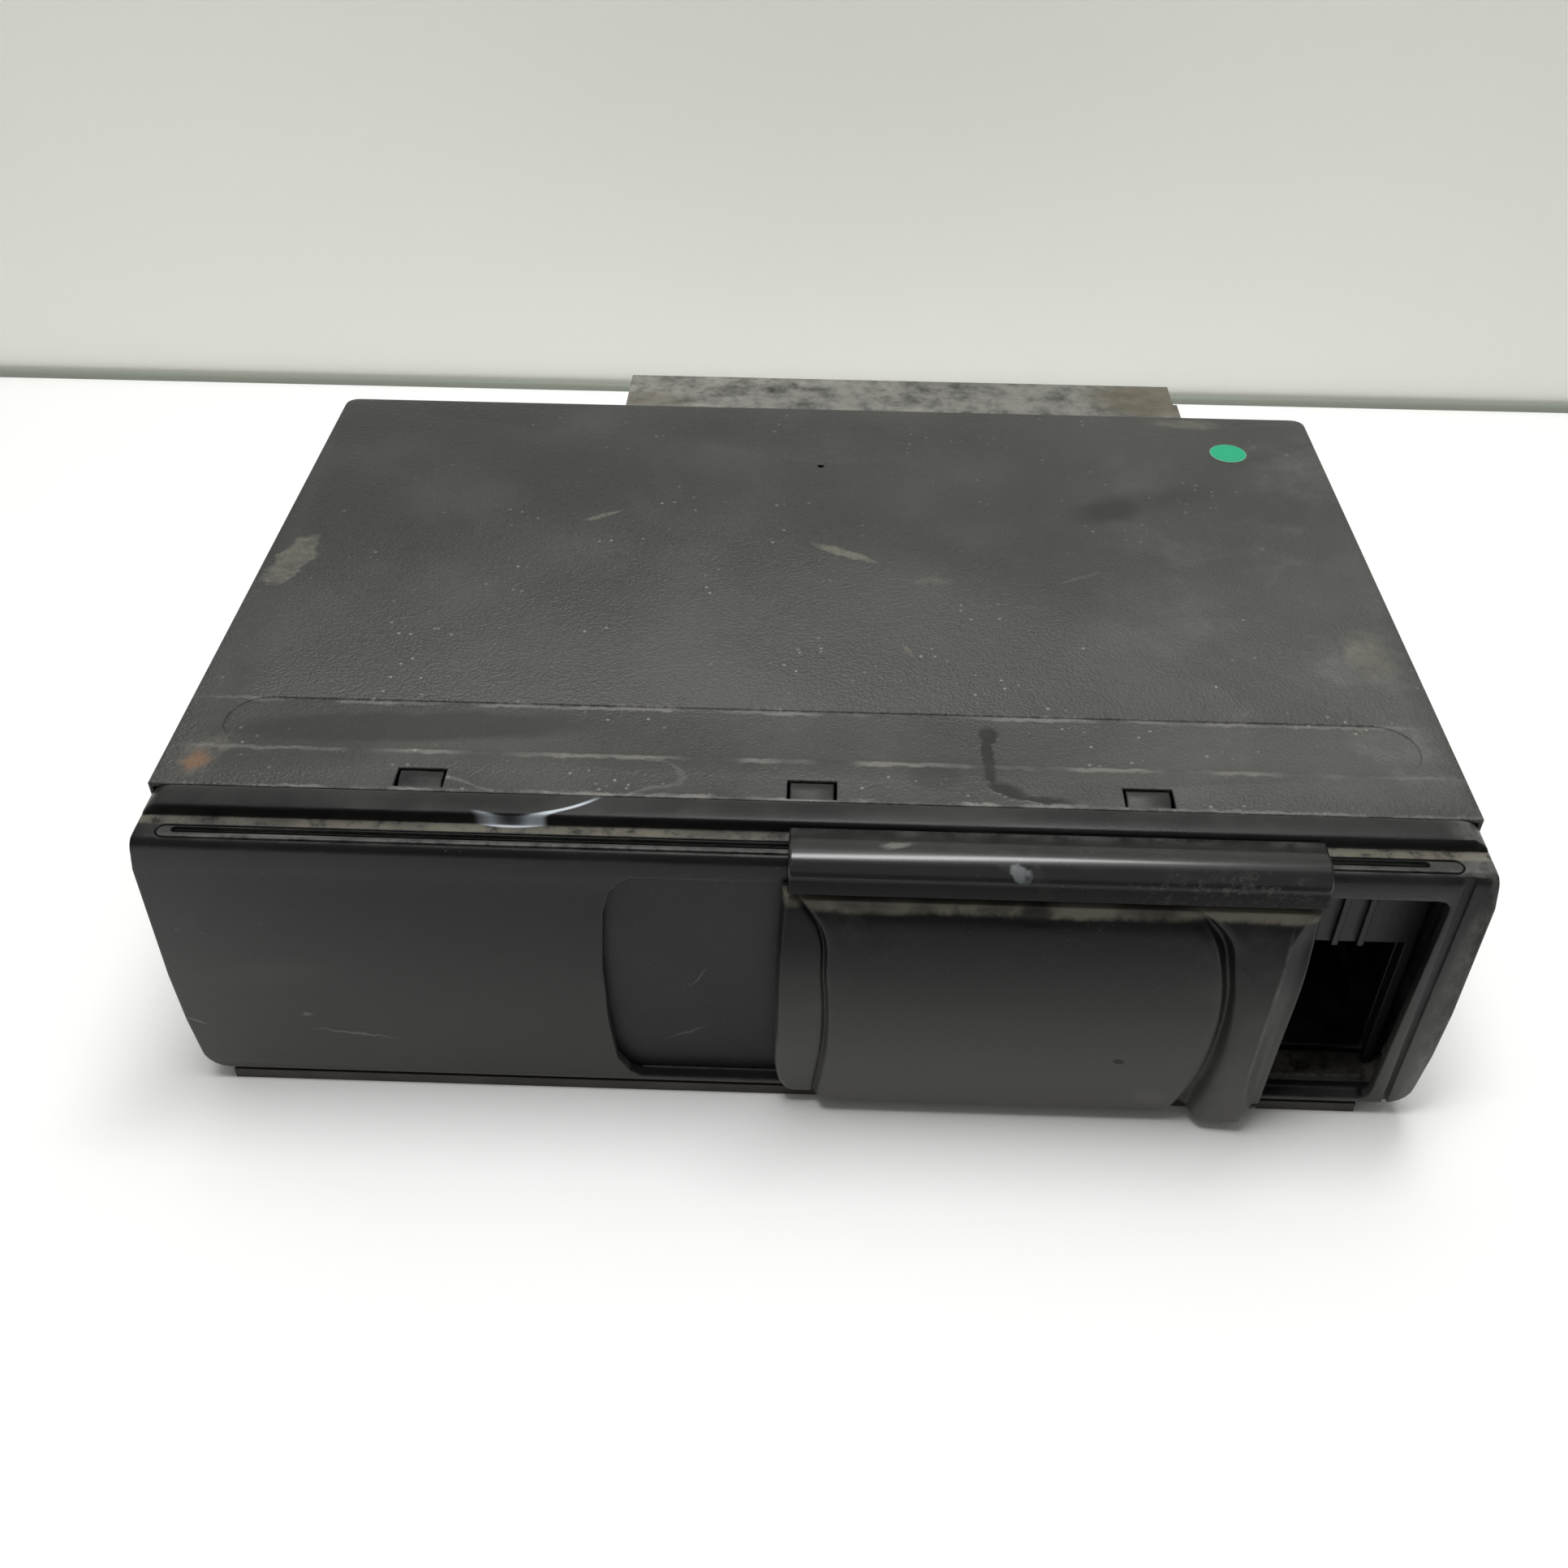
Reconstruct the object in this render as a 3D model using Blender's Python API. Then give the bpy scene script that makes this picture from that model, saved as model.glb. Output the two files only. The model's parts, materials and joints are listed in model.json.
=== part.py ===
"""Car CD changer: a flat black box with a plastic front, a two-leaf sliding door over
the magazine bay, and a lifting play deck beside the bay.

Metres, +Z up, +Y to the rear, +X to the right when the front is faced.
Every piece hangs on one empty, whose origin lies on the plane of the front's face."""

import math

import bmesh
import bpy
from mathutils import Matrix

# General gaps and laps
GAP = 0.0003
LAP = 0.0005
OVERRUN = 0.002
WELD = 0.000001

# Case
CASE_WIDTH = 0.2525
CASE_TOP = 0.0718
CASE_BACK = 0.1711
CASE_SHEET = 0.0009
CASE_CORNER = 0.003
SKIRT_BOTTOM = 0.0005
REAR_FLANGE = 0.009
CHANNEL_FRONT = 0.0252
CHANNEL_BACK = 0.0407
CHANNEL_LEFT_INSET = 0.00875
CHANNEL_RIGHT_INSET = 0.00645
CHANNEL_DEPTH = 0.0004
COVER_HOLE_BACK = 0.1408
COVER_HOLE_RADIUS = 0.0008

# Front moulding
BEZEL_OVERHANG = 0.00155
BEZEL_BOTTOM = 0.004
BEZEL_DEPTH = 0.01245
BEZEL_CORNER = 0.005
BEZEL_EDGE = 0.0012
BEZEL_WALL = 0.0022
BEZEL_FLOOR = 0.0012
BEZEL_SIDE_WALL = 0.0035
LEDGE_DROP = 0.0029
LEDGE_DEPTH = 0.007
LEDGE_WALL = 0.002
LEDGE_ROUND = 0.0025
STEP_ROUND = 0.0008
# Height share against half width share, from the bottom corner to the top corner
BEZEL_SIDE_SHARES = ((0.074, 0.9883), (0.221, 0.9961), (0.413, 1.0), (0.841, 0.9977), (0.926, 0.9906))

# Latch tongues of the front and their slots in the cover
LATCH_WIDTH = 0.0095
LATCH_PLACES = (-0.0749, 0.0002, 0.0642)
LATCH_SETBACKS = (0.0012, 0.0006, 0.0009)
LATCH_SLOT_LENGTH = 0.0055
LATCH_SIDE_PLAY = 0.0006
LATCH_THICKNESS = 0.0015

# Window in the front
WINDOW_LEFT = -0.0334
WINDOW_BOW = 0.0067
WINDOW_RIGHT_TOP_INSET = 0.0084
WINDOW_RIGHT_BOTTOM_INSET = 0.0098
WINDOW_SILL = 0.001
WINDOW_HEAD = 0.0063
WINDOW_CORNER = 0.0025
# Height share against bow share, from the top of the left edge to its bottom
WINDOW_LEFT_SHARES = (
    (1.0, 0.0), (0.972, 0.36), (0.93, 0.64), (0.83, 0.85), (0.58, 1.0), (0.3, 0.97), (0.1, 0.8),
    (0.03, 0.45), (0.0, 0.05),
)
GROOVE_INSET = 0.0065
GROOVE_TOP_WIDTH = 0.0022
GROOVE_BOTTOM_WIDTH = 0.0011
GROOVE_DEPTH = 0.0008

# Slide rail strip in the ledge
RAIL_LEFT_INSET = 0.0055
RAIL_RIGHT_INSET = 0.0072
RAIL_FRONT = 0.0012
RAIL_BACK = 0.0046
RAIL_SINK = 0.0002
RAIL_THICKNESS = 0.0009
RUNNER_SLOT_LEFT_INSET = 0.0028
RUNNER_SLOT_RIGHT_INSET = 0.0062
RUNNER_SLOT_FRONT = 0.0026
RUNNER_SLOT_BACK = 0.0042

# Door: hood with runners, and panel
DOOR_LEFT = -0.0038
DOOR_RIGHT = 0.0954
HOOD_RISE = 0.0024
HOOD_DROP = 0.0057
HOOD_FRONT = 0.0038
HOOD_ROUND = 0.004
HOOD_BACK = 0.0057
HOOD_SKIN = 0.00085
HOOD_REBATE = 0.0028
DOOR_STANDOFF = 0.00035
RUNNER_LENGTH = 0.012
RUNNER_INSET = 0.0015
RUNNER_RIGHT_INSET = 0.006
RUNNER_HEAD_HEIGHT = 0.0021
RUNNER_HEAD_FRONT = 0.0024
RUNNER_HEAD_BACK = 0.0049
DOOR_SEAM = 0.001
TONGUE_INSET = 0.0018
TONGUE_THICKNESS = 0.00055
TONGUE_ROOT = 0.0014
PANEL_PROUD = 0.005
PANEL_BOTTOM = 0.0034
PANEL_WALL = 0.0016
# Height share against proud share of the panel's barrel, bottom to top
PANEL_SECTION_SHARES = (
    (0.0, 0.3), (0.08, 0.37), (0.22, 0.54), (0.4, 0.73), (0.57, 0.95), (0.71, 1.0), (0.88, 0.77), (1.0, 0.6),
)
# Height shares between which the panel is hollow behind, and its inset at both ends
PANEL_HOLLOW_SHARES = (0.22, 0.88)
PANEL_HOLLOW_LEFT = 0.0
PANEL_HOLLOW_INSET = 0.003
PANEL_LEFT = -0.006
# Height share against how far the left edge draws in, as a share of the draw
PANEL_LEFT_SHARES = ((0.0, 1.0), (0.07, 0.35), (0.42, 0.0), (0.66, 0.07), (1.0, 0.8))
PANEL_LEFT_DRAW = 0.0015
FIELD_PROUD = 0.006
FIELD_LEFT = 0.0041
FIELD_LEFT_DRAW = 0.0059
FIELD_RIGHT = 0.0813
FIELD_RIGHT_DRAW = 0.009
# Height share against draw share, bottom to top
FIELD_LEFT_SHARES = ((0.0, 0.3), (0.32, 0.0), (0.51, 0.0), (0.65, 0.09), (0.9, 0.38), (1.0, 1.0))
FIELD_RIGHT_SHARES = (
    (0.0, 0.5), (0.14, 0.18), (0.34, 0.01), (0.51, 0.0), (0.72, 0.21), (0.87, 0.5), (1.0, 1.0),
)
# Height share against proud share of the field, bottom to top
FIELD_SECTION_SHARES = (
    (0.0, 0.5), (0.02, 0.62), (0.1, 0.72), (0.25, 0.83), (0.42, 0.92), (0.6, 0.99), (0.72, 1.0), (0.84, 0.95),
    (0.92, 0.86), (0.97, 0.74), (1.0, 0.61),
)
HANDLE_PROUD = 0.0065
HANDLE_LEFT = 0.0826
HANDLE_LEFT_DRAW = 0.0107
HANDLE_RIGHT = 0.0891
HANDLE_RIGHT_SPREAD = 0.0036
HANDLE_DROP = 0.001
HANDLE_LEFT_SHARES = ((0.0, 0.24), (0.2, 0.01), (0.5, 0.0), (0.72, 0.14), (0.9, 0.44), (1.0, 1.0))
HANDLE_RIGHT_SHARES = ((0.0, 0.25), (0.12, 0.1), (0.45, 0.0), (0.74, 0.14), (0.87, 0.25), (1.0, 1.0))
HANDLE_SECTION_SHARES = (
    (0.0, 0.86), (0.02, 0.95), (0.07, 1.0), (0.5, 1.0), (0.7, 0.98), (0.8, 0.92), (0.9, 0.8), (0.96, 0.68),
    (1.0, 0.56),
)
HOOK_ROOT = 0.0012
HOOK_RIGHT_INSET = 0.0009
HOOK_WIDTH = 0.007
HOOK_PLATE = 0.0008
HOOK_TIP = 0.0009
HOOK_REACH_DOWN = 0.0013

# Inner leaf of the door and its guides
LEAF_LEFT = -0.0513
LEAF_WIDTH = 0.0681
LEAF_FRONT = 0.0028
LEAF_THICKNESS = 0.0015
LEAF_TOP_DROP = 0.0049
GUIDE_THICKNESS = 0.001
GUIDE_LIP = 0.0006
GUIDE_COVER = 0.0011
GUIDE_LEFT_INSET = 0.0123
GUIDE_RIGHT_INSET = 0.0068
SILL_GUIDE_HEIGHT = 0.0012

# Bottom pan
PAN_FLOOR = 0.001
PAN_WALL = 0.0009
PAN_WALL_HEIGHT = 0.013
PAN_FRONT_GAP = 0.00075
PAN_REAR = 0.1687
STRIP_LEFT_INSET = 0.00405
STRIP_RIGHT_INSET = 0.00905
STRIP_FRONT = 0.00055
STRIP_HEIGHT = 0.0026
STRIP_THICKNESS = 0.0009
BOSS_RADIUS = 0.004
BOSS_LEFT_INSET = 0.0216
BOSS_MIDDLE = -0.003
BOSS_RIGHT_INSET = 0.0076
BOSS_FRONT = 0.0185
BOSS_BACK = 0.1555
BOSS_RIGHT_BACK = 0.1535

# Rear panel, socket and rear bracket
REAR_SHEET = 0.0009
SOCKET_LEFT_INSET = 0.02505
SOCKET_WIDTH = 0.026
SOCKET_BOTTOM = 0.013
SOCKET_HEIGHT = 0.012
SOCKET_FRONT = 0.1603
SOCKET_BACK = 0.1705
SOCKET_FLANGE = 0.002
SOCKET_FLANGE_THICKNESS = 0.0007
SOCKET_BORE = 0.0048
SOCKET_PIN_CIRCLE = 0.0036
SOCKET_PIN_RADIUS = 0.0005
SOCKET_PIN_COUNT = 6
SOCKET_FACE_DEPTH = 0.006
BRACKET_LEFT = -0.0524
BRACKET_RIGHT = 0.0949
BRACKET_REACH = 0.0187
BRACKET_SHEET = 0.0012
BRACKET_DROP = 0.0004
BRACKET_FLANGE_HEIGHT = 0.0119
BRACKET_NOTCH = 0.001
BRACKET_NOTCH_BACK = 0.0105

# Screws
SCREW_RADIUS = 0.0013
SCREW_HOLE_PLAY = 0.0003
SCREW_HEAD_RADIUS = 0.0028
SCREW_HEAD_HEIGHT = 0.0011
SCREW_RECESS = 0.0005
SCREW_RECESS_RADIUS = 0.0014
SCREW_TAIL = 0.002
SIDE_SCREW_HEIGHT = 0.0075
SIDE_SCREW_PLACES = (0.045, 0.145)
BRACKET_SCREW_DROP = 0.0053
BRACKET_SCREW_PLACES = (-0.035, 0.077)

# Inner steel chassis
CHASSIS_SIDE_GAP = 0.00345
CHASSIS_FRONT = 0.014
CHASSIS_BACK = 0.16
CHASSIS_LIFT = 0.0045
CHASSIS_SHEET = 0.001
FRONT_GATE_LEFT = -0.022
GATE_RIGHT_INSET = 0.0016
TAB_PLACES = (0.044, 0.12)
TAB_WIDTH = 0.008

# Magazine bay
BAY_LEFT = -0.0078
SLOT_FRAME_FRONT = 0.0094
SLOT_FRAME_THICKNESS = 0.0015
SLOT_FRAME_LEFT = -0.022
SLOT_FRAME_INSET = 0.0003
SLOT_TOP_DROP = 0.002
SLOT_RIGHT_INSET = 0.0022
FRAME_RIB_INSETS = (0.0149, 0.0099)
FRAME_RIB_WIDTH = 0.0012
FRAME_RIB_DEPTH = 0.0012
RAIL_BAR = 0.002
RAIL_BAR_HEIGHT = 0.0065
RAIL_START = 0.0245
RAIL_END = 0.132
ROOF_SHEET = 0.001
ROOF_LEFT = -0.0085

# Eject button, its spring and the magazine latch
BUTTON_LEFT = -0.017
BUTTON_WIDTH = 0.0075
BUTTON_DROP = 0.022
BUTTON_HEIGHT = 0.01
BUTTON_FRONT = 0.0052
BUTTON_BACK = 0.015
BUTTON_EDGE = 0.0006
BUTTON_TRAVEL = 0.003
STEM_WIDTH = 0.0034
STEM_END = 0.019
SPRING_INNER = 0.0029
SPRING_OUTER = 0.0037
SEAT_TAB_WIDTH = 0.011
LATCH_PLATE_LEFT = -0.03
LATCH_PLATE_RIGHT = -0.0063
LATCH_PLATE_FRONT = 0.0163
LATCH_PLATE_DEPTH = 0.005
LATCH_PLATE_THICKNESS = 0.002
LATCH_NOSE = 0.004
LATCH_SHELF_HEIGHT = 0.0015

# Ejector
PUSHER_LEFT = 0.03
PUSHER_RIGHT = 0.08
PUSHER_FRONT = 0.134
PUSHER_THICKNESS = 0.0015
PUSHER_HEIGHT = 0.022
PUSHER_FOOT = 0.012
EJECT_SPRING_PLACE = (0.092, 0.148)
EJECT_SPRING_OUTER = 0.004
EJECT_SPRING_INNER = 0.0028
EJECT_SPRING_HEIGHT = 0.006
EJECT_BOSS_RADIUS = 0.0025

# Cam slide
CAM_SHEET = 0.0012
CAM_FRONT = 0.026
CAM_REAR = 0.151
CAM_LEFT = -0.094
CAM_RIGHT = -0.014
CAM_DROP = 0.0015
CAM_STRIP = 0.004
CAM_STRIP_THICKNESS = 0.0008
CAM_HEAD = 0.0055
CAM_RUN = 0.026
PIN_RADIUS = 0.0015
PIN_HEIGHT = 0.011
PIN_PLACES = (-0.09, -0.046)

# Toothed pieces
MODULE = 0.001
SMALL_MODULE = 0.0008
ADDENDUM_SHARE = 0.8
DEDENDUM_SHARE = 1.15
TIP_SHARE = 0.42
BACKLASH = 0.0003
GEAR_TEETH = 30
PINION_TEETH = 12
MOTOR_TEETH = 10
GEAR_PLACE = -0.07
GEAR_THICKNESS = 0.0022
GEAR_FRONT = 0.0229
PINION_OVERHANG = 0.0004
RACK_TEETH = 13
LIFT_MOTOR_RISE = 0.006245
AXLE_RADIUS = 0.0015
LIFT_MOTOR_RADIUS = 0.0095
LIFT_MOTOR_LENGTH = 0.026
MOTOR_SHAFT = 0.001
MOTOR_COLLAR = 0.0035
MOTOR_PLATE = 0.001
MOTOR_PLATE_HALF = 0.0105
DRIVE_FRONT_GAP = 0.0009
DRIVE_ARM_MARGIN = 0.004
DRIVE_FOOT_WIDTH = 0.009
DRIVE_FOOT_HEIGHT = 0.008

# Lift frame
LIFT_LEFT = -0.112
LIFT_RIGHT = -0.018
LIFT_BOTTOM = 0.0076
LIFT_SHEET = 0.0012
LIFT_RING = 0.007
LIFT_FLANGE_HEIGHT = 0.0065
LIFT_SIDE_PLAY = 0.0008

# Loading plate, puller and its motor, on the lift frame's rear
LOAD_PLATE_LEFT = -0.081
LOAD_PLATE_RIGHT = -0.019
LOAD_PLATE_FRONT = 0.1345
LOAD_PLATE_BOTTOM = 0.0175
LOAD_POST_WIDTH = 0.008
PULLER_LEFT = -0.052
PULLER_LENGTH = 0.034
PULLER_FRONT = 0.1366
PULLER_ROOT = 0.0024
PULLER_THICKNESS = 0.0012
PULLER_TRAVEL = 0.028
PULLER_HOOK = 0.003
PULLER_HOOK_REACH = 0.003
PULLER_PIN_RADIUS = 0.001
PULLER_PIN_HEAD = 0.0019
PULLER_PIN_INSETS = (0.004, 0.018)
LOAD_PINION_PLACE = -0.048
LOAD_MOTOR_RADIUS = 0.0045
LOAD_MOTOR_HEIGHT = 0.011

# Play deck
DAMPER_RADIUS = 0.0029
DAMPER_WAIST = 0.0021
DAMPER_HEIGHT = 0.0024
DECK_SHEET = 0.001
DECK_INSET = 0.0025
SPINDLE_X = -0.063
SPINDLE_Y = 0.076
SPINDLE_MOTOR_RADIUS = 0.011
SPINDLE_MOTOR_HEIGHT = 0.0053
SPINDLE_SHAFT = 0.001
TABLE_RADIUS = 0.0125
TABLE_THICKNESS = 0.0016
TABLE_RISE = 0.0011
HUB_RADIUS = 0.0073
HUB_HEIGHT = 0.0016
SLED_WINDOW_HALF = 0.0185
SLED_ROD_HALF = 0.0165
SLED_ROD_RADIUS = 0.0012
SLED_ROD_DROP = 0.0015
SLED_ROD_FRONT = 0.0895
SLED_ROD_BACK = 0.1455
SLED_WIDTH = 0.0348
SLED_FRONT = 0.0925
SLED_LENGTH = 0.0185
SLED_BOTTOM = 0.0092
SLED_HEIGHT = 0.0046
NUT_ARM = 0.0013
NUT_ROOT = 0.0035
LENS_RADIUS = 0.0031
LENS_HOLDER = 0.0045
LENS_HEIGHT = 0.001
LENS_TRAVEL = 0.0004
LENS_POCKET = 0.0016
LENS_Y = 0.1
ROD_BLOCK = 0.003
SCREW_X = -0.088
SCREW_Z = 0.01
FEED_SCREW_RADIUS = 0.0012
FEED_SCREW_FRONT = 0.0895
FEED_SCREW_BACK = 0.1405
FEED_MOTOR_RADIUS = 0.0031
FEED_MOTOR_LENGTH = 0.012
NUT_LENGTH = 0.005

# Clamp arm
ARM_PIVOT_X = -0.1045
ARM_PIVOT_Z = 0.0245
ARM_SHEET = 0.0012
ARM_WIDTH = 0.0125
ARM_BARREL = 0.0022
ARM_PIN_RADIUS = 0.001
ARM_POST = 0.0035
ARM_POST_THICKNESS = 0.002
ARM_SPRING_LENGTH = 0.006
ARM_RING = 0.0085
CLAMPER_HOLE = 0.0052
CLAMPER_NECK = 0.0045
CLAMPER_RADIUS = 0.0105
CLAMPER_THICKNESS = 0.0016
CLAMPER_CAP = 0.0062
CLAMPER_CAP_THICKNESS = 0.0011
CLAMPER_BOTTOM = 0.0205

# Boards
BOARD_LEFT = -0.004
BOARD_RIGHT_INSET = 0.0046
BOARD_FRONT = 0.024
BOARD_BACK = 0.15
BOARD_HEADROOM = 0.0194
BOARD_STAND = 0.0075
BOARD_THICKNESS = 0.0016
POST_RADIUS = 0.003
POST_INSET = 0.005
CHIP_HEIGHT = 0.0024
# Chip: left share, front share, width share, depth share of the main board
CHIP_SHARES = (
    (0.08, 0.1, 0.16, 0.15), (0.38, 0.14, 0.13, 0.12), (0.14, 0.5, 0.2, 0.09), (0.56, 0.44, 0.17, 0.16),
    (0.5, 0.76, 0.1, 0.07), (0.8, 0.16, 0.1, 0.09),
)
# Capacitor: place shares across and along the main board, radius share and height share of the largest
CAPACITOR_SHARES = (
    (0.1, 0.74, 1.0, 1.0), (0.2, 0.74, 1.0, 1.0), (0.1, 0.88, 0.75, 0.8), (0.22, 0.9, 0.6, 0.6),
    (0.34, 0.72, 0.6, 0.7), (0.86, 0.6, 0.75, 0.8), (0.88, 0.78, 0.6, 0.6), (0.72, 0.9, 0.6, 0.7),
)
CAPACITOR_RADIUS = 0.005
CAPACITOR_HEIGHT = 0.0125
CONNECTOR_LENGTH = 0.022
CONNECTOR_SHARES = (0.25, 0.63)
CONNECTOR_DEPTH = 0.005
CONNECTOR_HEIGHT = 0.0055

# Places worked out from the sizes above
FRONT_PROUD = HANDLE_PROUD
BRACKET_BACK = CASE_BACK + BRACKET_REACH
BRACKET_NOTCH_FRONT = BRACKET_BACK - BRACKET_NOTCH_BACK
FACE_Y = FRONT_PROUD - (BRACKET_BACK + FRONT_PROUD) / 2
LEDGE = CASE_TOP - LEDGE_DROP
LEDGE_UNDER = LEDGE - LEDGE_WALL
CASE_FRONT = BEZEL_DEPTH + GAP
CASE_HALF = CASE_WIDTH / 2
CASE_INNER = CASE_HALF - CASE_SHEET
CASE_CEILING = CASE_TOP - CASE_SHEET
CHANNEL_LEFT = CHANNEL_LEFT_INSET - CASE_HALF
CHANNEL_RIGHT = CASE_HALF - CHANNEL_RIGHT_INSET
PAN_HALF = CASE_INNER - GAP
STRIP_LEFT = STRIP_LEFT_INSET - PAN_HALF
STRIP_RIGHT = PAN_HALF - STRIP_RIGHT_INSET
SOCKET_LEFT = SOCKET_LEFT_INSET - PAN_HALF
BRACKET_FLANGE_BOTTOM = CASE_TOP - BRACKET_DROP - BRACKET_FLANGE_HEIGHT
BRACKET_SCREW_HEIGHT = CASE_TOP - BRACKET_SCREW_DROP
BEZEL_HALF_WIDTH = CASE_HALF + BEZEL_OVERHANG
BEZEL_SIDE_INNER = BEZEL_HALF_WIDTH - BEZEL_SIDE_WALL
BEZEL_INSIDE = BEZEL_BOTTOM + BEZEL_FLOOR
WINDOW_BOTTOM = BEZEL_BOTTOM + WINDOW_SILL
WINDOW_TOP = LEDGE - WINDOW_HEAD
WINDOW_HEIGHT = WINDOW_TOP - WINDOW_BOTTOM
WINDOW_RIGHT_TOP = BEZEL_HALF_WIDTH - WINDOW_RIGHT_TOP_INSET
WINDOW_RIGHT_BOTTOM = BEZEL_HALF_WIDTH - WINDOW_RIGHT_BOTTOM_INSET
GROOVE_MIDDLE = BEZEL_HALF_WIDTH - GROOVE_INSET
RAIL_LEFT = RAIL_LEFT_INSET - BEZEL_HALF_WIDTH
RAIL_RIGHT = BEZEL_HALF_WIDTH - RAIL_RIGHT_INSET
RUNNER_SLOT_LEFT = RAIL_LEFT + RUNNER_SLOT_LEFT_INSET
RUNNER_SLOT_RIGHT = RAIL_RIGHT - RUNNER_SLOT_RIGHT_INSET
HOOD_TOP = LEDGE + HOOD_RISE
HOOD_BOTTOM = LEDGE - HOOD_DROP
LEAF_TOP = LEDGE - LEAF_TOP_DROP
GUIDE_LEFT = GUIDE_LEFT_INSET - BEZEL_SIDE_INNER
GUIDE_RIGHT = BEZEL_SIDE_INNER - GUIDE_RIGHT_INSET
REAR_FRONT = PAN_REAR + GAP
REAR_BACK = REAR_FRONT + REAR_SHEET
FLOOR_TOP = CHASSIS_LIFT + CHASSIS_SHEET
CHASSIS_HALF = PAN_HALF - CHASSIS_SIDE_GAP
CHASSIS_INNER = CHASSIS_HALF - CHASSIS_SHEET
GATE_RIGHT = CHASSIS_INNER - GATE_RIGHT_INSET
BOSS_LEFT = BOSS_LEFT_INSET - CHASSIS_HALF
BOSS_RIGHT = CHASSIS_HALF - BOSS_RIGHT_INSET
BOSS_PLACES = (
    (BOSS_LEFT, BOSS_FRONT), (BOSS_LEFT, BOSS_BACK), (BOSS_MIDDLE, BOSS_RIGHT_BACK),
    (BOSS_RIGHT, BOSS_RIGHT_BACK),
)
BOARD_RIGHT = CHASSIS_INNER - BOARD_RIGHT_INSET
BOARD_BOTTOM = CASE_CEILING - BOARD_HEADROOM
CHASSIS_TOP = BOARD_BOTTOM - BOARD_STAND
SLOT_TOP = CHASSIS_TOP - SLOT_TOP_DROP
BUTTON_BOTTOM = SLOT_TOP - BUTTON_DROP
SEAT_TAB_HEIGHT = BUTTON_BOTTOM + BUTTON_HEIGHT
CAM_TOP = CHASSIS_TOP - CAM_DROP
LIFT_TRAVEL = CAM_TOP - PIN_HEIGHT - CAM_HEAD
DRIVE_FOOT_BOTTOM = CHASSIS_TOP - DRIVE_FOOT_HEIGHT
DECK_BOTTOM = LIFT_BOTTOM + LIFT_SHEET + GAP + DAMPER_HEIGHT + GAP
DECK_TOP = DECK_BOTTOM + DECK_SHEET
LIFT_FRONT = CAM_FRONT + CAM_SHEET + LIFT_SIDE_PLAY
LIFT_BACK = CAM_REAR - LIFT_SIDE_PLAY


BASE = None
PARTS = None
TOOLS = None


def clear_scene():
    for obj in list(bpy.data.objects):
        bpy.data.objects.remove(obj, do_unlink=True)


def start_scene():
    """Makes the two collections and the empty that carries every piece."""
    global BASE, PARTS, TOOLS
    scene = bpy.context.scene.collection
    PARTS = bpy.data.collections.new("cd_changer")
    TOOLS = bpy.data.collections.new("cutters")
    scene.children.link(PARTS)
    scene.children.link(TOOLS)
    BASE = bpy.data.objects.new("cd_changer_base", None)
    BASE.location = (0, FACE_Y, 0)
    PARTS.objects.link(BASE)


def along(axis):
    """The matrix that lays a shape drawn along Z down along another axis."""
    if axis == "X":
        return Matrix(((0, 0, 1, 0), (1, 0, 0, 0), (0, 1, 0, 0), (0, 0, 0, 1)))
    if axis == "Y":
        return Matrix(((1, 0, 0, 0), (0, 0, 1, 0), (0, 1, 0, 0), (0, 0, 0, 1)))
    return Matrix.Identity(4)


def laid(bm, axis):
    bmesh.ops.transform(bm, matrix=along(axis), verts=bm.verts)
    bmesh.ops.recalc_face_normals(bm, faces=bm.faces)
    return bm


def box(x, y, z):
    """A block between two limits along each axis."""
    bm = bmesh.new()
    bmesh.ops.create_cube(bm, size=1)
    middle = Matrix.Translation([(low + high) / 2 for low, high in (x, y, z)])
    stretch = Matrix.Diagonal([high - low for low, high in (x, y, z)] + [1])
    bmesh.ops.transform(bm, matrix=middle @ stretch, verts=bm.verts)
    return bm


def rod(centre, radius, span, axis="Z", sides=24, end_radius=None):
    """A cylinder or cone. Its centre is given in the two other axes, in their order."""
    bm = bmesh.new()
    low, high = span
    bmesh.ops.create_cone(
        bm, cap_ends=True, segments=sides, radius1=radius,
        radius2=radius if end_radius is None else end_radius, depth=high - low,
    )
    place = Matrix.Translation((centre[0], centre[1], (low + high) / 2))
    bmesh.ops.transform(bm, matrix=place, verts=bm.verts)
    return laid(bm, axis)


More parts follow.
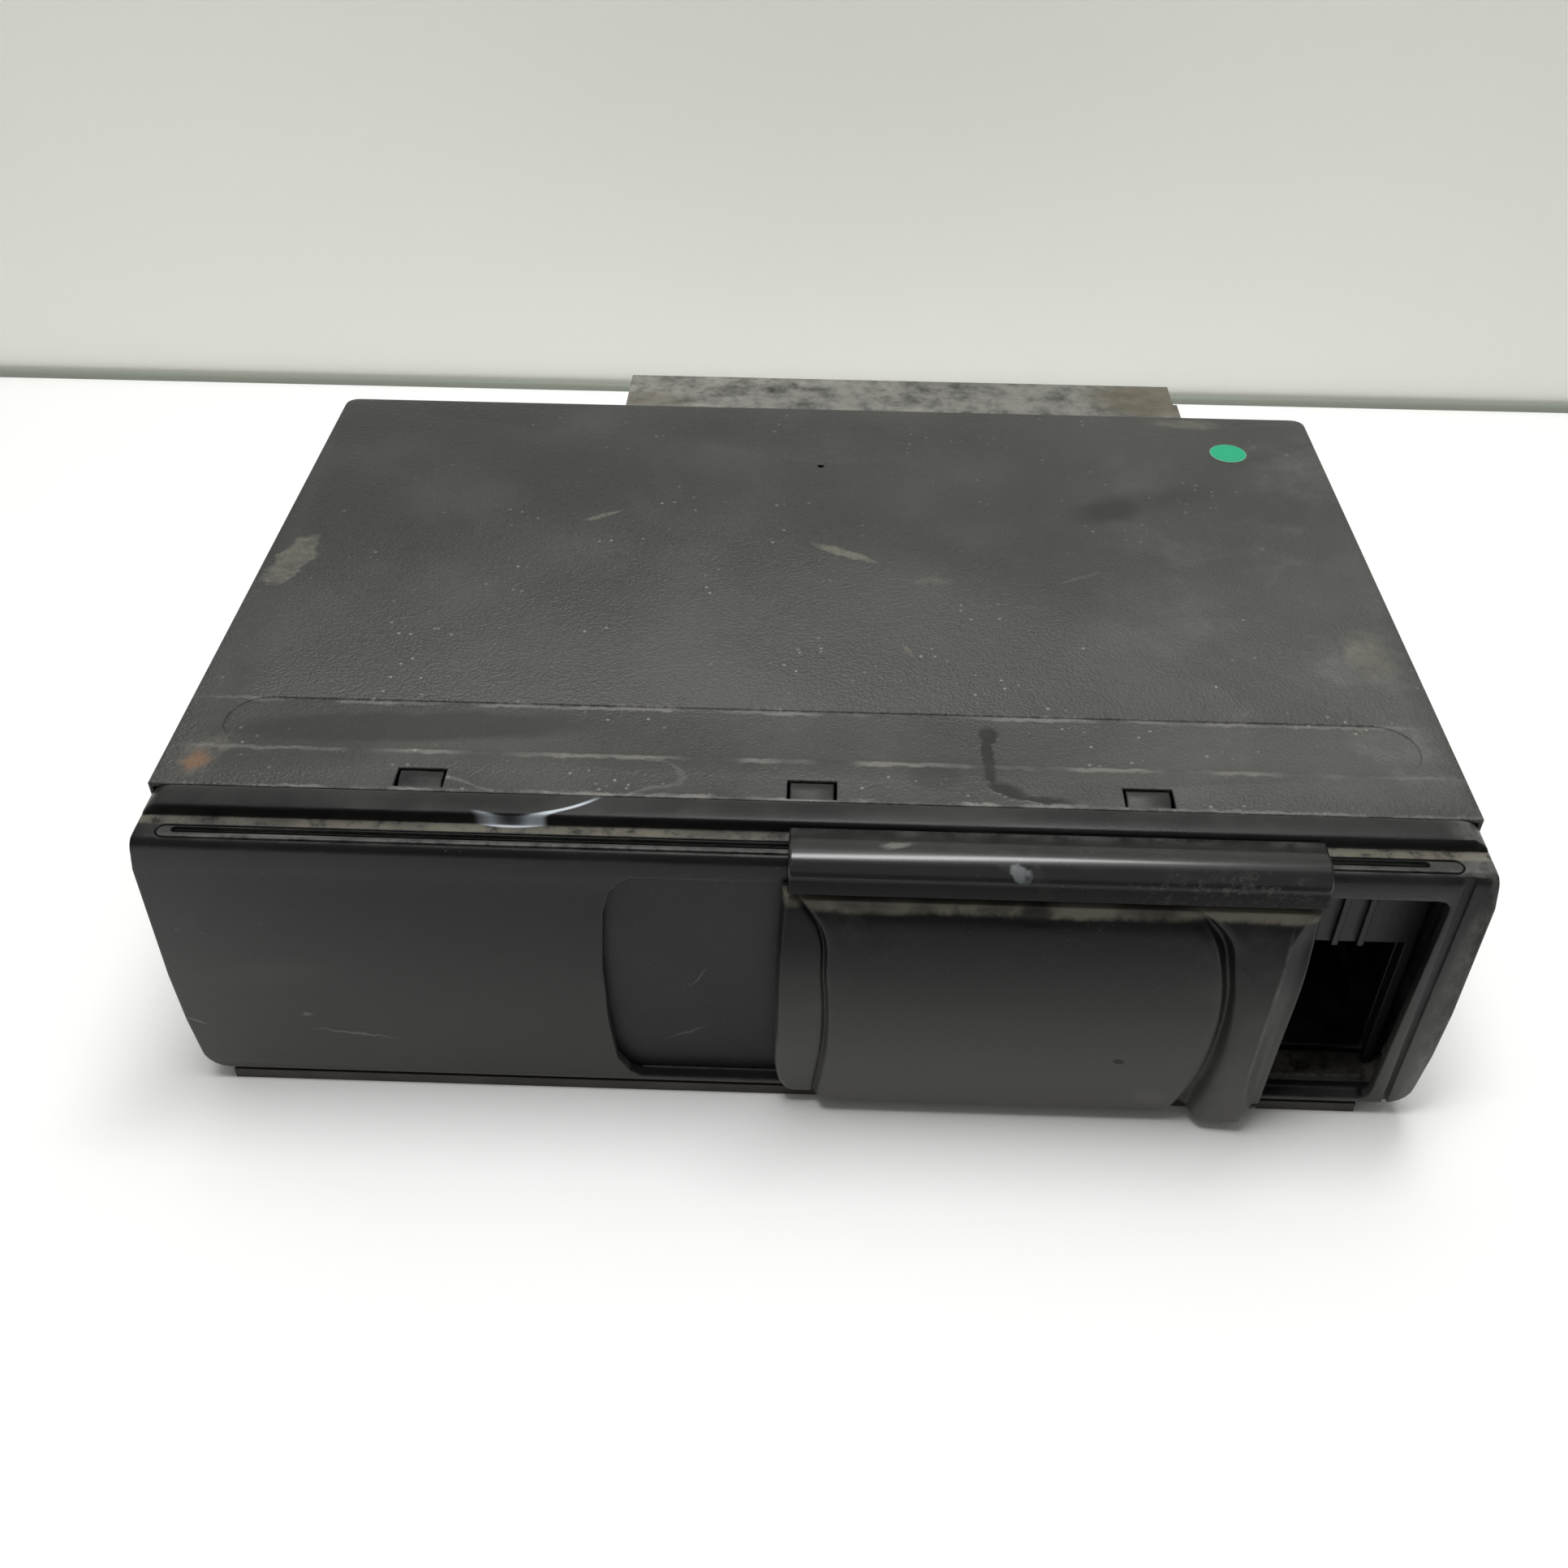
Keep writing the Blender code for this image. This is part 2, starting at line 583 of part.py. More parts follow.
def plate(outlines, span, axis="Z", soften=None):
    """A flat outline, with any holes as further outlines, given thickness along an axis.
    soften gives the radius and steps of the rounding of the low cap's edges."""
    curve = bpy.data.curves.new("outline", "CURVE")
    curve.dimensions = "2D"
    curve.fill_mode = "BOTH"
    low, high = span
    curve.extrude = (high - low) / 2
    for outline in outlines:
        spline = curve.splines.new("POLY")
        spline.points.add(len(outline) - 1)
        for point, (u, v) in zip(spline.points, outline):
            point.co = (u, v, 0, 1)
        spline.use_cyclic_u = True
    drawn = bpy.data.objects.new("outline", curve)
    bpy.context.scene.collection.objects.link(drawn)
    graph = bpy.context.evaluated_depsgraph_get()
    mesh = bpy.data.meshes.new_from_object(drawn.evaluated_get(graph))
    bpy.data.objects.remove(drawn)
    bpy.data.curves.remove(curve)
    bm = bmesh.new()
    bm.from_mesh(mesh)
    bpy.data.meshes.remove(mesh)
    bmesh.ops.remove_doubles(bm, verts=bm.verts, dist=WELD)
    bmesh.ops.recalc_face_normals(bm, faces=bm.faces)
    bmesh.ops.translate(bm, vec=(0, 0, (low + high) / 2), verts=bm.verts)
    if soften:
        radius, steps = soften
        bmesh.ops.dissolve_limit(bm, angle_limit=WELD, verts=bm.verts, edges=bm.edges)
        cap = min(bm.faces, key=lambda face: face.calc_center_median().z)
        bmesh.ops.bevel(
            bm, geom=list(cap.edges), offset=radius, offset_type="OFFSET",
            segments=steps, profile=0.5, affect="EDGES", clamp_overlap=True,
        )
    return laid(bm, axis)


def turned(profile, centre, base, axis="Z", sides=24):
    """A turned body. The profile runs from the axis out and back to it, as radius and height."""
    bm = bmesh.new()
    verts = [bm.verts.new((radius, 0, base + height)) for radius, height in profile]
    edges = [bm.edges.new(pair) for pair in zip(verts, verts[1:])]
    bmesh.ops.spin(
        bm, geom=verts + edges, cent=(0, 0, 0), axis=(0, 0, 1), angle=math.tau,
        steps=sides, use_merge=True,
    )
    bmesh.ops.remove_doubles(bm, verts=bm.verts, dist=WELD)
    bmesh.ops.translate(bm, vec=(centre[0], centre[1], 0), verts=bm.verts)
    return laid(bm, axis)


def ring(centre, inner, outer, span, axis="Z", sides=24):
    """A plain tube."""
    bm = bmesh.new()
    low, high = span
    corners = ((inner, low), (outer, low), (outer, high), (inner, high))
    verts = [bm.verts.new((radius, 0, height)) for radius, height in corners]
    edges = [bm.edges.new(pair) for pair in zip(verts, verts[1:] + verts[:1])]
    bmesh.ops.spin(
        bm, geom=verts + edges, cent=(0, 0, 0), axis=(0, 0, 1), angle=math.tau,
        steps=sides, use_merge=True,
    )
    bmesh.ops.remove_doubles(bm, verts=bm.verts, dist=WELD)
    bmesh.ops.translate(bm, vec=(centre[0], centre[1], 0), verts=bm.verts)
    return laid(bm, axis)


def gathered(shapes):
    """One mesh from shapes that don't touch each other."""
    whole = bmesh.new()
    for shape in shapes:
        piece = bpy.data.meshes.new("piece")
        shape.to_mesh(piece)
        shape.free()
        whole.from_mesh(piece)
        bpy.data.meshes.remove(piece)
    mesh = bpy.data.meshes.new("solid")
    whole.to_mesh(mesh)
    whole.free()
    return mesh


def solid(name, *shapes, origin=None):
    """A named sub-part. Its origin lies where it is asked for, such as on a joint's axis."""
    mesh = gathered(shapes)
    mesh.name = name
    obj = bpy.data.objects.new(name, mesh)
    PARTS.objects.link(obj)
    obj.parent = BASE
    if origin:
        mesh.transform(Matrix.Translation([-value for value in origin]))
        obj.location = origin
    mesh.shade_smooth()
    mesh.set_sharp_from_angle(angle=math.radians(35))
    return obj


def shape_with(obj, operation, shapes):
    for shape in shapes:
        tool = bpy.data.objects.new(f"{obj.name}_{operation.lower()}", gathered([shape]))
        TOOLS.objects.link(tool)
        tool.parent = BASE
        tool.hide_render = True
        tool.display_type = "WIRE"
        modifier = obj.modifiers.new(tool.name, "BOOLEAN")
        modifier.operation = operation
        modifier.solver = "EXACT"
        modifier.object = tool


def cut(obj, *shapes):
    shape_with(obj, "DIFFERENCE", shapes)


def add(obj, *shapes):
    shape_with(obj, "UNION", shapes)


def paint(obj, colour, roughness, metallic=0.0):
    """Each sub-part has a material of its own."""
    material = bpy.data.materials.new(obj.name)
    material.use_nodes = True
    surface = material.node_tree.nodes["Principled BSDF"]
    surface.inputs["Base Color"].default_value = (*colour, 1)
    surface.inputs["Roughness"].default_value = roughness
    surface.inputs["Metallic"].default_value = metallic
    obj.data.materials.clear()
    obj.data.materials.append(material)


def arc(centre, radius, first, last, steps):
    """Points on an arc, with its angles in degrees."""
    turns = [math.radians(first + (last - first) * k / steps) for k in range(steps + 1)]
    return [(centre[0] + radius * math.cos(t), centre[1] + radius * math.sin(t)) for t in turns]


def rounded(x, y, radius, steps=4):
    """A rectangle with round corners, counter-clockwise from its lower right corner."""
    (left, right), (low, high) = x, y
    return (
        arc((right - radius, low + radius), radius, -90, 0, steps)
        + arc((right - radius, high - radius), radius, 0, 90, steps)
        + arc((left + radius, high - radius), radius, 90, 180, steps)
        + arc((left + radius, low + radius), radius, 180, 270, steps)
    )


def rectangle(x, y):
    (left, right), (low, high) = x, y
    return [(left, low), (right, low), (right, high), (left, high)]


def circle(centre, radius, sides=20):
    return arc(centre, radius, 0, 360 - 360 / sides, sides - 1)


def circles_of(sides, radius):
    """The radius at which a flat-sided hole clears a round of this radius."""
    return radius / math.cos(math.pi / sides)


def gear_outline(centre, teeth, module, tooth_at):
    """Straight-sided teeth with play. tooth_at is the angle of one tooth's middle, in degrees."""
    pitch = module * teeth / 2
    tip = pitch + module * ADDENDUM_SHARE
    root = pitch - module * DEDENDUM_SHARE
    half = (math.pi * module / 2 - BACKLASH) / 2
    flank = ((root, half / root), (pitch, half / pitch), (tip, half * TIP_SHARE / tip))
    points = []
    for k in range(teeth):
        middle = math.radians(tooth_at) + math.tau * k / teeth
        for side in (-1, 1):
            for radius, turn in flank[::-side]:
                angle = middle + side * turn
                points.append(
                    (centre[0] + radius * math.cos(angle), centre[1] + radius * math.sin(angle))
                )
    return points


def rack_points(module, tooth_middles, pitch_line, way):
    """The toothed edge of a rack, left to right. way is 1 where the teeth point up the sheet."""
    half = (math.pi * module / 2 - BACKLASH) / 2
    slope = math.tan(math.radians(20))
    up = module * ADDENDUM_SHARE
    down = module * DEDENDUM_SHARE
    points = []
    for middle in tooth_middles:
        points += [
            (middle - half - down * slope, pitch_line - way * down),
            (middle - half + up * slope, pitch_line + way * up),
            (middle + half - up * slope, pitch_line + way * up),
            (middle + half + down * slope, pitch_line - way * down),
        ]
    return points


def screw(centre, face, length, axis="Z", way=1):
    """A pan-head screw whose head stands off from a face. way is 1 where the head looks up the axis."""
    top = SCREW_HEAD_HEIGHT
    profile = (
        (0, -length), (SCREW_RADIUS, -length), (SCREW_RADIUS, 0), (SCREW_HEAD_RADIUS, 0),
        (SCREW_HEAD_RADIUS, top / 2), (SCREW_HEAD_RADIUS - top / 2, top),
        (SCREW_RECESS_RADIUS, top), (SCREW_RECESS_RADIUS, top - SCREW_RECESS), (0, top - SCREW_RECESS),
    )
    profile = [(radius, way * height) for radius, height in profile]
    return turned(profile, centre, face + way * GAP, axis, sides=12)


def screw_hole(centre, span, axis="Z"):
    return rod(centre, circles_of(12, SCREW_RADIUS + SCREW_HOLE_PLAY), span, axis, sides=12)


def bezel_outline():
    height = CASE_TOP - BEZEL_BOTTOM
    low = BEZEL_HALF_WIDTH * BEZEL_SIDE_SHARES[0][1]
    high = BEZEL_HALF_WIDTH * BEZEL_SIDE_SHARES[-1][1]
    right = arc((low - BEZEL_CORNER, BEZEL_BOTTOM + BEZEL_CORNER), BEZEL_CORNER, -90, 0, 5)
    for up, out in BEZEL_SIDE_SHARES[1:-1]:
        right.append((BEZEL_HALF_WIDTH * out, BEZEL_BOTTOM + height * up))
    right += arc((high - BEZEL_CORNER, CASE_TOP - BEZEL_CORNER), BEZEL_CORNER, 0, 90, 5)
    return right + [(-x, z) for x, z in right[::-1]]


def make_bezel():
    bezel = solid("front_bezel", plate([bezel_outline()], (0, BEZEL_DEPTH), "Y", (BEZEL_EDGE, 3)))
    paint(bezel, (0.032, 0.034, 0.036), 0.5)
    across = (-BEZEL_HALF_WIDTH - OVERRUN, BEZEL_HALF_WIDTH + OVERRUN)
    inside = (-BEZEL_SIDE_INNER, BEZEL_SIDE_INNER)
    ledge = [(-OVERRUN, CASE_TOP + OVERRUN), (-OVERRUN, LEDGE - LEDGE_ROUND)]
    ledge += arc((LEDGE_ROUND, LEDGE - LEDGE_ROUND), LEDGE_ROUND, 180, 90, 4)
    ledge.append((LEDGE_DEPTH, LEDGE))
    ledge += arc((LEDGE_DEPTH + STEP_ROUND, CASE_TOP - STEP_ROUND), STEP_ROUND, 180, 90, 2)
    ledge.append((LEDGE_DEPTH + STEP_ROUND, CASE_TOP + OVERRUN))
    cut(bezel, plate([ledge], across, "X"))
    web = LEDGE_DEPTH + LEDGE_WALL
    beyond = BEZEL_DEPTH + OVERRUN
    cut(bezel, box(inside, (BEZEL_WALL, beyond), (BEZEL_INSIDE, LEDGE_UNDER)))
    cut(bezel, box(inside, (web, beyond), (LEDGE_UNDER - LAP, CASE_TOP - LEDGE_WALL)))
    window = [
        (WINDOW_LEFT - WINDOW_BOW * bow, WINDOW_BOTTOM + WINDOW_HEIGHT * up)
        for up, bow in WINDOW_LEFT_SHARES
    ]
    low_right = (WINDOW_RIGHT_BOTTOM - WINDOW_CORNER, WINDOW_BOTTOM + WINDOW_CORNER)
    high_right = (WINDOW_RIGHT_TOP - WINDOW_CORNER, WINDOW_TOP - WINDOW_CORNER)
    window += arc(low_right, WINDOW_CORNER, -90, 0, 3) + arc(high_right, WINDOW_CORNER, 0, 90, 3)
    cut(bezel, plate([window], (-OVERRUN, BEZEL_WALL + OVERRUN / 4), "Y"))
    groove = [
        (GROOVE_MIDDLE - GROOVE_BOTTOM_WIDTH / 2, BEZEL_BOTTOM - OVERRUN),
        (GROOVE_MIDDLE + GROOVE_BOTTOM_WIDTH / 2, BEZEL_BOTTOM - OVERRUN),
        (GROOVE_MIDDLE + GROOVE_TOP_WIDTH / 2, LEDGE + OVERRUN),
        (GROOVE_MIDDLE - GROOVE_TOP_WIDTH / 2, LEDGE + OVERRUN),
    ]
    cut(bezel, plate([groove], (-OVERRUN, GROOVE_DEPTH), "Y"))
    half = (RAIL_BACK - RAIL_FRONT) / 2
    recess = rounded((RAIL_LEFT, RAIL_RIGHT), (RAIL_FRONT, RAIL_BACK), half, 5)
    floor = LEDGE - RAIL_SINK - RAIL_THICKNESS - GAP
    cut(bezel, plate([recess], (floor, LEDGE + OVERRUN), "Z"))
    slot_y = (RUNNER_SLOT_FRONT - GAP / 3, RUNNER_SLOT_BACK + GAP / 3)
    slot = rounded(
        (RUNNER_SLOT_LEFT - GAP, RUNNER_SLOT_RIGHT + GAP), slot_y, (slot_y[1] - slot_y[0]) / 2, 4,
    )
    cut(bezel, plate([slot], (LEDGE_UNDER - OVERRUN / 2, LEDGE + OVERRUN), "Z"))
    # The guides behind the inner leaf
    rear = LEAF_FRONT + LEAF_THICKNESS + GAP
    guide_x = (GUIDE_LEFT, GUIDE_RIGHT)
    lip = [
        (rear, LEAF_TOP - GUIDE_COVER), (rear + GUIDE_LIP + GUIDE_THICKNESS, LEAF_TOP - GUIDE_COVER),
        (rear + GUIDE_LIP + GUIDE_THICKNESS, LEDGE_UNDER + LAP), (rear + GUIDE_LIP, LEDGE_UNDER + LAP),
        (rear + GUIDE_LIP, LEAF_TOP + GAP), (rear, LEAF_TOP + GAP),
    ]
    add(bezel, plate([lip], guide_x, "X"))
    sill = (BEZEL_INSIDE - LAP, BEZEL_INSIDE + SILL_GUIDE_HEIGHT)
    add(bezel, box(guide_x, (rear, rear + GUIDE_THICKNESS), sill))
    # The latch tongues
    for middle, setback in zip(LATCH_PLACES, LATCH_SETBACKS):
        side = (middle - LATCH_WIDTH / 2 + LATCH_SIDE_PLAY, middle + LATCH_WIDTH / 2 - LATCH_SIDE_PLAY)
        ceiling = CASE_CEILING - GAP
        floor = ceiling - LATCH_THICKNESS
        front = CASE_FRONT + setback + LATCH_SIDE_PLAY
        back = CASE_FRONT + setback + LATCH_SLOT_LENGTH - LATCH_SIDE_PLAY
        tongue = [
            (LEDGE_DEPTH + LEDGE_WALL / 2, floor), (back, floor), (back, CASE_TOP - GAP),
            ((front + back) / 2, CASE_TOP - GAP), (front, ceiling),
                (LEDGE_DEPTH + LEDGE_WALL / 2, ceiling),
        ]
        add(bezel, plate([tongue], side, "X"))
    return bezel


def make_slide_rail():
    inset = GAP
    half = (RAIL_BACK - RAIL_FRONT) / 2 - inset
    outside = rounded(
        (RAIL_LEFT + inset, RAIL_RIGHT - inset), (RAIL_FRONT + inset, RAIL_BACK - inset), half, 5,
    )
    slot_y = (RUNNER_SLOT_FRONT, RUNNER_SLOT_BACK)
    slot = rounded((RUNNER_SLOT_LEFT, RUNNER_SLOT_RIGHT), slot_y, (slot_y[1] - slot_y[0]) / 2, 4)
    top = LEDGE - RAIL_SINK
    rail = solid("slide_rail", plate([outside, slot], (top - RAIL_THICKNESS, top), "Z"))
    paint(rail, (0.045, 0.046, 0.047), 0.42)


def make_door():
    # Hood with its runners
    back = -DOOR_STANDOFF
    skin = -HOOD_FRONT + HOOD_SKIN
    under = LEDGE + DOOR_STANDOFF
    hood = [(skin, HOOD_BOTTOM), (-HOOD_FRONT, HOOD_BOTTOM)]
    hood += arc((HOOD_ROUND - HOOD_FRONT, HOOD_TOP - HOOD_ROUND), HOOD_ROUND, 180, 90, 4)
    hood += [(HOOD_BACK, HOOD_TOP), (HOOD_BACK, under), (back, under)]
    hood += [(back, HOOD_BOTTOM + HOOD_REBATE), (skin, HOOD_BOTTOM + HOOD_REBATE)]
    carriage = solid("door_carriage", plate([hood], (DOOR_LEFT, DOOR_RIGHT), "X"))
    paint(carriage, (0.036, 0.037, 0.039), 0.38)
    neck = (RUNNER_SLOT_FRONT + GAP, RUNNER_SLOT_BACK - GAP)
    head_top = LEDGE_UNDER - GAP
    head = (head_top - RUNNER_HEAD_HEIGHT, head_top)
    left = DOOR_LEFT + RUNNER_INSET
    right = DOOR_RIGHT - RUNNER_RIGHT_INSET
    for side in ((left, left + RUNNER_LENGTH), (right - RUNNER_LENGTH, right)):
        runner = [
            (neck[0], head[1]), (RUNNER_HEAD_FRONT, head[1]), (RUNNER_HEAD_FRONT, head[0]),
            (RUNNER_HEAD_BACK, head[0]), (RUNNER_HEAD_BACK, head[1]), (neck[1], head[1]),
            (neck[1], under + LAP), (neck[0], under + LAP),
        ]
        add(carriage, plate([runner], side, "X"))
    # Panel
    top = HOOD_BOTTOM - DOOR_SEAM
    height = top - PANEL_BOTTOM
    sheet = [(DOOR_RIGHT, PANEL_BOTTOM), (DOOR_RIGHT, top)]
    sheet += [
        (PANEL_LEFT + PANEL_LEFT_DRAW * draw, PANEL_BOTTOM + height * up) for up,
        draw in PANEL_LEFT_SHARES[::-1]
    ]
    barrel = [(-PANEL_PROUD * out, PANEL_BOTTOM + height * up) for up, out in PANEL_SECTION_SHARES]
    section = [(back, PANEL_BOTTOM)] + barrel + [(back, top)]
    panel = solid("door_panel", lens_shape(sheet, section))
    low_share, high_share = PANEL_HOLLOW_SHARES
    hollow = [
        (PANEL_WALL - PANEL_PROUD * out, PANEL_BOTTOM + height * up) for up, out in PANEL_SECTION_SHARES
        if low_share <= up <= high_share
    ]
    hollow = [(back + OVERRUN, hollow[0][1])] + hollow + [(back + OVERRUN, hollow[-1][1])]
    hollow_x = (PANEL_HOLLOW_LEFT, DOOR_RIGHT - PANEL_HOLLOW_INSET)
    cut(panel, plate([hollow], hollow_x, "X"))
    paint(panel, (0.03, 0.031, 0.033), 0.42)
    tongue_y = (back - TONGUE_THICKNESS, back)
    tongue_x = (DOOR_LEFT + TONGUE_INSET, DOOR_RIGHT - TONGUE_INSET)
    add(panel, box(tongue_x, tongue_y, (top - TONGUE_ROOT, HOOD_BOTTOM + HOOD_REBATE - GAP)))
    field = [(-FIELD_PROUD * out, PANEL_BOTTOM + height * up) for up, out in FIELD_SECTION_SHARES]
    inner = [
        (LAP - PANEL_PROUD * out, PANEL_BOTTOM + height * up) for up, out in PANEL_SECTION_SHARES[::-1]
    ]
    field += inner
    plan = [
        (FIELD_LEFT - FIELD_LEFT_DRAW * draw, PANEL_BOTTOM + height * up) for up,
        draw in FIELD_LEFT_SHARES[::-1]
    ]
    plan += [
        (FIELD_RIGHT - FIELD_RIGHT_DRAW * draw, PANEL_BOTTOM + height * up) for up,
        draw in FIELD_RIGHT_SHARES
    ]
    middle = lens_shape(plan, field)
    add(panel, middle)
    tall = top - PANEL_BOTTOM + HANDLE_DROP
    low = PANEL_BOTTOM - HANDLE_DROP
    grip = [(-HANDLE_PROUD * out, low + tall * up) for up, out in HANDLE_SECTION_SHARES]
    grip += inner + [(inner[-1][0], low)]
    plan = [
        (HANDLE_LEFT - HANDLE_LEFT_DRAW * draw, low + tall * up) for up,
        draw in HANDLE_LEFT_SHARES[::-1]
    ]
    plan += [
        (HANDLE_RIGHT + HANDLE_RIGHT_SPREAD * draw, low + tall * up) for up, draw in HANDLE_RIGHT_SHARES
    ]
    add(panel, lens_shape(plan, grip))
    # The hook that runs under the front and behind the strip's edge
    hook_right = DOOR_RIGHT - HOOK_RIGHT_INSET
    hook_top = BEZEL_BOTTOM - GAP
    hook_floor = hook_top - HOOK_PLATE
    tip = STRIP_FRONT + STRIP_THICKNESS + GAP
    hook = [
        (-HOOK_ROOT, hook_floor), (tip, hook_floor), (tip, hook_floor - HOOK_REACH_DOWN),
        (tip + HOOK_TIP, hook_floor - HOOK_REACH_DOWN), (tip + HOOK_TIP, hook_top),
        (-HOOK_ROOT, hook_top),
    ]
    add(panel, plate([hook], (hook_right - HOOK_WIDTH, hook_right), "X"))


def lens_shape(plan, section):
    """What an outline seen from the front and a section seen from the side have in common."""
    lows = [u for u, _ in plan]
    body = bpy.data.objects.new(
        "swelling", gathered([plate([section], (min(lows) - LAP, max(lows) + LAP), "X")]),
    )
    mask = bpy.data.objects.new(
        "mask", gathered([plate([plan], (-HANDLE_PROUD - OVERRUN, OVERRUN), "Y")]),
    )
    for obj in (body, mask):
        bpy.context.scene.collection.objects.link(obj)
    modifier = body.modifiers.new("both", "BOOLEAN")
    modifier.operation = "INTERSECT"
    modifier.solver = "EXACT"
    modifier.object = mask
    graph = bpy.context.evaluated_depsgraph_get()
    mesh = bpy.data.meshes.new_from_object(body.evaluated_get(graph))
    bpy.data.objects.remove(body)
    bpy.data.objects.remove(mask)
    bm = bmesh.new()
    bm.from_mesh(mesh)
    bpy.data.meshes.remove(mesh)
    return bm


def make_leaf():
    leaf_x = (LEAF_LEFT, LEAF_LEFT + LEAF_WIDTH)
    leaf = solid(
        "inner_door_leaf", plate([rounded(leaf_x, (BEZEL_INSIDE + GAP, LEAF_TOP), LEAF_THICKNESS / 2,
        2)], (LEAF_FRONT, LEAF_FRONT + LEAF_THICKNESS), "Y"),
    )
    paint(leaf, (0.05, 0.051, 0.052), 0.55)


def make_case():
    top = solid(
        "top_cover", plate([cover_plan(CASE_HALF, CASE_BACK, CASE_FRONT, CASE_CORNER)],
        (SKIRT_BOTTOM, CASE_TOP), "Z"),
    )
    paint(top, (0.06, 0.06, 0.058), 0.6)
    inner = cover_plan(CASE_INNER, CASE_BACK - CASE_SHEET, CASE_FRONT - OVERRUN, CASE_CORNER - CASE_SHEET)
    cut(top, plate([inner], (SKIRT_BOTTOM - OVERRUN, CASE_CEILING), "Z"))
    inside = (-CASE_INNER + CASE_CORNER, CASE_INNER - CASE_CORNER)
    behind = (CASE_BACK - CASE_SHEET - LAP, CASE_BACK + OVERRUN)
    cut(top, box(inside, behind, (SKIRT_BOTTOM - OVERRUN, CASE_TOP - REAR_FLANGE)))
    half = (CHANNEL_BACK - CHANNEL_FRONT) / 2
    channel_y = (CHANNEL_FRONT, CHANNEL_BACK)
    # The channel is pressed into the sheet, so its underside stands down as much as its top
    wide = rounded(
        (CHANNEL_LEFT - CASE_SHEET, CHANNEL_RIGHT + CASE_SHEET),
        (CHANNEL_FRONT - CASE_SHEET, CHANNEL_BACK + CASE_SHEET), half + CASE_SHEET, 6,
    )
    add(top, plate([wide], (CASE_CEILING - CHANNEL_DEPTH, CASE_CEILING + LAP / 2), "Z"))
    cut(
        top, plate([rounded((CHANNEL_LEFT, CHANNEL_RIGHT), channel_y, half, 6)],
        (CASE_TOP - CHANNEL_DEPTH, CASE_TOP + OVERRUN), "Z"),
    )
    for middle, setback in zip(LATCH_PLACES, LATCH_SETBACKS):
        slot_y = (CASE_FRONT + setback, CASE_FRONT + setback + LATCH_SLOT_LENGTH)
        slot_x = (middle - LATCH_WIDTH / 2, middle + LATCH_WIDTH / 2)
        cut(top, box(slot_x, slot_y, (CASE_CEILING - OVERRUN, CASE_TOP + OVERRUN)))
    cut(
        top, rod((0, COVER_HOLE_BACK), COVER_HOLE_RADIUS, (CASE_CEILING - OVERRUN, CASE_TOP + OVERRUN),
        "Z", 12),
    )
    deep = CASE_HALF - PAN_HALF + PAN_WALL + SCREW_TAIL
    for y, end in zip(SIDE_SCREW_PLACES, ("front", "rear")):
        reach = (-CASE_HALF - OVERRUN, CASE_HALF + OVERRUN)
        cut(top, screw_hole((y, SIDE_SCREW_HEIGHT), reach, "X"))
        for way, side in ((-1, "left"), (1, "right")):
            fastener = solid(
                f"cover_screw_{side}_{end}", screw((y, SIDE_SCREW_HEIGHT), way * CASE_HALF, deep, "X",
                way),
            )
            paint(fastener, (0.25, 0.25, 0.24), 0.35, 1.0)
    for x in BRACKET_SCREW_PLACES:
        cut(
            top, screw_hole((x, BRACKET_SCREW_HEIGHT),
            (CASE_BACK - CASE_SHEET * 2, CASE_BACK + OVERRUN), "Y"),
        )


def cover_plan(half, back, front, corner):
    right = arc((half - corner, back - corner), corner, 0, 90, 4)
    return [(-half, front), (half, front)] + right + [(-x, y) for x, y in right[::-1]]


def make_pan():
    outer_y = (CASE_FRONT + PAN_FRONT_GAP, PAN_REAR)
    pan = solid("bottom_pan", box((-PAN_HALF, PAN_HALF), outer_y, (0, PAN_WALL_HEIGHT)))
    paint(pan, (0.3, 0.29, 0.27), 0.45, 1.0)
    inner = PAN_HALF - PAN_WALL
    cut(
        pan, box((-inner, inner), (outer_y[0] - OVERRUN, outer_y[1] + OVERRUN),
        (PAN_FLOOR, PAN_WALL_HEIGHT + OVERRUN)),
    )
    strip = [
        (STRIP_FRONT, 0), (outer_y[0] + LAP, 0), (outer_y[0] + LAP, PAN_FLOOR), (
            STRIP_FRONT + STRIP_THICKNESS, PAN_FLOOR,
        ),
        (STRIP_FRONT + STRIP_THICKNESS, STRIP_HEIGHT), (STRIP_FRONT, STRIP_HEIGHT),
    ]
    add(pan, plate([strip], (STRIP_LEFT, STRIP_RIGHT), "X"))
    for place in BOSS_PLACES:
        add(pan, rod(place, BOSS_RADIUS, (PAN_FLOOR - LAP, CHASSIS_LIFT - GAP), "Z", 16))
        cut(pan, screw_hole(place, (PAN_FLOOR + GAP, CHASSIS_LIFT)))
    for y in SIDE_SCREW_PLACES:
        cut(pan, screw_hole((y, SIDE_SCREW_HEIGHT), (-PAN_HALF - OVERRUN, PAN_HALF + OVERRUN), "X"))


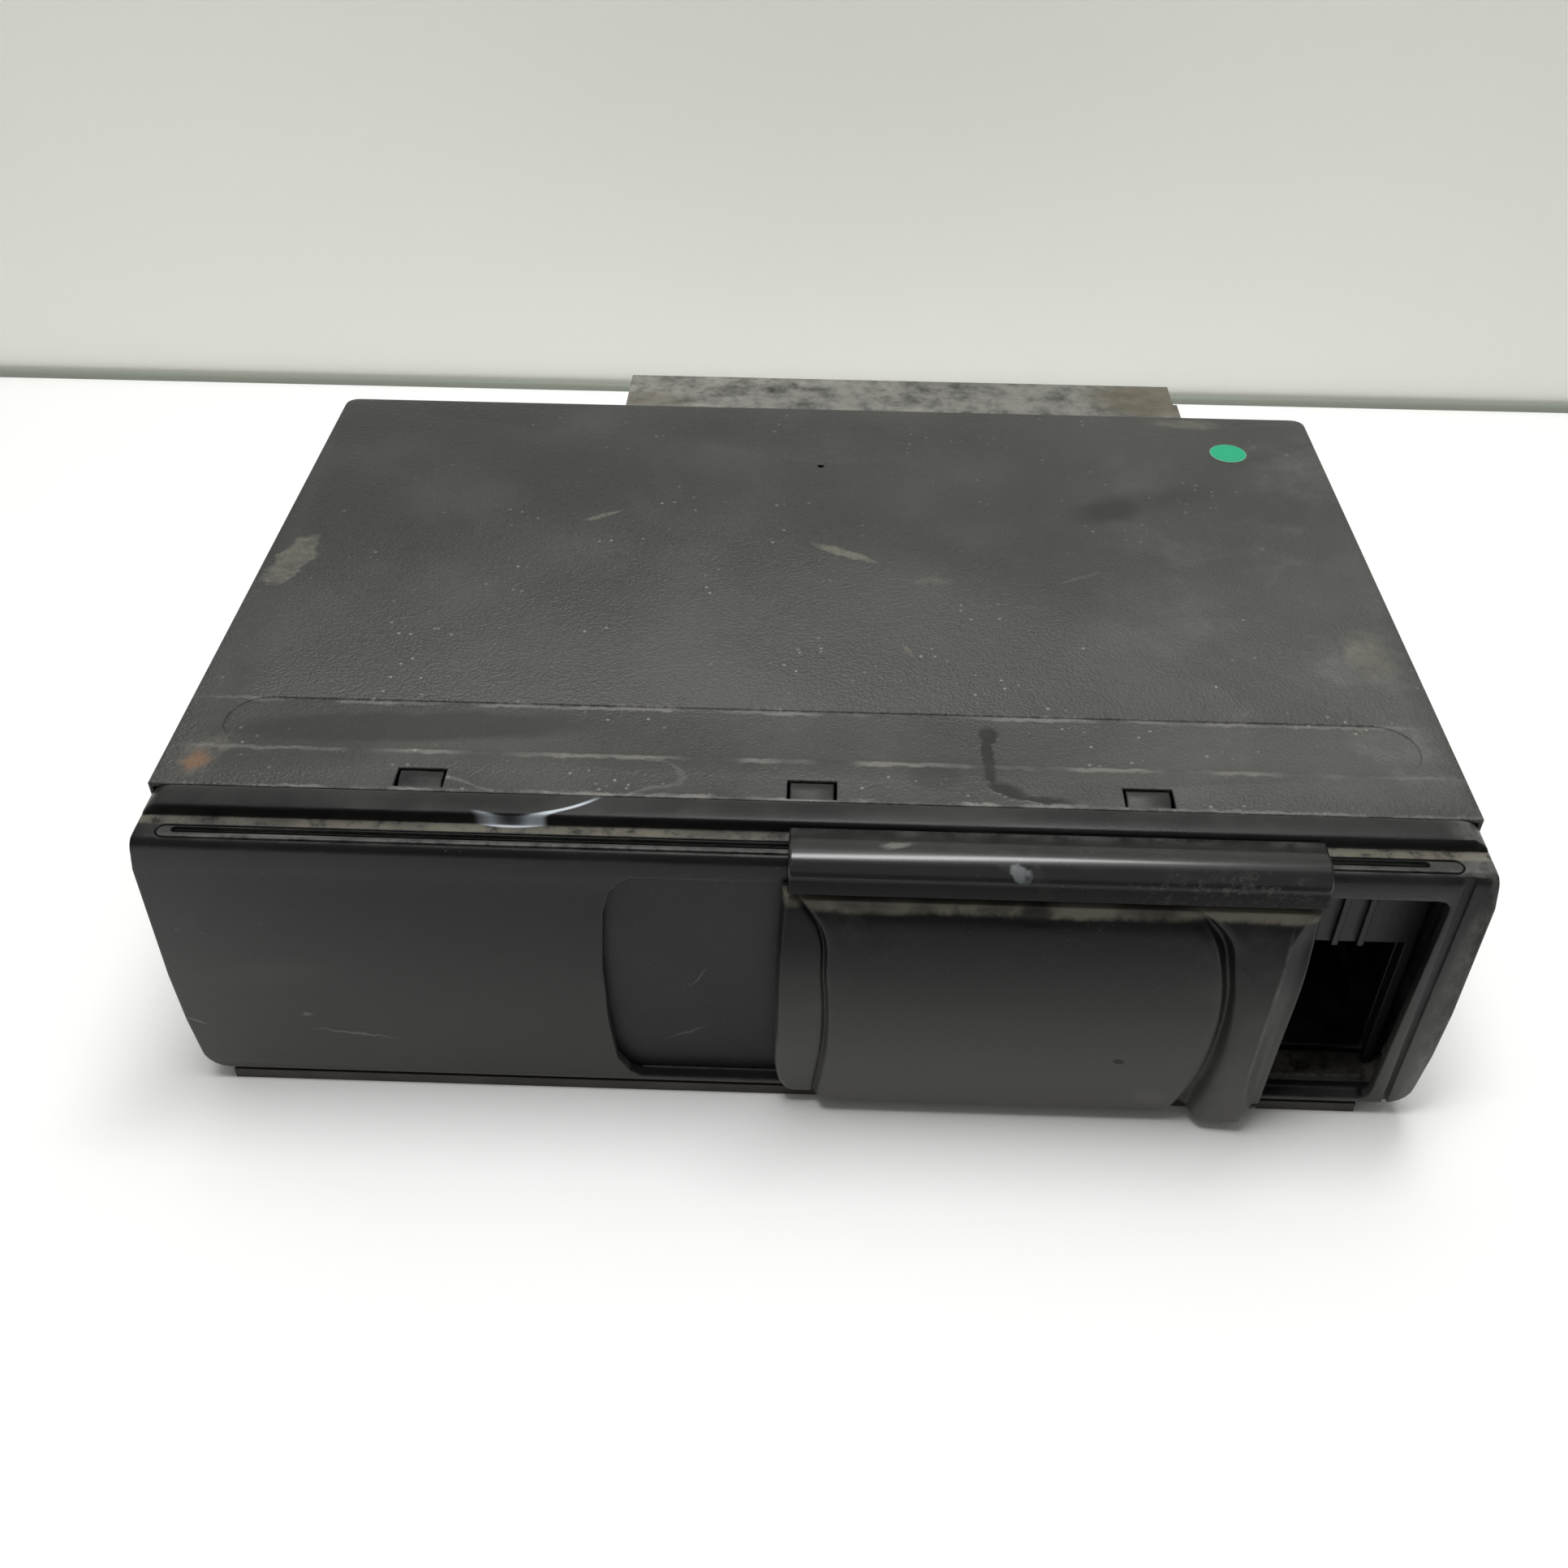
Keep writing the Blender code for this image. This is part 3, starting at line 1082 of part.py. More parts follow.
def make_rear():
    bottom = SKIRT_BOTTOM
    corner = CASE_CORNER - CASE_SHEET
    outline = rectangle((-PAN_HALF + corner, PAN_HALF - corner), (bottom, CASE_CEILING - GAP))
    window = rectangle(
        (SOCKET_LEFT - GAP, SOCKET_LEFT + SOCKET_WIDTH + GAP),
        (SOCKET_BOTTOM - GAP, SOCKET_BOTTOM + SOCKET_HEIGHT + GAP),
    )
    hole = circles_of(12, SCREW_RADIUS + SCREW_HOLE_PLAY)
    holes = [circle((x, BRACKET_SCREW_HEIGHT), hole, 12) for x in BRACKET_SCREW_PLACES]
    panel = solid("rear_panel", plate([outline, window] + holes, (REAR_FRONT, REAR_BACK), "Y"))
    paint(panel, (0.3, 0.29, 0.27), 0.45, 1.0)
    # Socket
    x = (SOCKET_LEFT, SOCKET_LEFT + SOCKET_WIDTH)
    z = (SOCKET_BOTTOM, SOCKET_BOTTOM + SOCKET_HEIGHT)
    socket = solid("data_socket", box(x, (SOCKET_FRONT, SOCKET_BACK), z))
    paint(socket, (0.02, 0.02, 0.021), 0.5)
    flange_y = (REAR_FRONT - GAP - SOCKET_FLANGE_THICKNESS, REAR_FRONT - GAP)
    flange_x = (x[0] - SOCKET_FLANGE, x[1] + SOCKET_FLANGE)
    add(socket, box(flange_x, flange_y, (z[0] - SOCKET_FLANGE, z[1] + SOCKET_FLANGE)))
    middle = (sum(x) / 2, sum(z) / 2)
    face = SOCKET_BACK - SOCKET_FACE_DEPTH
    cut(socket, rod(middle, SOCKET_BORE, (face, SOCKET_BACK + OVERRUN), "Y", 24))
    for k in range(SOCKET_PIN_COUNT):
        turn = math.tau * (k + 1) / (SOCKET_PIN_COUNT + 2) - math.tau / 4
        place = (
            middle[0] + SOCKET_PIN_CIRCLE * math.cos(turn),
            middle[1] + SOCKET_PIN_CIRCLE * math.sin(turn),
        )
        add(socket, rod(place, SOCKET_PIN_RADIUS, (face - LAP, SOCKET_BACK - SOCKET_PIN_RADIUS), "Y", 8))
    # Bracket on the rear panel
    front = CASE_BACK + GAP
    top = CASE_TOP - BRACKET_DROP
    profile = [
        (front, BRACKET_FLANGE_BOTTOM), (front + BRACKET_SHEET, BRACKET_FLANGE_BOTTOM), (
            front + BRACKET_SHEET, top - BRACKET_SHEET,
        ),
        (BRACKET_BACK, top - BRACKET_SHEET), (BRACKET_BACK, top), (front, top),
    ]
    bracket = solid("rear_bracket", plate([profile], (BRACKET_LEFT, BRACKET_RIGHT), "X"))
    paint(bracket, (0.1, 0.1, 0.095), 0.6, 0.6)
    notch_x = (BRACKET_RIGHT - BRACKET_NOTCH, BRACKET_RIGHT + OVERRUN)
    cut(
        bracket, box(notch_x, (BRACKET_NOTCH_FRONT, BRACKET_BACK + OVERRUN),
        (BRACKET_FLANGE_BOTTOM, CASE_TOP + OVERRUN)),
    )
    for x, side in zip(BRACKET_SCREW_PLACES, ("left", "right")):
        centre = (x, BRACKET_SCREW_HEIGHT)
        cut(bracket, screw_hole(centre, (front - OVERRUN, front + BRACKET_SHEET + OVERRUN), "Y"))
        depth = front + BRACKET_SHEET - REAR_FRONT + SCREW_TAIL
        fastener = solid(f"bracket_screw_{side}", screw(centre, front + BRACKET_SHEET, depth, "Y", 1))
        paint(fastener, (0.25, 0.25, 0.24), 0.35, 1.0)


def make_chassis():
    whole_y = (CHASSIS_FRONT, CHASSIS_BACK)
    chassis = solid("chassis", box((-CHASSIS_HALF, CHASSIS_HALF), whole_y, (CHASSIS_LIFT, CHASSIS_TOP)))
    paint(chassis, (0.42, 0.42, 0.41), 0.38, 1.0)
    inner_y = (CHASSIS_FRONT + CHASSIS_SHEET, CHASSIS_BACK - CHASSIS_SHEET)
    cut(chassis, box((-CHASSIS_INNER, CHASSIS_INNER), inner_y, (FLOOR_TOP, CHASSIS_TOP + OVERRUN)))
    gate_x = (FRONT_GATE_LEFT, GATE_RIGHT)
    cut(
        chassis, box(gate_x, (CHASSIS_FRONT - OVERRUN, inner_y[0] + LAP),
        (FLOOR_TOP, CHASSIS_TOP + OVERRUN)),
    )
    # Upright slots that guide the lift frame's tabs
    for y in TAB_PLACES:
        slot_z = (FLOOR_TOP + LAP, CHASSIS_TOP - CHASSIS_SHEET)
        cut(
            chassis, box((-CHASSIS_HALF - OVERRUN, -CHASSIS_INNER + LAP),
            (y - GAP, y + TAB_WIDTH + GAP), slot_z),
        )
    # Shelf of the latch, seat of the button's spring and boss of the ejector's spring
    shelf_top = BUTTON_BOTTOM + BUTTON_HEIGHT + GAP + LATCH_SHELF_HEIGHT
    shelf_x = (LATCH_PLATE_LEFT - BUTTON_TRAVEL - CHASSIS_SHEET, FRONT_GATE_LEFT + LAP - GAP * 2)
    shelf_y = (CHASSIS_FRONT + LAP, LATCH_PLATE_FRONT + LATCH_PLATE_DEPTH)
    add(chassis, box(shelf_x, shelf_y, (shelf_top - LATCH_SHELF_HEIGHT, shelf_top)))
    seat_front = STEM_END + BUTTON_TRAVEL + GAP
    middle = BUTTON_LEFT + BUTTON_WIDTH / 2
    seat_x = (middle - SEAT_TAB_WIDTH / 2, middle + SEAT_TAB_WIDTH / 2)
    add(
        chassis, box(seat_x, (seat_front, seat_front + CHASSIS_SHEET),
        (FLOOR_TOP - LAP, SEAT_TAB_HEIGHT)),
    )
    boss_top = FLOOR_TOP + EJECT_SPRING_HEIGHT + CHASSIS_SHEET
    add(chassis, rod(EJECT_SPRING_PLACE, EJECT_BOSS_RADIUS, (FLOOR_TOP - LAP, boss_top), "Z", 16))
    for number, place in enumerate(BOSS_PLACES, 1):
        cut(chassis, screw_hole(place, (CHASSIS_LIFT - OVERRUN, FLOOR_TOP + OVERRUN)))
        fastener = solid(
            f"chassis_screw_{number}", screw(place, FLOOR_TOP, FLOOR_TOP - PAN_FLOOR - GAP * 3),
        )
        paint(fastener, (0.6, 0.58, 0.5), 0.3, 1.0)


def make_bay():
    bottom = FLOOR_TOP + GAP
    top = LEDGE_UNDER - GAP
    right = CHASSIS_INNER - SLOT_FRAME_INSET
    slot_right = CHASSIS_INNER - SLOT_RIGHT_INSET
    outline = [
        (SLOT_FRAME_LEFT, bottom), (BAY_LEFT, bottom), (BAY_LEFT, SLOT_TOP), (slot_right, SLOT_TOP),
        (slot_right, bottom), (right, bottom), (right, top), (SLOT_FRAME_LEFT, top),
    ]
    button_x = (BUTTON_LEFT - GAP, BUTTON_LEFT + BUTTON_WIDTH + GAP)
    button_z = (BUTTON_BOTTOM - GAP, BUTTON_BOTTOM + BUTTON_HEIGHT + GAP)
    sheet = (SLOT_FRAME_FRONT, SLOT_FRAME_FRONT + SLOT_FRAME_THICKNESS)
    frame = solid("magazine_slot_frame", plate([outline, rectangle(button_x, button_z)], sheet, "Y"))
    paint(frame, (0.035, 0.036, 0.037), 0.5)
    rib_y = (SLOT_FRAME_FRONT - FRAME_RIB_DEPTH, SLOT_FRAME_FRONT + LAP)
    for inset in FRAME_RIB_INSETS:
        x = slot_right - inset
        add(frame, box((x, x + FRAME_RIB_WIDTH), rib_y, (SLOT_TOP, top - LAP)))
    rail_z = (bottom, bottom + RAIL_BAR_HEIGHT)
    rail_y = (RAIL_START, RAIL_END)
    left_rail = solid("magazine_rail_left", box((BAY_LEFT - RAIL_BAR, BAY_LEFT), rail_y, rail_z))
    right_edge = CHASSIS_INNER - GAP
    right_rail = solid("magazine_rail_right", box((right_edge - RAIL_BAR, right_edge), rail_y, rail_z))
    for rail in (left_rail, right_rail):
        paint(rail, (0.55, 0.55, 0.53), 0.5)
    roof_bottom = CHASSIS_TOP + GAP
    roof_top = roof_bottom + ROOF_SHEET
    lip = [
        (ROOF_LEFT, roof_bottom), (CHASSIS_HALF, roof_bottom), (CHASSIS_HALF, roof_top),
        (ROOF_LEFT + ROOF_SHEET, roof_top), (ROOF_LEFT + ROOF_SHEET, roof_top + POST_RADIUS),
            (ROOF_LEFT, roof_top + POST_RADIUS),
    ]
    roof = solid("bay_roof", plate([lip], (CHASSIS_FRONT, CHASSIS_BACK), "Y"))
    paint(roof, (0.45, 0.45, 0.44), 0.38, 1.0)
    # Pressed posts that carry the main board
    for x in (BOARD_LEFT + POST_INSET, BOARD_RIGHT - POST_INSET):
        for y in (BOARD_FRONT + POST_INSET, BOARD_BACK - POST_INSET):
            add(roof, rod((x, y), POST_RADIUS, (roof_top - LAP, BOARD_BOTTOM - GAP), "Z", 6))


def make_eject():
    x = (BUTTON_LEFT, BUTTON_LEFT + BUTTON_WIDTH)
    z = (BUTTON_BOTTOM, BUTTON_BOTTOM + BUTTON_HEIGHT)
    middle = (sum(x) / 2, sum(z) / 2)
    button = solid(
        "eject_button", plate([rounded(x, z, BUTTON_EDGE, 2)], (BUTTON_FRONT, BUTTON_BACK), "Y",
        (BUTTON_EDGE / 2, 2)),
    )
    paint(button, (0.04, 0.04, 0.042), 0.45)
    half = STEM_WIDTH / 2
    stem = box(
        (middle[0] - half, middle[0] + half), (BUTTON_BACK - LAP, STEM_END),
        (middle[1] - half, middle[1] + half),
    )
    add(button, stem)
    seat = STEM_END + BUTTON_TRAVEL + GAP
    span = (BUTTON_BACK + BUTTON_TRAVEL + GAP, seat - GAP)
    spring = solid("button_spring", ring(middle, SPRING_INNER, SPRING_OUTER, span, "Y", 16))
    paint(spring, (0.6, 0.6, 0.6), 0.3, 1.0)
    low = z[1] + GAP + LATCH_SHELF_HEIGHT + GAP
    nose = LATCH_PLATE_FRONT + LATCH_PLATE_DEPTH / 2
    back = LATCH_PLATE_FRONT + LATCH_PLATE_DEPTH
    outline = [
        (LATCH_PLATE_LEFT, LATCH_PLATE_FRONT), (LATCH_PLATE_RIGHT - LATCH_NOSE, LATCH_PLATE_FRONT),
        (LATCH_PLATE_RIGHT, nose), (LATCH_PLATE_RIGHT, back), (LATCH_PLATE_LEFT, back),
    ]
    latch = solid("magazine_latch", plate([outline], (low, low + LATCH_PLATE_THICKNESS), "Z"))
    paint(latch, (0.5, 0.5, 0.48), 0.4, 1.0)
    floor = FLOOR_TOP + GAP
    profile = [
        (PUSHER_FRONT, floor), (PUSHER_FRONT + PUSHER_FOOT, floor), (
            PUSHER_FRONT + PUSHER_FOOT, floor + PUSHER_THICKNESS,
        ),
        (PUSHER_FRONT + PUSHER_THICKNESS, floor + PUSHER_THICKNESS), (
            PUSHER_FRONT + PUSHER_THICKNESS, floor + PUSHER_HEIGHT,
        ),
        (PUSHER_FRONT, floor + PUSHER_HEIGHT),
    ]
    pusher = solid("ejector", plate([profile], (PUSHER_LEFT, PUSHER_RIGHT), "X"))
    paint(pusher, (0.7, 0.7, 0.68), 0.5)
    coil = ring(
        EJECT_SPRING_PLACE, EJECT_SPRING_INNER, EJECT_SPRING_OUTER,
        (floor, floor + EJECT_SPRING_HEIGHT), "Z", 20,
    )
    paint(solid("ejector_spring", coil), (0.6, 0.6, 0.6), 0.3, 1.0)


def capsule(first, second, radius, steps=6):
    """The outline of a slot between two points."""
    turn = math.degrees(math.atan2(second[1] - first[1], second[0] - first[0]))
    return arc(second, radius, turn - 90, turn + 90, steps) + arc(
        first, radius, turn + 90, turn + 270, steps,
    )


def make_cam():
    floor = FLOOR_TOP + GAP
    slots = [
        capsule((x, PIN_HEIGHT), (x + CAM_RUN, PIN_HEIGHT + LIFT_TRAVEL), PIN_RADIUS + GAP)
        for x in PIN_PLACES
    ]
    middles = [GEAR_PLACE + math.pi * MODULE * k for k in range(-2, RACK_TEETH - 2)]
    pitch_line = CAM_TOP + MODULE * DEDENDUM_SHARE
    teeth = rack_points(MODULE, middles, pitch_line, 1)
    front = [(CAM_LEFT, floor), (CAM_RIGHT, floor),
        (CAM_RIGHT, CAM_TOP)] + teeth[::-1] + [(CAM_LEFT, CAM_TOP)]
    cam = solid("cam_slide", plate([front] + slots, (CAM_FRONT, CAM_FRONT + CAM_SHEET), "Y"))
    paint(cam, (0.5, 0.5, 0.49), 0.35, 1.0)
    strip_y = (CAM_FRONT + CAM_SHEET / 2, CAM_REAR + CAM_SHEET / 2)
    add(cam, box((CAM_LEFT + LAP, CAM_LEFT + CAM_STRIP), strip_y, (floor, floor + CAM_STRIP_THICKNESS)))
    rear = rectangle((CAM_LEFT, CAM_RIGHT), (floor, CAM_TOP))
    add(cam, plate([rear] + slots, (CAM_REAR, CAM_REAR + CAM_SHEET), "Y"))


def make_lift_drive():
    axis_z = CAM_TOP + MODULE * DEDENDUM_SHARE + MODULE * PINION_TEETH / 2
    centre = (GEAR_PLACE, axis_z)
    reach = MODULE * (GEAR_TEETH + MOTOR_TEETH) / 2
    run = math.sqrt(reach ** 2 - LIFT_MOTOR_RISE ** 2)
    motor = (GEAR_PLACE - run, axis_z + LIFT_MOTOR_RISE)
    facing = math.degrees(math.atan2(LIFT_MOTOR_RISE, -run))
    gear_y = (GEAR_FRONT, GEAR_FRONT + GEAR_THICKNESS)
    bore = circle(centre, circles_of(20, AXLE_RADIUS + GAP), 20)
    wheel = plate([gear_outline(centre, GEAR_TEETH, MODULE, facing), bore], gear_y, "Y")
    gear = solid("lift_gear", wheel, origin=(centre[0], gear_y[0], centre[1]))
    small = gear_outline(centre, PINION_TEETH, MODULE, 180 / PINION_TEETH - 90)
    small_y = (gear_y[1] - LAP, CAM_FRONT + CAM_SHEET + PINION_OVERHANG)
    add(gear, plate([small, bore], small_y, "Y"))
    paint(gear, (0.8, 0.8, 0.76), 0.5)
    drive_tooth = facing + 180 + 180 / MOTOR_TEETH
    pinion = solid(
        "motor_pinion", plate([gear_outline(motor, MOTOR_TEETH, MODULE, drive_tooth)], gear_y, "Y"),
        origin=(motor[0], gear_y[0], motor[1]),
    )
    paint(pinion, (0.7, 0.55, 0.25), 0.35, 1.0)
    plate_y = CAM_FRONT + GAP
    motor_face = plate_y + MOTOR_PLATE + GAP
    shaft_end = motor_face + GAP
    add(pinion, rod(motor, MOTOR_SHAFT, (gear_y[0] - LAP, shaft_end), "Y", 12))
    # The motor stands behind its plate, with its collar in the plate's hole
    can = (
        (0, shaft_end + GAP - motor_face), (MOTOR_SHAFT + GAP, shaft_end + GAP - motor_face),
        (MOTOR_SHAFT + GAP, -MOTOR_PLATE), (MOTOR_COLLAR, -MOTOR_PLATE), (MOTOR_COLLAR, 0),
        (LIFT_MOTOR_RADIUS, 0), (LIFT_MOTOR_RADIUS, LIFT_MOTOR_LENGTH), (0, LIFT_MOTOR_LENGTH),
    )
    lift_motor = solid("lift_motor", turned(can, motor, motor_face, "Y", 24))
    paint(lift_motor, (0.55, 0.55, 0.54), 0.3, 1.0)
    left = motor[0] - MOTOR_PLATE_HALF
    right = motor[0] + MOTOR_PLATE_HALF
    low = motor[1] - MOTOR_PLATE_HALF
    high = motor[1] + MOTOR_PLATE_HALF
    front_y = gear_y[0] - DRIVE_FRONT_GAP - MOTOR_PLATE
    bracket = solid(
        "drive_bracket", box((left, left + MOTOR_PLATE), (front_y, plate_y + MOTOR_PLATE), (low, high)),
    )
    paint(bracket, (0.45, 0.45, 0.44), 0.38, 1.0)
    hole = circle(motor, circles_of(20, MOTOR_COLLAR + GAP), 20)
    add(
        bracket, plate([rectangle((left + LAP, right), (low, high)), hole],
        (plate_y, plate_y + MOTOR_PLATE), "Y"),
    )
    axle_hole = circle(centre, circles_of(16, AXLE_RADIUS + GAP), 16)
    arm_right = centre[0] + AXLE_RADIUS + DRIVE_ARM_MARGIN
    arm = [
        (left, DRIVE_FOOT_BOTTOM), (left + DRIVE_FOOT_WIDTH, DRIVE_FOOT_BOTTOM),
            (left + DRIVE_FOOT_WIDTH, low),
        (arm_right, low), (arm_right, high), (left, high),
    ]
    add(bracket, plate([arm, axle_hole], (front_y, front_y + MOTOR_PLATE), "Y"))
    foot_y = (CHASSIS_FRONT + CHASSIS_SHEET + GAP, front_y + LAP)
    add(bracket, box((left, left + DRIVE_FOOT_WIDTH), foot_y, (DRIVE_FOOT_BOTTOM, CHASSIS_TOP)))
    axle_y = (front_y - GAP, small_y[1] + LAP)
    axle = solid("gear_axle", rod(centre, AXLE_RADIUS, axle_y, "Y", 16))
    paint(axle, (0.7, 0.7, 0.7), 0.25, 1.0)
    add(axle, rod(centre, AXLE_RADIUS + LAP, (axle_y[0] - MOTOR_PLATE, axle_y[0] + GAP / 3), "Y", 16))


def make_lift_frame():
    low = LIFT_BOTTOM
    high = LIFT_BOTTOM + LIFT_SHEET
    rim = low + LIFT_FLANGE_HEIGHT
    inner_y = (LIFT_FRONT + LIFT_SHEET, LIFT_BACK - LIFT_SHEET)
    profile = [
        (LIFT_FRONT, low), (LIFT_BACK, low), (LIFT_BACK, rim), (inner_y[1], rim),
        (inner_y[1], high), (inner_y[0], high), (inner_y[0], rim), (LIFT_FRONT, rim),
    ]
    frame = solid("lift_frame", plate([profile], (LIFT_LEFT, LIFT_RIGHT), "X"))
    paint(frame, (0.48, 0.48, 0.47), 0.36, 1.0)
    window_x = (LIFT_LEFT + LIFT_RING, LIFT_RIGHT - LIFT_RING)
    window_y = (LIFT_FRONT + LIFT_RING, LIFT_BACK - LIFT_RING)
    cut(frame, box(window_x, window_y, (low - OVERRUN, high + OVERRUN)))
    for x in PIN_PLACES:
        add(frame, rod((x, PIN_HEIGHT), PIN_RADIUS, (CAM_FRONT - GAP, LIFT_FRONT + LAP), "Y", 16))
        add(
            frame, rod((x, PIN_HEIGHT), PIN_RADIUS, (LIFT_BACK - LAP, CAM_REAR + CAM_SHEET + GAP), "Y",
            16),
        )
    inset = LAP / 5
    for y in TAB_PLACES:
        add(
            frame, box((-CHASSIS_HALF + GAP, LIFT_LEFT + LAP), (y, y + TAB_WIDTH),
            (low + inset, high - inset)),
        )
    post_y = (LIFT_BACK - LIFT_SHEET + inset, LIFT_BACK - inset)
    post_z = (rim - LAP, LOAD_PLATE_BOTTOM - GAP)
    add(frame, box((LOAD_PLATE_LEFT, LOAD_PLATE_LEFT + LOAD_POST_WIDTH), post_y, post_z))
    add(frame, box((LOAD_PLATE_RIGHT - LOAD_POST_WIDTH, LOAD_PLATE_RIGHT), post_y, post_z))


def make_loading():
    bottom = LOAD_PLATE_BOTTOM
    top = bottom + LIFT_SHEET
    slot_y = PULLER_FRONT + PULLER_ROOT / 2
    first = PULLER_LEFT + PULLER_PIN_INSETS[0] - PULLER_TRAVEL
    last = PULLER_LEFT + PULLER_PIN_INSETS[1]
    slot = capsule((first, slot_y), (last, slot_y), PULLER_PIN_RADIUS + GAP)
    pitch_line = PULLER_FRONT + PULLER_ROOT + SMALL_MODULE * DEDENDUM_SHARE
    pinion = (LOAD_PINION_PLACE, pitch_line + SMALL_MODULE * PINION_TEETH / 2)
    hole = circle(pinion, circles_of(16, MOTOR_SHAFT + GAP), 16)
    outline = rectangle((LOAD_PLATE_LEFT, LOAD_PLATE_RIGHT), (LOAD_PLATE_FRONT, LIFT_BACK))
    sheet = solid("loading_plate", plate([outline, slot, hole], (bottom, top), "Z"))
    paint(sheet, (0.48, 0.48, 0.47), 0.36, 1.0)
    puller_z = (bottom - GAP - PULLER_THICKNESS, bottom - GAP)
    right = PULLER_LEFT + PULLER_LENGTH
    middles = [LOAD_PINION_PLACE + math.pi * SMALL_MODULE * k for k in range(-1, RACK_TEETH - 1)]
    teeth = rack_points(SMALL_MODULE, middles, pitch_line, 1)
    back = PULLER_FRONT + PULLER_ROOT
    outline = [
        (PULLER_LEFT, PULLER_FRONT), (right - PULLER_HOOK, PULLER_FRONT), (
            right - PULLER_HOOK, PULLER_FRONT - PULLER_HOOK_REACH,
        ),
        (right, PULLER_FRONT - PULLER_HOOK_REACH), (right, back),
    ] + teeth[::-1] + [(PULLER_LEFT, back)]
    puller = solid("tray_puller", plate([outline], puller_z, "Z"))
    paint(puller, (0.8, 0.8, 0.77), 0.5)
    for inset in PULLER_PIN_INSETS:
        pin = (
            (0, -LAP), (PULLER_PIN_RADIUS, -LAP), (PULLER_PIN_RADIUS, LIFT_SHEET + GAP * 2),
                (PULLER_PIN_HEAD, LIFT_SHEET + GAP * 2),
            (PULLER_PIN_HEAD, LIFT_SHEET + GAP * 2 + PULLER_PIN_RADIUS / 2), (
                0, LIFT_SHEET + GAP * 2 + PULLER_PIN_RADIUS / 2,
            ),
        )
        add(puller, turned(pin, (PULLER_LEFT + inset, slot_y), puller_z[1], "Z", 12))
    outline = gear_outline(pinion, PINION_TEETH, SMALL_MODULE, 180 / PINION_TEETH - 90)
    wheel = solid(
        "loading_pinion", plate([outline], puller_z, "Z"), origin=(pinion[0], pinion[1], puller_z[0]),
    )
    paint(wheel, (0.7, 0.55, 0.25), 0.35, 1.0)
    shaft_top = top + GAP * 2
    add(wheel, rod(pinion, MOTOR_SHAFT, (puller_z[1] - LAP, shaft_top), "Z", 12))
    can = (
        (0, shaft_top - top), (MOTOR_SHAFT + GAP, shaft_top - top), (MOTOR_SHAFT + GAP, 0),
        (LOAD_MOTOR_RADIUS, 0), (LOAD_MOTOR_RADIUS, LOAD_MOTOR_HEIGHT), (0, LOAD_MOTOR_HEIGHT),
    )
    motor = solid("loading_motor", turned(can, pinion, top + GAP, "Z", 20))
    paint(motor, (0.55, 0.55, 0.54), 0.3, 1.0)


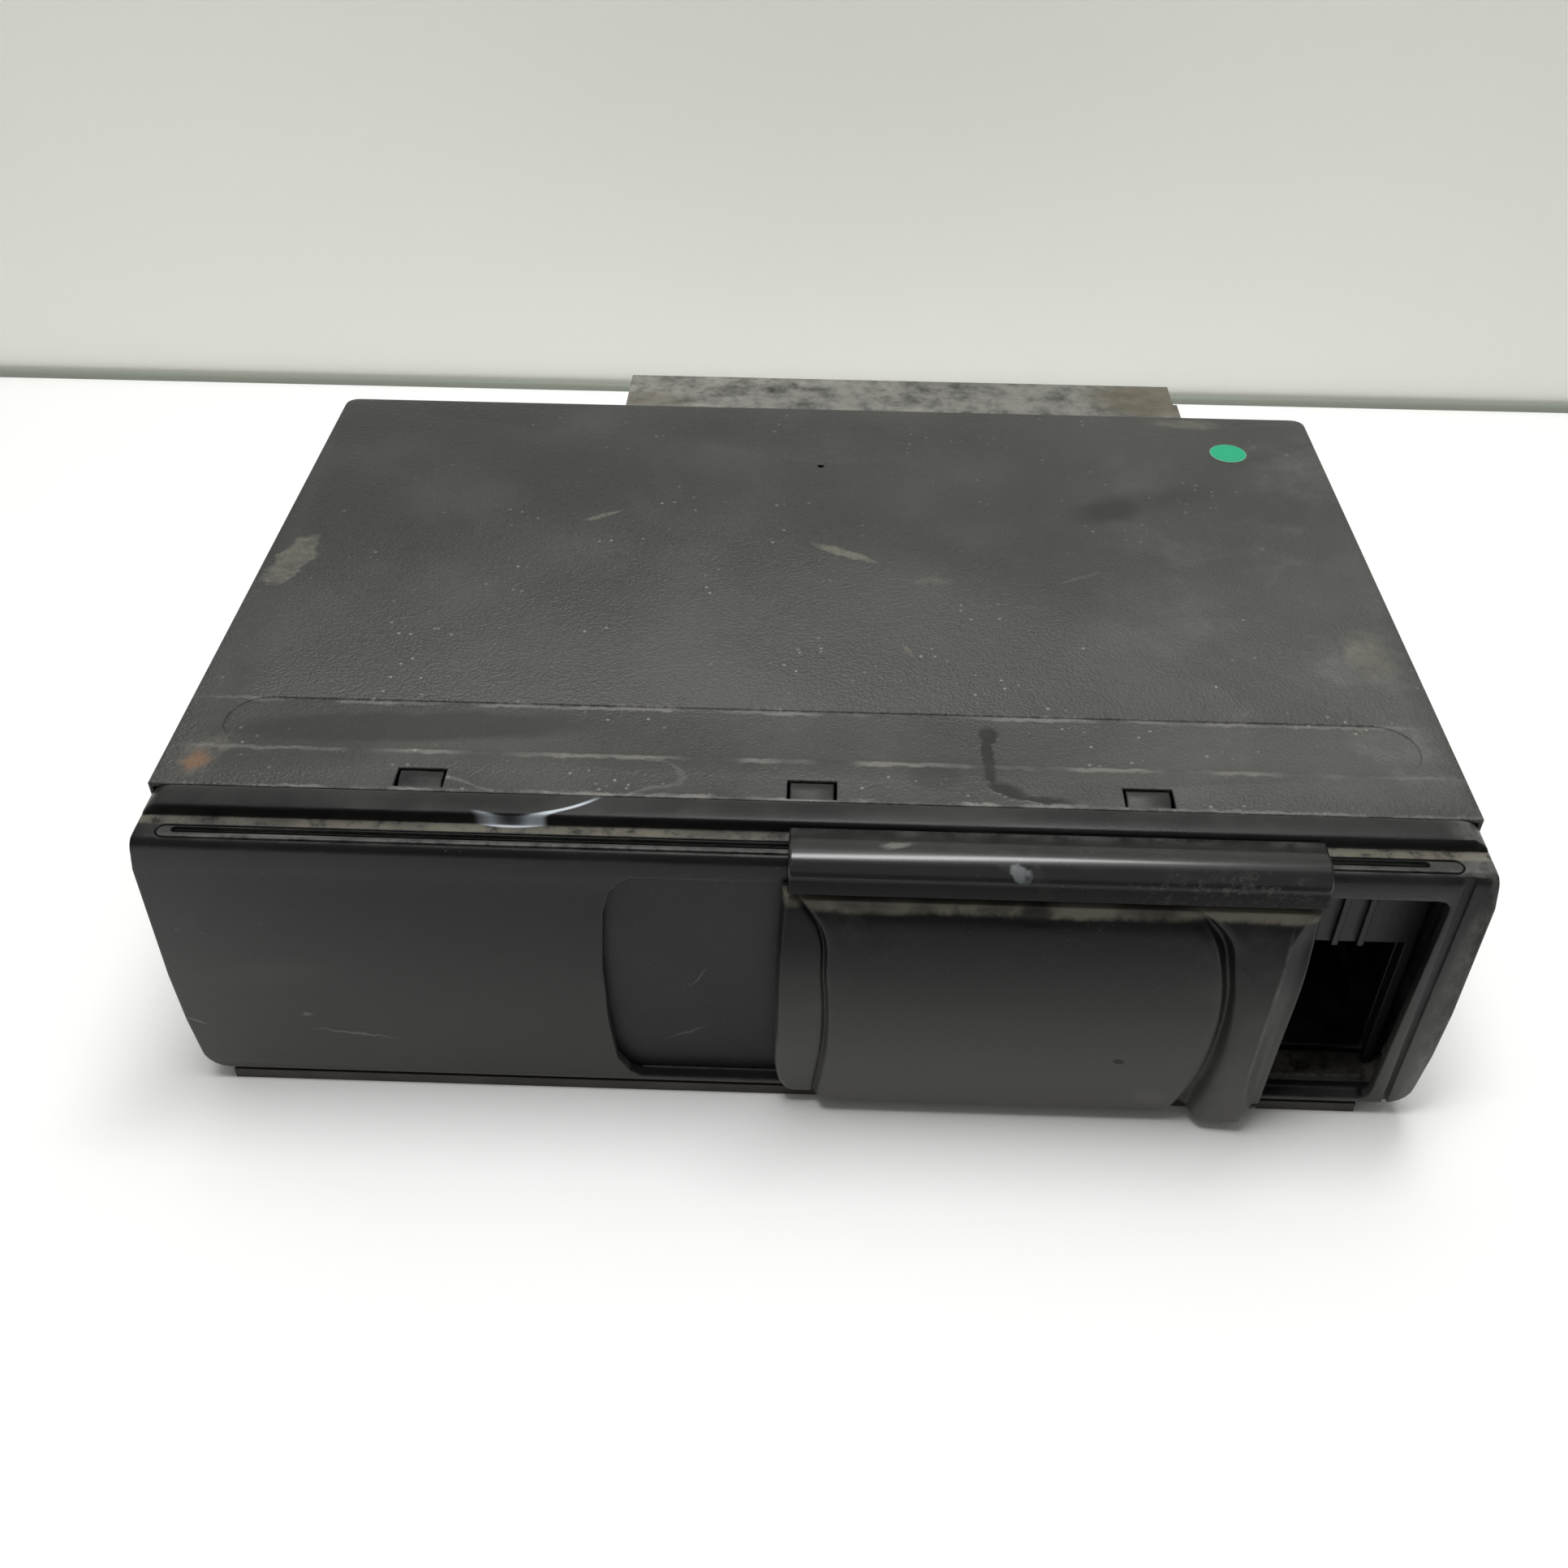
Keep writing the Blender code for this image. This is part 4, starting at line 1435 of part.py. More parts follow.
def make_deck():
    left = LIFT_LEFT + LIFT_RING / 2
    right = LIFT_RIGHT - LIFT_RING / 2
    front = LIFT_FRONT + LIFT_SHEET + DAMPER_RADIUS + GAP
    back = LIFT_BACK - LIFT_SHEET - DAMPER_RADIUS - GAP
    foot = LIFT_BOTTOM + LIFT_SHEET + GAP
    profile = (
        (0, 0), (DAMPER_RADIUS, 0), (DAMPER_RADIUS, DAMPER_HEIGHT / 3), (DAMPER_WAIST, DAMPER_HEIGHT / 2),
        (DAMPER_RADIUS, DAMPER_HEIGHT * 2 / 3), (DAMPER_RADIUS, DAMPER_HEIGHT), (0, DAMPER_HEIGHT),
    )
    corners = [(x, y) for x in (left, right) for y in (front, back)]
    for number, place in enumerate(corners, 1):
        paint(
            solid(f"deck_damper_{number}", turned(profile, place, foot, "Z", 16)), (0.02, 0.02, 0.02),
            0.8,
        )
    spindle = (SPINDLE_X, SPINDLE_Y)
    deck_x = (LIFT_LEFT + DECK_INSET, LIFT_RIGHT - DECK_INSET)
    deck_y = (LIFT_FRONT + DECK_INSET, LIFT_BACK - DECK_INSET)
    window_x = (SPINDLE_X - SLED_WINDOW_HALF, SPINDLE_X + SLED_WINDOW_HALF)
    window_y = (SLED_ROD_FRONT - GAP, SLED_ROD_BACK + GAP)
    shaft_hole = circle(spindle, circles_of(16, SPINDLE_SHAFT + GAP * 2), 16)
    notch_half = FEED_MOTOR_RADIUS + GAP * 2
    notch_y = (FEED_SCREW_FRONT - FEED_MOTOR_LENGTH - GAP * 2, FEED_SCREW_FRONT + GAP)
    notch = rectangle((SCREW_X - notch_half, SCREW_X + notch_half), notch_y)
    holes = [rectangle(window_x, window_y), shaft_hole, notch]
    deck = solid("deck_plate", plate([rectangle(deck_x, deck_y)] + holes, (DECK_BOTTOM, DECK_TOP), "Z"))
    paint(deck, (0.5, 0.5, 0.49), 0.35, 1.0)
    rod_z = DECK_BOTTOM - SLED_ROD_DROP
    rod_x = (SPINDLE_X - SLED_ROD_HALF, SPINDLE_X + SLED_ROD_HALF)
    for x in rod_x:
        side = (x - SLED_ROD_RADIUS * 2, x + SLED_ROD_RADIUS * 2)
        for span in ((window_y[0] - ROD_BLOCK, window_y[0]), (window_y[1], deck_y[1])):
            add(deck, box(side, span, (SLED_BOTTOM, DECK_BOTTOM + LAP)))
    # Feed motor's cradle, and the arm's posts
    cradle_y = (notch_y[0] - ROD_BLOCK, notch_y[0])
    add(
        deck, box((SCREW_X - notch_half, SCREW_X + notch_half), cradle_y,
        (SLED_BOTTOM, DECK_BOTTOM + LAP)),
    )
    thrust_y = (FEED_SCREW_BACK + GAP, FEED_SCREW_BACK + GAP + ROD_BLOCK / 2)
    add(
        deck, box((SCREW_X - FEED_SCREW_RADIUS * 2, SCREW_X + FEED_SCREW_RADIUS * 2), thrust_y,
        (SLED_BOTTOM, DECK_BOTTOM + LAP)),
    )
    half = ARM_WIDTH / 2 + GAP
    for y in (SPINDLE_Y - half - ARM_POST_THICKNESS, SPINDLE_Y + half):
        post = rectangle(
            (ARM_PIVOT_X - ARM_POST / 2, ARM_PIVOT_X + ARM_POST / 2),
            (DECK_TOP - LAP, ARM_PIVOT_Z + ARM_POST),
        )
        hole = circle((ARM_PIVOT_X, ARM_PIVOT_Z), circles_of(12, ARM_PIN_RADIUS + GAP), 12)
        add(deck, plate([post, hole], (y, y + ARM_POST_THICKNESS), "Y"))
    # Spindle
    can_top = DECK_BOTTOM - GAP
    table_top = DECK_TOP + TABLE_RISE + TABLE_THICKNESS
    shaft_low = can_top - SPINDLE_MOTOR_HEIGHT / 2
    can = (
        (0, 0), (SPINDLE_MOTOR_RADIUS, 0), (SPINDLE_MOTOR_RADIUS, SPINDLE_MOTOR_HEIGHT),
        (SPINDLE_SHAFT + GAP, SPINDLE_MOTOR_HEIGHT), (SPINDLE_SHAFT + GAP, SPINDLE_MOTOR_HEIGHT / 2),
            (0, SPINDLE_MOTOR_HEIGHT / 2),
    )
    motor = solid("spindle_motor", turned(can, spindle, can_top - SPINDLE_MOTOR_HEIGHT, "Z", 28))
    paint(motor, (0.55, 0.55, 0.54), 0.3, 1.0)
    table_low = table_top - TABLE_THICKNESS
    profile = (
        (0, shaft_low + GAP), (SPINDLE_SHAFT, shaft_low + GAP), (SPINDLE_SHAFT, table_low),
            (TABLE_RADIUS, table_low),
        (TABLE_RADIUS, table_top), (HUB_RADIUS, table_top),
            (HUB_RADIUS - HUB_HEIGHT / 2, table_top + HUB_HEIGHT), (0, table_top + HUB_HEIGHT),
    )
    table = solid(
        "turntable", turned(profile, spindle, 0, "Z", 28), origin=(SPINDLE_X, SPINDLE_Y, table_top),
    )
    paint(table, (0.03, 0.03, 0.03), 0.6)
    # Sled on its rods
    for x, side in zip(rod_x, ("left", "right")):
        bar = solid(
            f"sled_rod_{side}", rod((x, rod_z), SLED_ROD_RADIUS, (SLED_ROD_FRONT, SLED_ROD_BACK), "Y",
            14),
        )
        paint(bar, (0.75, 0.75, 0.75), 0.2, 1.0)
    sled_y = (SLED_FRONT, SLED_FRONT + SLED_LENGTH)
    sled_top = SLED_BOTTOM + SLED_HEIGHT
    sled = solid(
        "pickup_sled", box((SPINDLE_X - SLED_WIDTH / 2, SPINDLE_X + SLED_WIDTH / 2), sled_y,
        (SLED_BOTTOM, sled_top)),
    )
    paint(sled, (0.12, 0.12, 0.125), 0.45)
    # The nut's arm passes under the left rod to the feed screw
    nut_y = (sled_y[0], sled_y[0] + NUT_LENGTH)
    nut_left = SCREW_X + FEED_SCREW_RADIUS + GAP
    arm_top = rod_z - SLED_ROD_RADIUS - GAP
    arm_low = arm_top - NUT_ARM
    root_x = rod_x[0] + SLED_ROD_RADIUS + GAP * 2
    arm = [
        (nut_left, arm_low), (root_x + NUT_ROOT, arm_low), (root_x + NUT_ROOT, SLED_BOTTOM + LAP),
            (root_x, SLED_BOTTOM + LAP),
        (root_x, arm_top), (nut_left + NUT_ARM, arm_top), (nut_left + NUT_ARM, SCREW_Z + NUT_ARM / 2),
            (nut_left, SCREW_Z + NUT_ARM / 2),
    ]
    add(sled, plate([arm], nut_y, "Y"))
    for x in rod_x:
        cut(
            sled, rod((x, rod_z), circles_of(14, SLED_ROD_RADIUS + GAP),
            (sled_y[0] - OVERRUN, sled_y[1] + OVERRUN), "Y", 14),
        )
    pocket = LENS_HOLDER + GAP * 2
    pocket_y = (LENS_Y - pocket, LENS_Y + pocket)
    cut(
        sled, box((SPINDLE_X - pocket, SPINDLE_X + pocket), pocket_y,
        (sled_top - LENS_POCKET, sled_top + OVERRUN)),
    )
    holder_low = sled_top - LENS_POCKET + GAP + LENS_TRAVEL
    holder_top = sled_top + GAP
    holder_y = (LENS_Y - LENS_HOLDER, LENS_Y + LENS_HOLDER)
    lens = solid(
        "pickup_lens", box((SPINDLE_X - LENS_HOLDER, SPINDLE_X + LENS_HOLDER), holder_y,
        (holder_low, holder_top)),
    )
    paint(lens, (0.1, 0.14, 0.3), 0.1)
    dome = (
        (0, -LAP), (LENS_RADIUS, -LAP), (LENS_RADIUS, LENS_HEIGHT / 3),
        (LENS_RADIUS * 2 / 3, LENS_HEIGHT * 3 / 4), (0, LENS_HEIGHT),
    )
    add(lens, turned(dome, (SPINDLE_X, LENS_Y), holder_top, "Z", 16))
    # Feed screw and its motor, in line
    feed_y = (FEED_SCREW_FRONT - FEED_MOTOR_LENGTH, FEED_SCREW_FRONT)
    shaft = FEED_SCREW_RADIUS / 2
    thread = solid(
        "feed_screw", rod(
            (SCREW_X, SCREW_Z), FEED_SCREW_RADIUS, (FEED_SCREW_FRONT + GAP * 2, FEED_SCREW_BACK), "Y",
            14,
        ),
        origin=(SCREW_X, FEED_SCREW_FRONT, SCREW_Z),
    )
    add(
        thread, rod((SCREW_X, SCREW_Z), shaft, (FEED_SCREW_FRONT - GAP * 3, FEED_SCREW_FRONT + GAP * 3),
        "Y", 10),
    )
    paint(thread, (0.65, 0.65, 0.64), 0.3, 1.0)
    length = FEED_MOTOR_LENGTH
    can = (
        (0, 0), (FEED_MOTOR_RADIUS, 0), (FEED_MOTOR_RADIUS, length), (shaft + GAP, length),
            (shaft + GAP, length - GAP * 4), (0, length - GAP * 4),
    )
    feed_motor = solid("feed_motor", turned(can, (SCREW_X, SCREW_Z), feed_y[0], "Y", 18))
    paint(feed_motor, (0.55, 0.55, 0.54), 0.3, 1.0)


def make_clamp():
    pivot = (ARM_PIVOT_X, ARM_PIVOT_Z)
    arm_z = (ARM_PIVOT_Z - ARM_SHEET / 2, ARM_PIVOT_Z + ARM_SHEET / 2)
    arm_y = (SPINDLE_Y - ARM_WIDTH / 2, SPINDLE_Y + ARM_WIDTH / 2)
    spring_half = ARM_SPRING_LENGTH / 2
    slot_y = (SPINDLE_Y - spring_half - GAP, SPINDLE_Y + spring_half + GAP)
    slot_end = ARM_PIVOT_X + ARM_BARREL + GAP * 2
    outline = [
        (ARM_PIVOT_X, arm_y[0]), (SPINDLE_X, arm_y[0]), (SPINDLE_X, arm_y[1]), (ARM_PIVOT_X, arm_y[1]),
        (ARM_PIVOT_X, slot_y[1]), (slot_end, slot_y[1]), (slot_end, slot_y[0]), (ARM_PIVOT_X, slot_y[0]),
    ]
    arm = solid("clamp_arm", plate([outline], arm_z, "Z"), origin=(ARM_PIVOT_X, SPINDLE_Y, ARM_PIVOT_Z))
    paint(arm, (0.5, 0.5, 0.49), 0.35, 1.0)
    add(arm, rod((SPINDLE_X, SPINDLE_Y), ARM_RING, arm_z, "Z", 24))
    for span in ((arm_y[0], slot_y[0]), (slot_y[1], arm_y[1])):
        add(arm, rod(pivot, ARM_BARREL, span, "Y", 16))
    cut(arm, rod((SPINDLE_X, SPINDLE_Y), CLAMPER_HOLE, (arm_z[0] - OVERRUN, arm_z[1] + OVERRUN), "Z", 20))
    bore = circles_of(12, ARM_PIN_RADIUS + GAP)
    cut(arm, rod(pivot, bore, (arm_y[0] - OVERRUN, arm_y[1] + OVERRUN), "Y", 12))
    pin_half = ARM_WIDTH / 2 + GAP + ARM_POST_THICKNESS + GAP
    pin = solid(
        "arm_pin", rod(pivot, ARM_PIN_RADIUS, (SPINDLE_Y - pin_half, SPINDLE_Y + pin_half), "Y", 12),
    )
    paint(pin, (0.7, 0.7, 0.7), 0.25, 1.0)
    coil = ring(pivot, ARM_PIN_RADIUS + GAP, ARM_BARREL, (slot_y[0] + GAP, slot_y[1] - GAP), "Y", 16)
    paint(solid("arm_spring", coil), (0.6, 0.6, 0.6), 0.3, 1.0)
    low = CLAMPER_BOTTOM
    top = low + CLAMPER_THICKNESS
    cap = arm_z[1] + GAP
    recess = CLAMPER_THICKNESS / 2
    profile = (
        (0, low + recess), (HUB_RADIUS + LAP, low + recess), (HUB_RADIUS + LAP, low),
            (CLAMPER_RADIUS, low), (CLAMPER_RADIUS, top),
        (CLAMPER_NECK, top), (CLAMPER_NECK, cap), (CLAMPER_CAP, cap),
            (CLAMPER_CAP, cap + CLAMPER_CAP_THICKNESS), (0, cap + CLAMPER_CAP_THICKNESS),
    )
    clamper = solid(
        "clamper", turned(profile, (SPINDLE_X, SPINDLE_Y), 0, "Z", 28),
        origin=(SPINDLE_X, SPINDLE_Y, low),
    )
    paint(clamper, (0.75, 0.75, 0.73), 0.5)


def make_boards():
    board_x = (BOARD_LEFT, BOARD_RIGHT)
    board_y = (BOARD_FRONT, BOARD_BACK)
    top = BOARD_BOTTOM + BOARD_THICKNESS
    board = solid("main_board", box(board_x, board_y, (BOARD_BOTTOM, top)))
    paint(board, (0.02, 0.12, 0.05), 0.45)
    across = BOARD_RIGHT - BOARD_LEFT
    deep = BOARD_BACK - BOARD_FRONT
    # Soldered chips, cans and connectors
    for left, front, width, length in CHIP_SHARES:
        x = BOARD_LEFT + across * left
        y = BOARD_FRONT + deep * front
        add(board, box((x, x + across * width), (y, y + deep * length), (top - LAP, top + CHIP_HEIGHT)))
    for right, back, wide, tall in CAPACITOR_SHARES:
        place = (BOARD_LEFT + across * right, BOARD_FRONT + deep * back)
        add(
            board, rod(place, CAPACITOR_RADIUS * wide, (top - LAP, top + CAPACITOR_HEIGHT * tall), "Z",
            16),
        )
    for share in CONNECTOR_SHARES:
        x = BOARD_LEFT + across * share
        span = (BOARD_FRONT + BOARD_THICKNESS, BOARD_FRONT + BOARD_THICKNESS + CONNECTOR_DEPTH)
        add(board, box((x, x + CONNECTOR_LENGTH), span, (top - LAP, top + CONNECTOR_HEIGHT)))


def main():
    clear_scene()
    start_scene()
    make_bezel()
    make_slide_rail()
    make_door()
    make_leaf()
    make_case()
    make_pan()
    make_rear()
    make_chassis()
    make_bay()
    make_eject()
    make_cam()
    make_lift_drive()
    make_lift_frame()
    make_loading()
    make_deck()
    make_clamp()
    make_boards()


main()
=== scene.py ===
"""Car disc changer: worn black finishes, soft moulded skins and the marks of use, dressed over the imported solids."""

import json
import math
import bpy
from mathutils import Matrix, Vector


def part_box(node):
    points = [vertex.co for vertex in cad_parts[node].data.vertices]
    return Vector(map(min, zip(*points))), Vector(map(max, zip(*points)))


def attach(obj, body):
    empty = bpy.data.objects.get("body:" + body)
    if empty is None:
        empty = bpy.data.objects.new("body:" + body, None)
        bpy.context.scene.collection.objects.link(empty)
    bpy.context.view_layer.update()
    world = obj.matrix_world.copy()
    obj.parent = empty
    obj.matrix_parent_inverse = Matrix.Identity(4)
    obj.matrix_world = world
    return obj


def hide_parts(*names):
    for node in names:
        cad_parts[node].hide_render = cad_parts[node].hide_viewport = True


bl_info = {
    "name": "Car Disc Changer Looks",
    "version": (1, 0, 0),
    "blender": (4, 5, 0),
    "location": "3D View > Sidebar > Disc Changer",
    "description": "Dresses the packed disc changer in paint, moulded plastic, plating and dust, and sets its studio",
    "category": "Object",
}

import bmesh
import bpy
import numpy as np
from mathutils import Matrix, Vector

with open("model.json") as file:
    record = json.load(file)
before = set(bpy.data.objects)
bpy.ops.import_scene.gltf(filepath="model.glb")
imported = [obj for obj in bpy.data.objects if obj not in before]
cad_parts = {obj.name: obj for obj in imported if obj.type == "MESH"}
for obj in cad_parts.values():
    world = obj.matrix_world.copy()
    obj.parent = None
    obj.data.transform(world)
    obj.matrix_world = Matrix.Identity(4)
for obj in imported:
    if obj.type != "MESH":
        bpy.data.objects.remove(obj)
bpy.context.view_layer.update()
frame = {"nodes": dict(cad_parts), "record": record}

MM = 0.001


# Shader maths


class Reading:
    """A number read off a material's nodes. Arithmetic on it adds Math nodes to the same material."""

    def __init__(self, finish, socket):
        self.finish = finish
        self.socket = socket

    def math(self, operation, *values):
        node = self.finish.node("ShaderNodeMath", {"operation": operation}, dict(enumerate(values)))
        return Reading(self.finish, node.outputs[0])

    def __add__(self, other):
        return self.math("ADD", self, other)

    def __radd__(self, other):
        return self.math("ADD", other, self)

    def __sub__(self, other):
        return self.math("SUBTRACT", self, other)

    def __rsub__(self, other):
        return self.math("SUBTRACT", other, self)

    def __mul__(self, other):
        return self.math("MULTIPLY", self, other)

    def __rmul__(self, other):
        return self.math("MULTIPLY", other, self)

    def __truediv__(self, other):
        return self.math("DIVIDE", self, other)

    def __pow__(self, other):
        return self.math("POWER", self, other)

    def __abs__(self):
        return self.math("ABSOLUTE", self)

    def __or__(self, other):
        return self.math("MAXIMUM", self, other)

    def wave(self):
        return self.math("SINE", self)

    def rise(self, low, high, least=0.0, most=1.0):
        """Eases from least to most as the number goes from low to high."""
        node = self.finish.node(
            "ShaderNodeMapRange", {"interpolation_type": "SMOOTHSTEP", "clamp": True},
            {"Value": self, "From Min": low, "From Max": high, "To Min": least, "To Max": most},
        )
        return Reading(self.finish, node.outputs["Result"])


class Finish:
    """One material: a Principled surface and the readings that vary it."""

    def __init__(self, name):
        self.material = bpy.data.materials.new(name)
        self.material.use_nodes = True
        self.tree = self.material.node_tree
        self.surface = self.tree.nodes["Principled BSDF"]
        self.place = self.node("ShaderNodeTexCoord").outputs["Object"]
        split = self.node("ShaderNodeSeparateXYZ", values={"Vector": self.place})
        self.x, self.y, self.z = (Reading(self, split.outputs[axis]) for axis in "XYZ")

    def node(self, kind, settings=None, values=None):
        """Adds a node: its settings first, then the values or links of its sockets."""
        node = self.tree.nodes.new(kind)
        for key, value in (settings or {}).items():
            if key == "stops":
                self.set_stops(node, value)
            else:
                setattr(node, key, value)
        for key, value in (values or {}).items():
            self.feed(node.inputs[key], value)
        return node

    def set_stops(self, node, stops):
        ramp = node.color_ramp
        while len(ramp.elements) < len(stops):
            ramp.elements.new(1.0)
        for element, (position, colour) in zip(ramp.elements, stops):
            element.position = position
            element.color = (*colour, 1.0)

    def feed(self, socket, value):
        if isinstance(value, Reading):
            value = value.socket
        if isinstance(value, bpy.types.NodeSocket):
            self.tree.links.new(value, socket)
        elif socket.type == "RGBA" and len(value) == 3:
            socket.default_value = (*value, 1.0)
        else:
            socket.default_value = value

    def noise(self, scale, detail=3.0, rough=0.55, place=None, warp=0.0):
        node = self.node("ShaderNodeTexNoise", values={
            "Vector": place or self.place, "Scale": scale, "Detail": detail, "Roughness": rough, "Distortion": warp,
        })
        return Reading(self, node.outputs["Fac"])

    def cells(self, scale, feature="F1", place=None, spread=1.0):
        node = self.node("ShaderNodeTexVoronoi", {"feature": feature}, {
            "Vector": place or self.place, "Scale": scale, "Randomness": spread,
        })
        return Reading(self, node.outputs["Distance"])

    def stretched(self, scale, turn=(0.0, 0.0, 0.0), place=None):
        """The place, divided along each axis, for streaks and brushing."""
        node = self.node("ShaderNodeMapping", {"vector_type": "TEXTURE"}, {
            "Vector": place or self.place, "Rotation": turn, "Scale": scale,
        })
        return node.outputs[0]

    def ragged(self, amount, scale):
        """The place, shifted a little by noise, so that a mark drawn with it has a ragged outline."""
        noise = self.node("ShaderNodeTexNoise", values={"Vector": self.place, "Scale": scale, "Detail": 4.0})
        centred = self.node("ShaderNodeVectorMath", {"operation": "SUBTRACT"}, {
            0: noise.outputs["Color"], 1: (0.5, 0.5, 0.5),
        })
        shift = self.node("ShaderNodeVectorMath", {"operation": "SCALE"}, {
            0: centred.outputs[0], "Scale": amount,
        })
        moved = self.node("ShaderNodeVectorMath", {"operation": "ADD"}, {0: self.place, 1: shift.outputs[0]})
        return moved.outputs[0]

    def radius(self, centre, radii, turn=(0.0, 0.0, 0.0), place=None):
        """How far a point lies from a centre, as a share of the radii: 1 on the outline of a turned ellipse."""
        node = self.node("ShaderNodeMapping", {"vector_type": "TEXTURE"}, {
            "Vector": place or self.place, "Location": centre, "Rotation": turn, "Scale": radii,
        })
        length = self.node("ShaderNodeVectorMath", {"operation": "LENGTH"}, {0: node.outputs[0]})
        return Reading(self, length.outputs["Value"])

    def patch(self, centre, radii, soft=0.3, turn=(0.0, 0.0, 0.0), place=None):
        """1 inside a turned ellipse and 0 outside, over a soft rim."""
        return self.radius(centre, radii, turn, place).rise(1.0 + soft, 1.0 - soft)

    def mixed(self, factor, low, high):
        node = self.node("ShaderNodeMix", {"data_type": "RGBA"}, {0: factor, 6: low, 7: high})
        return node.outputs[2]

    def facing(self, axis="Z"):
        """The surface's own direction along an axis, from -1 to 1."""
        geometry = self.node("ShaderNodeNewGeometry")
        split = self.node("ShaderNodeSeparateXYZ", values={"Vector": geometry.outputs["True Normal"]})
        return Reading(self, split.outputs[axis])

    def edges(self, radius, low=0.04, high=0.22):
        """1 on edges and in creases, for wear and painted edge highlights: where the normal, rounded over a radius,
        leaves the face's own.
        """
        rounded = self.node("ShaderNodeBevel", {"samples": 4}, {"Radius": radius})
        geometry = self.node("ShaderNodeNewGeometry")
        dot = self.node("ShaderNodeVectorMath", {"operation": "DOT_PRODUCT"}, {
            0: rounded.outputs[0], 1: geometry.outputs["True Normal"],
        })
        return (1.0 - Reading(self, dot.outputs["Value"])).rise(low, high)

    def relief(self, height, depth, edge=0.0):
        """A bump of a height from 0 to 1, depth metres deep, on edges rounded by a radius."""
        values = {"Strength": 1.0, "Distance": depth, "Height": height}
        if edge:
            values["Normal"] = self.node("ShaderNodeBevel", {"samples": 4}, {"Radius": edge}).outputs[0]
        return self.node("ShaderNodeBump", values=values).outputs[0]

    def done(self, **sockets):
        for name, value in sockets.items():
            self.feed(self.surface.inputs[name.replace("_", " ")], value)
        return self.material


def dress(material, *names):
    """Gives CAD nodes or new pieces a material."""
    for name in names:
        target = frame["nodes"].get(name) or bpy.data.objects[name]
        target.data.materials.clear()
        target.data.materials.append(material)


# Finishes


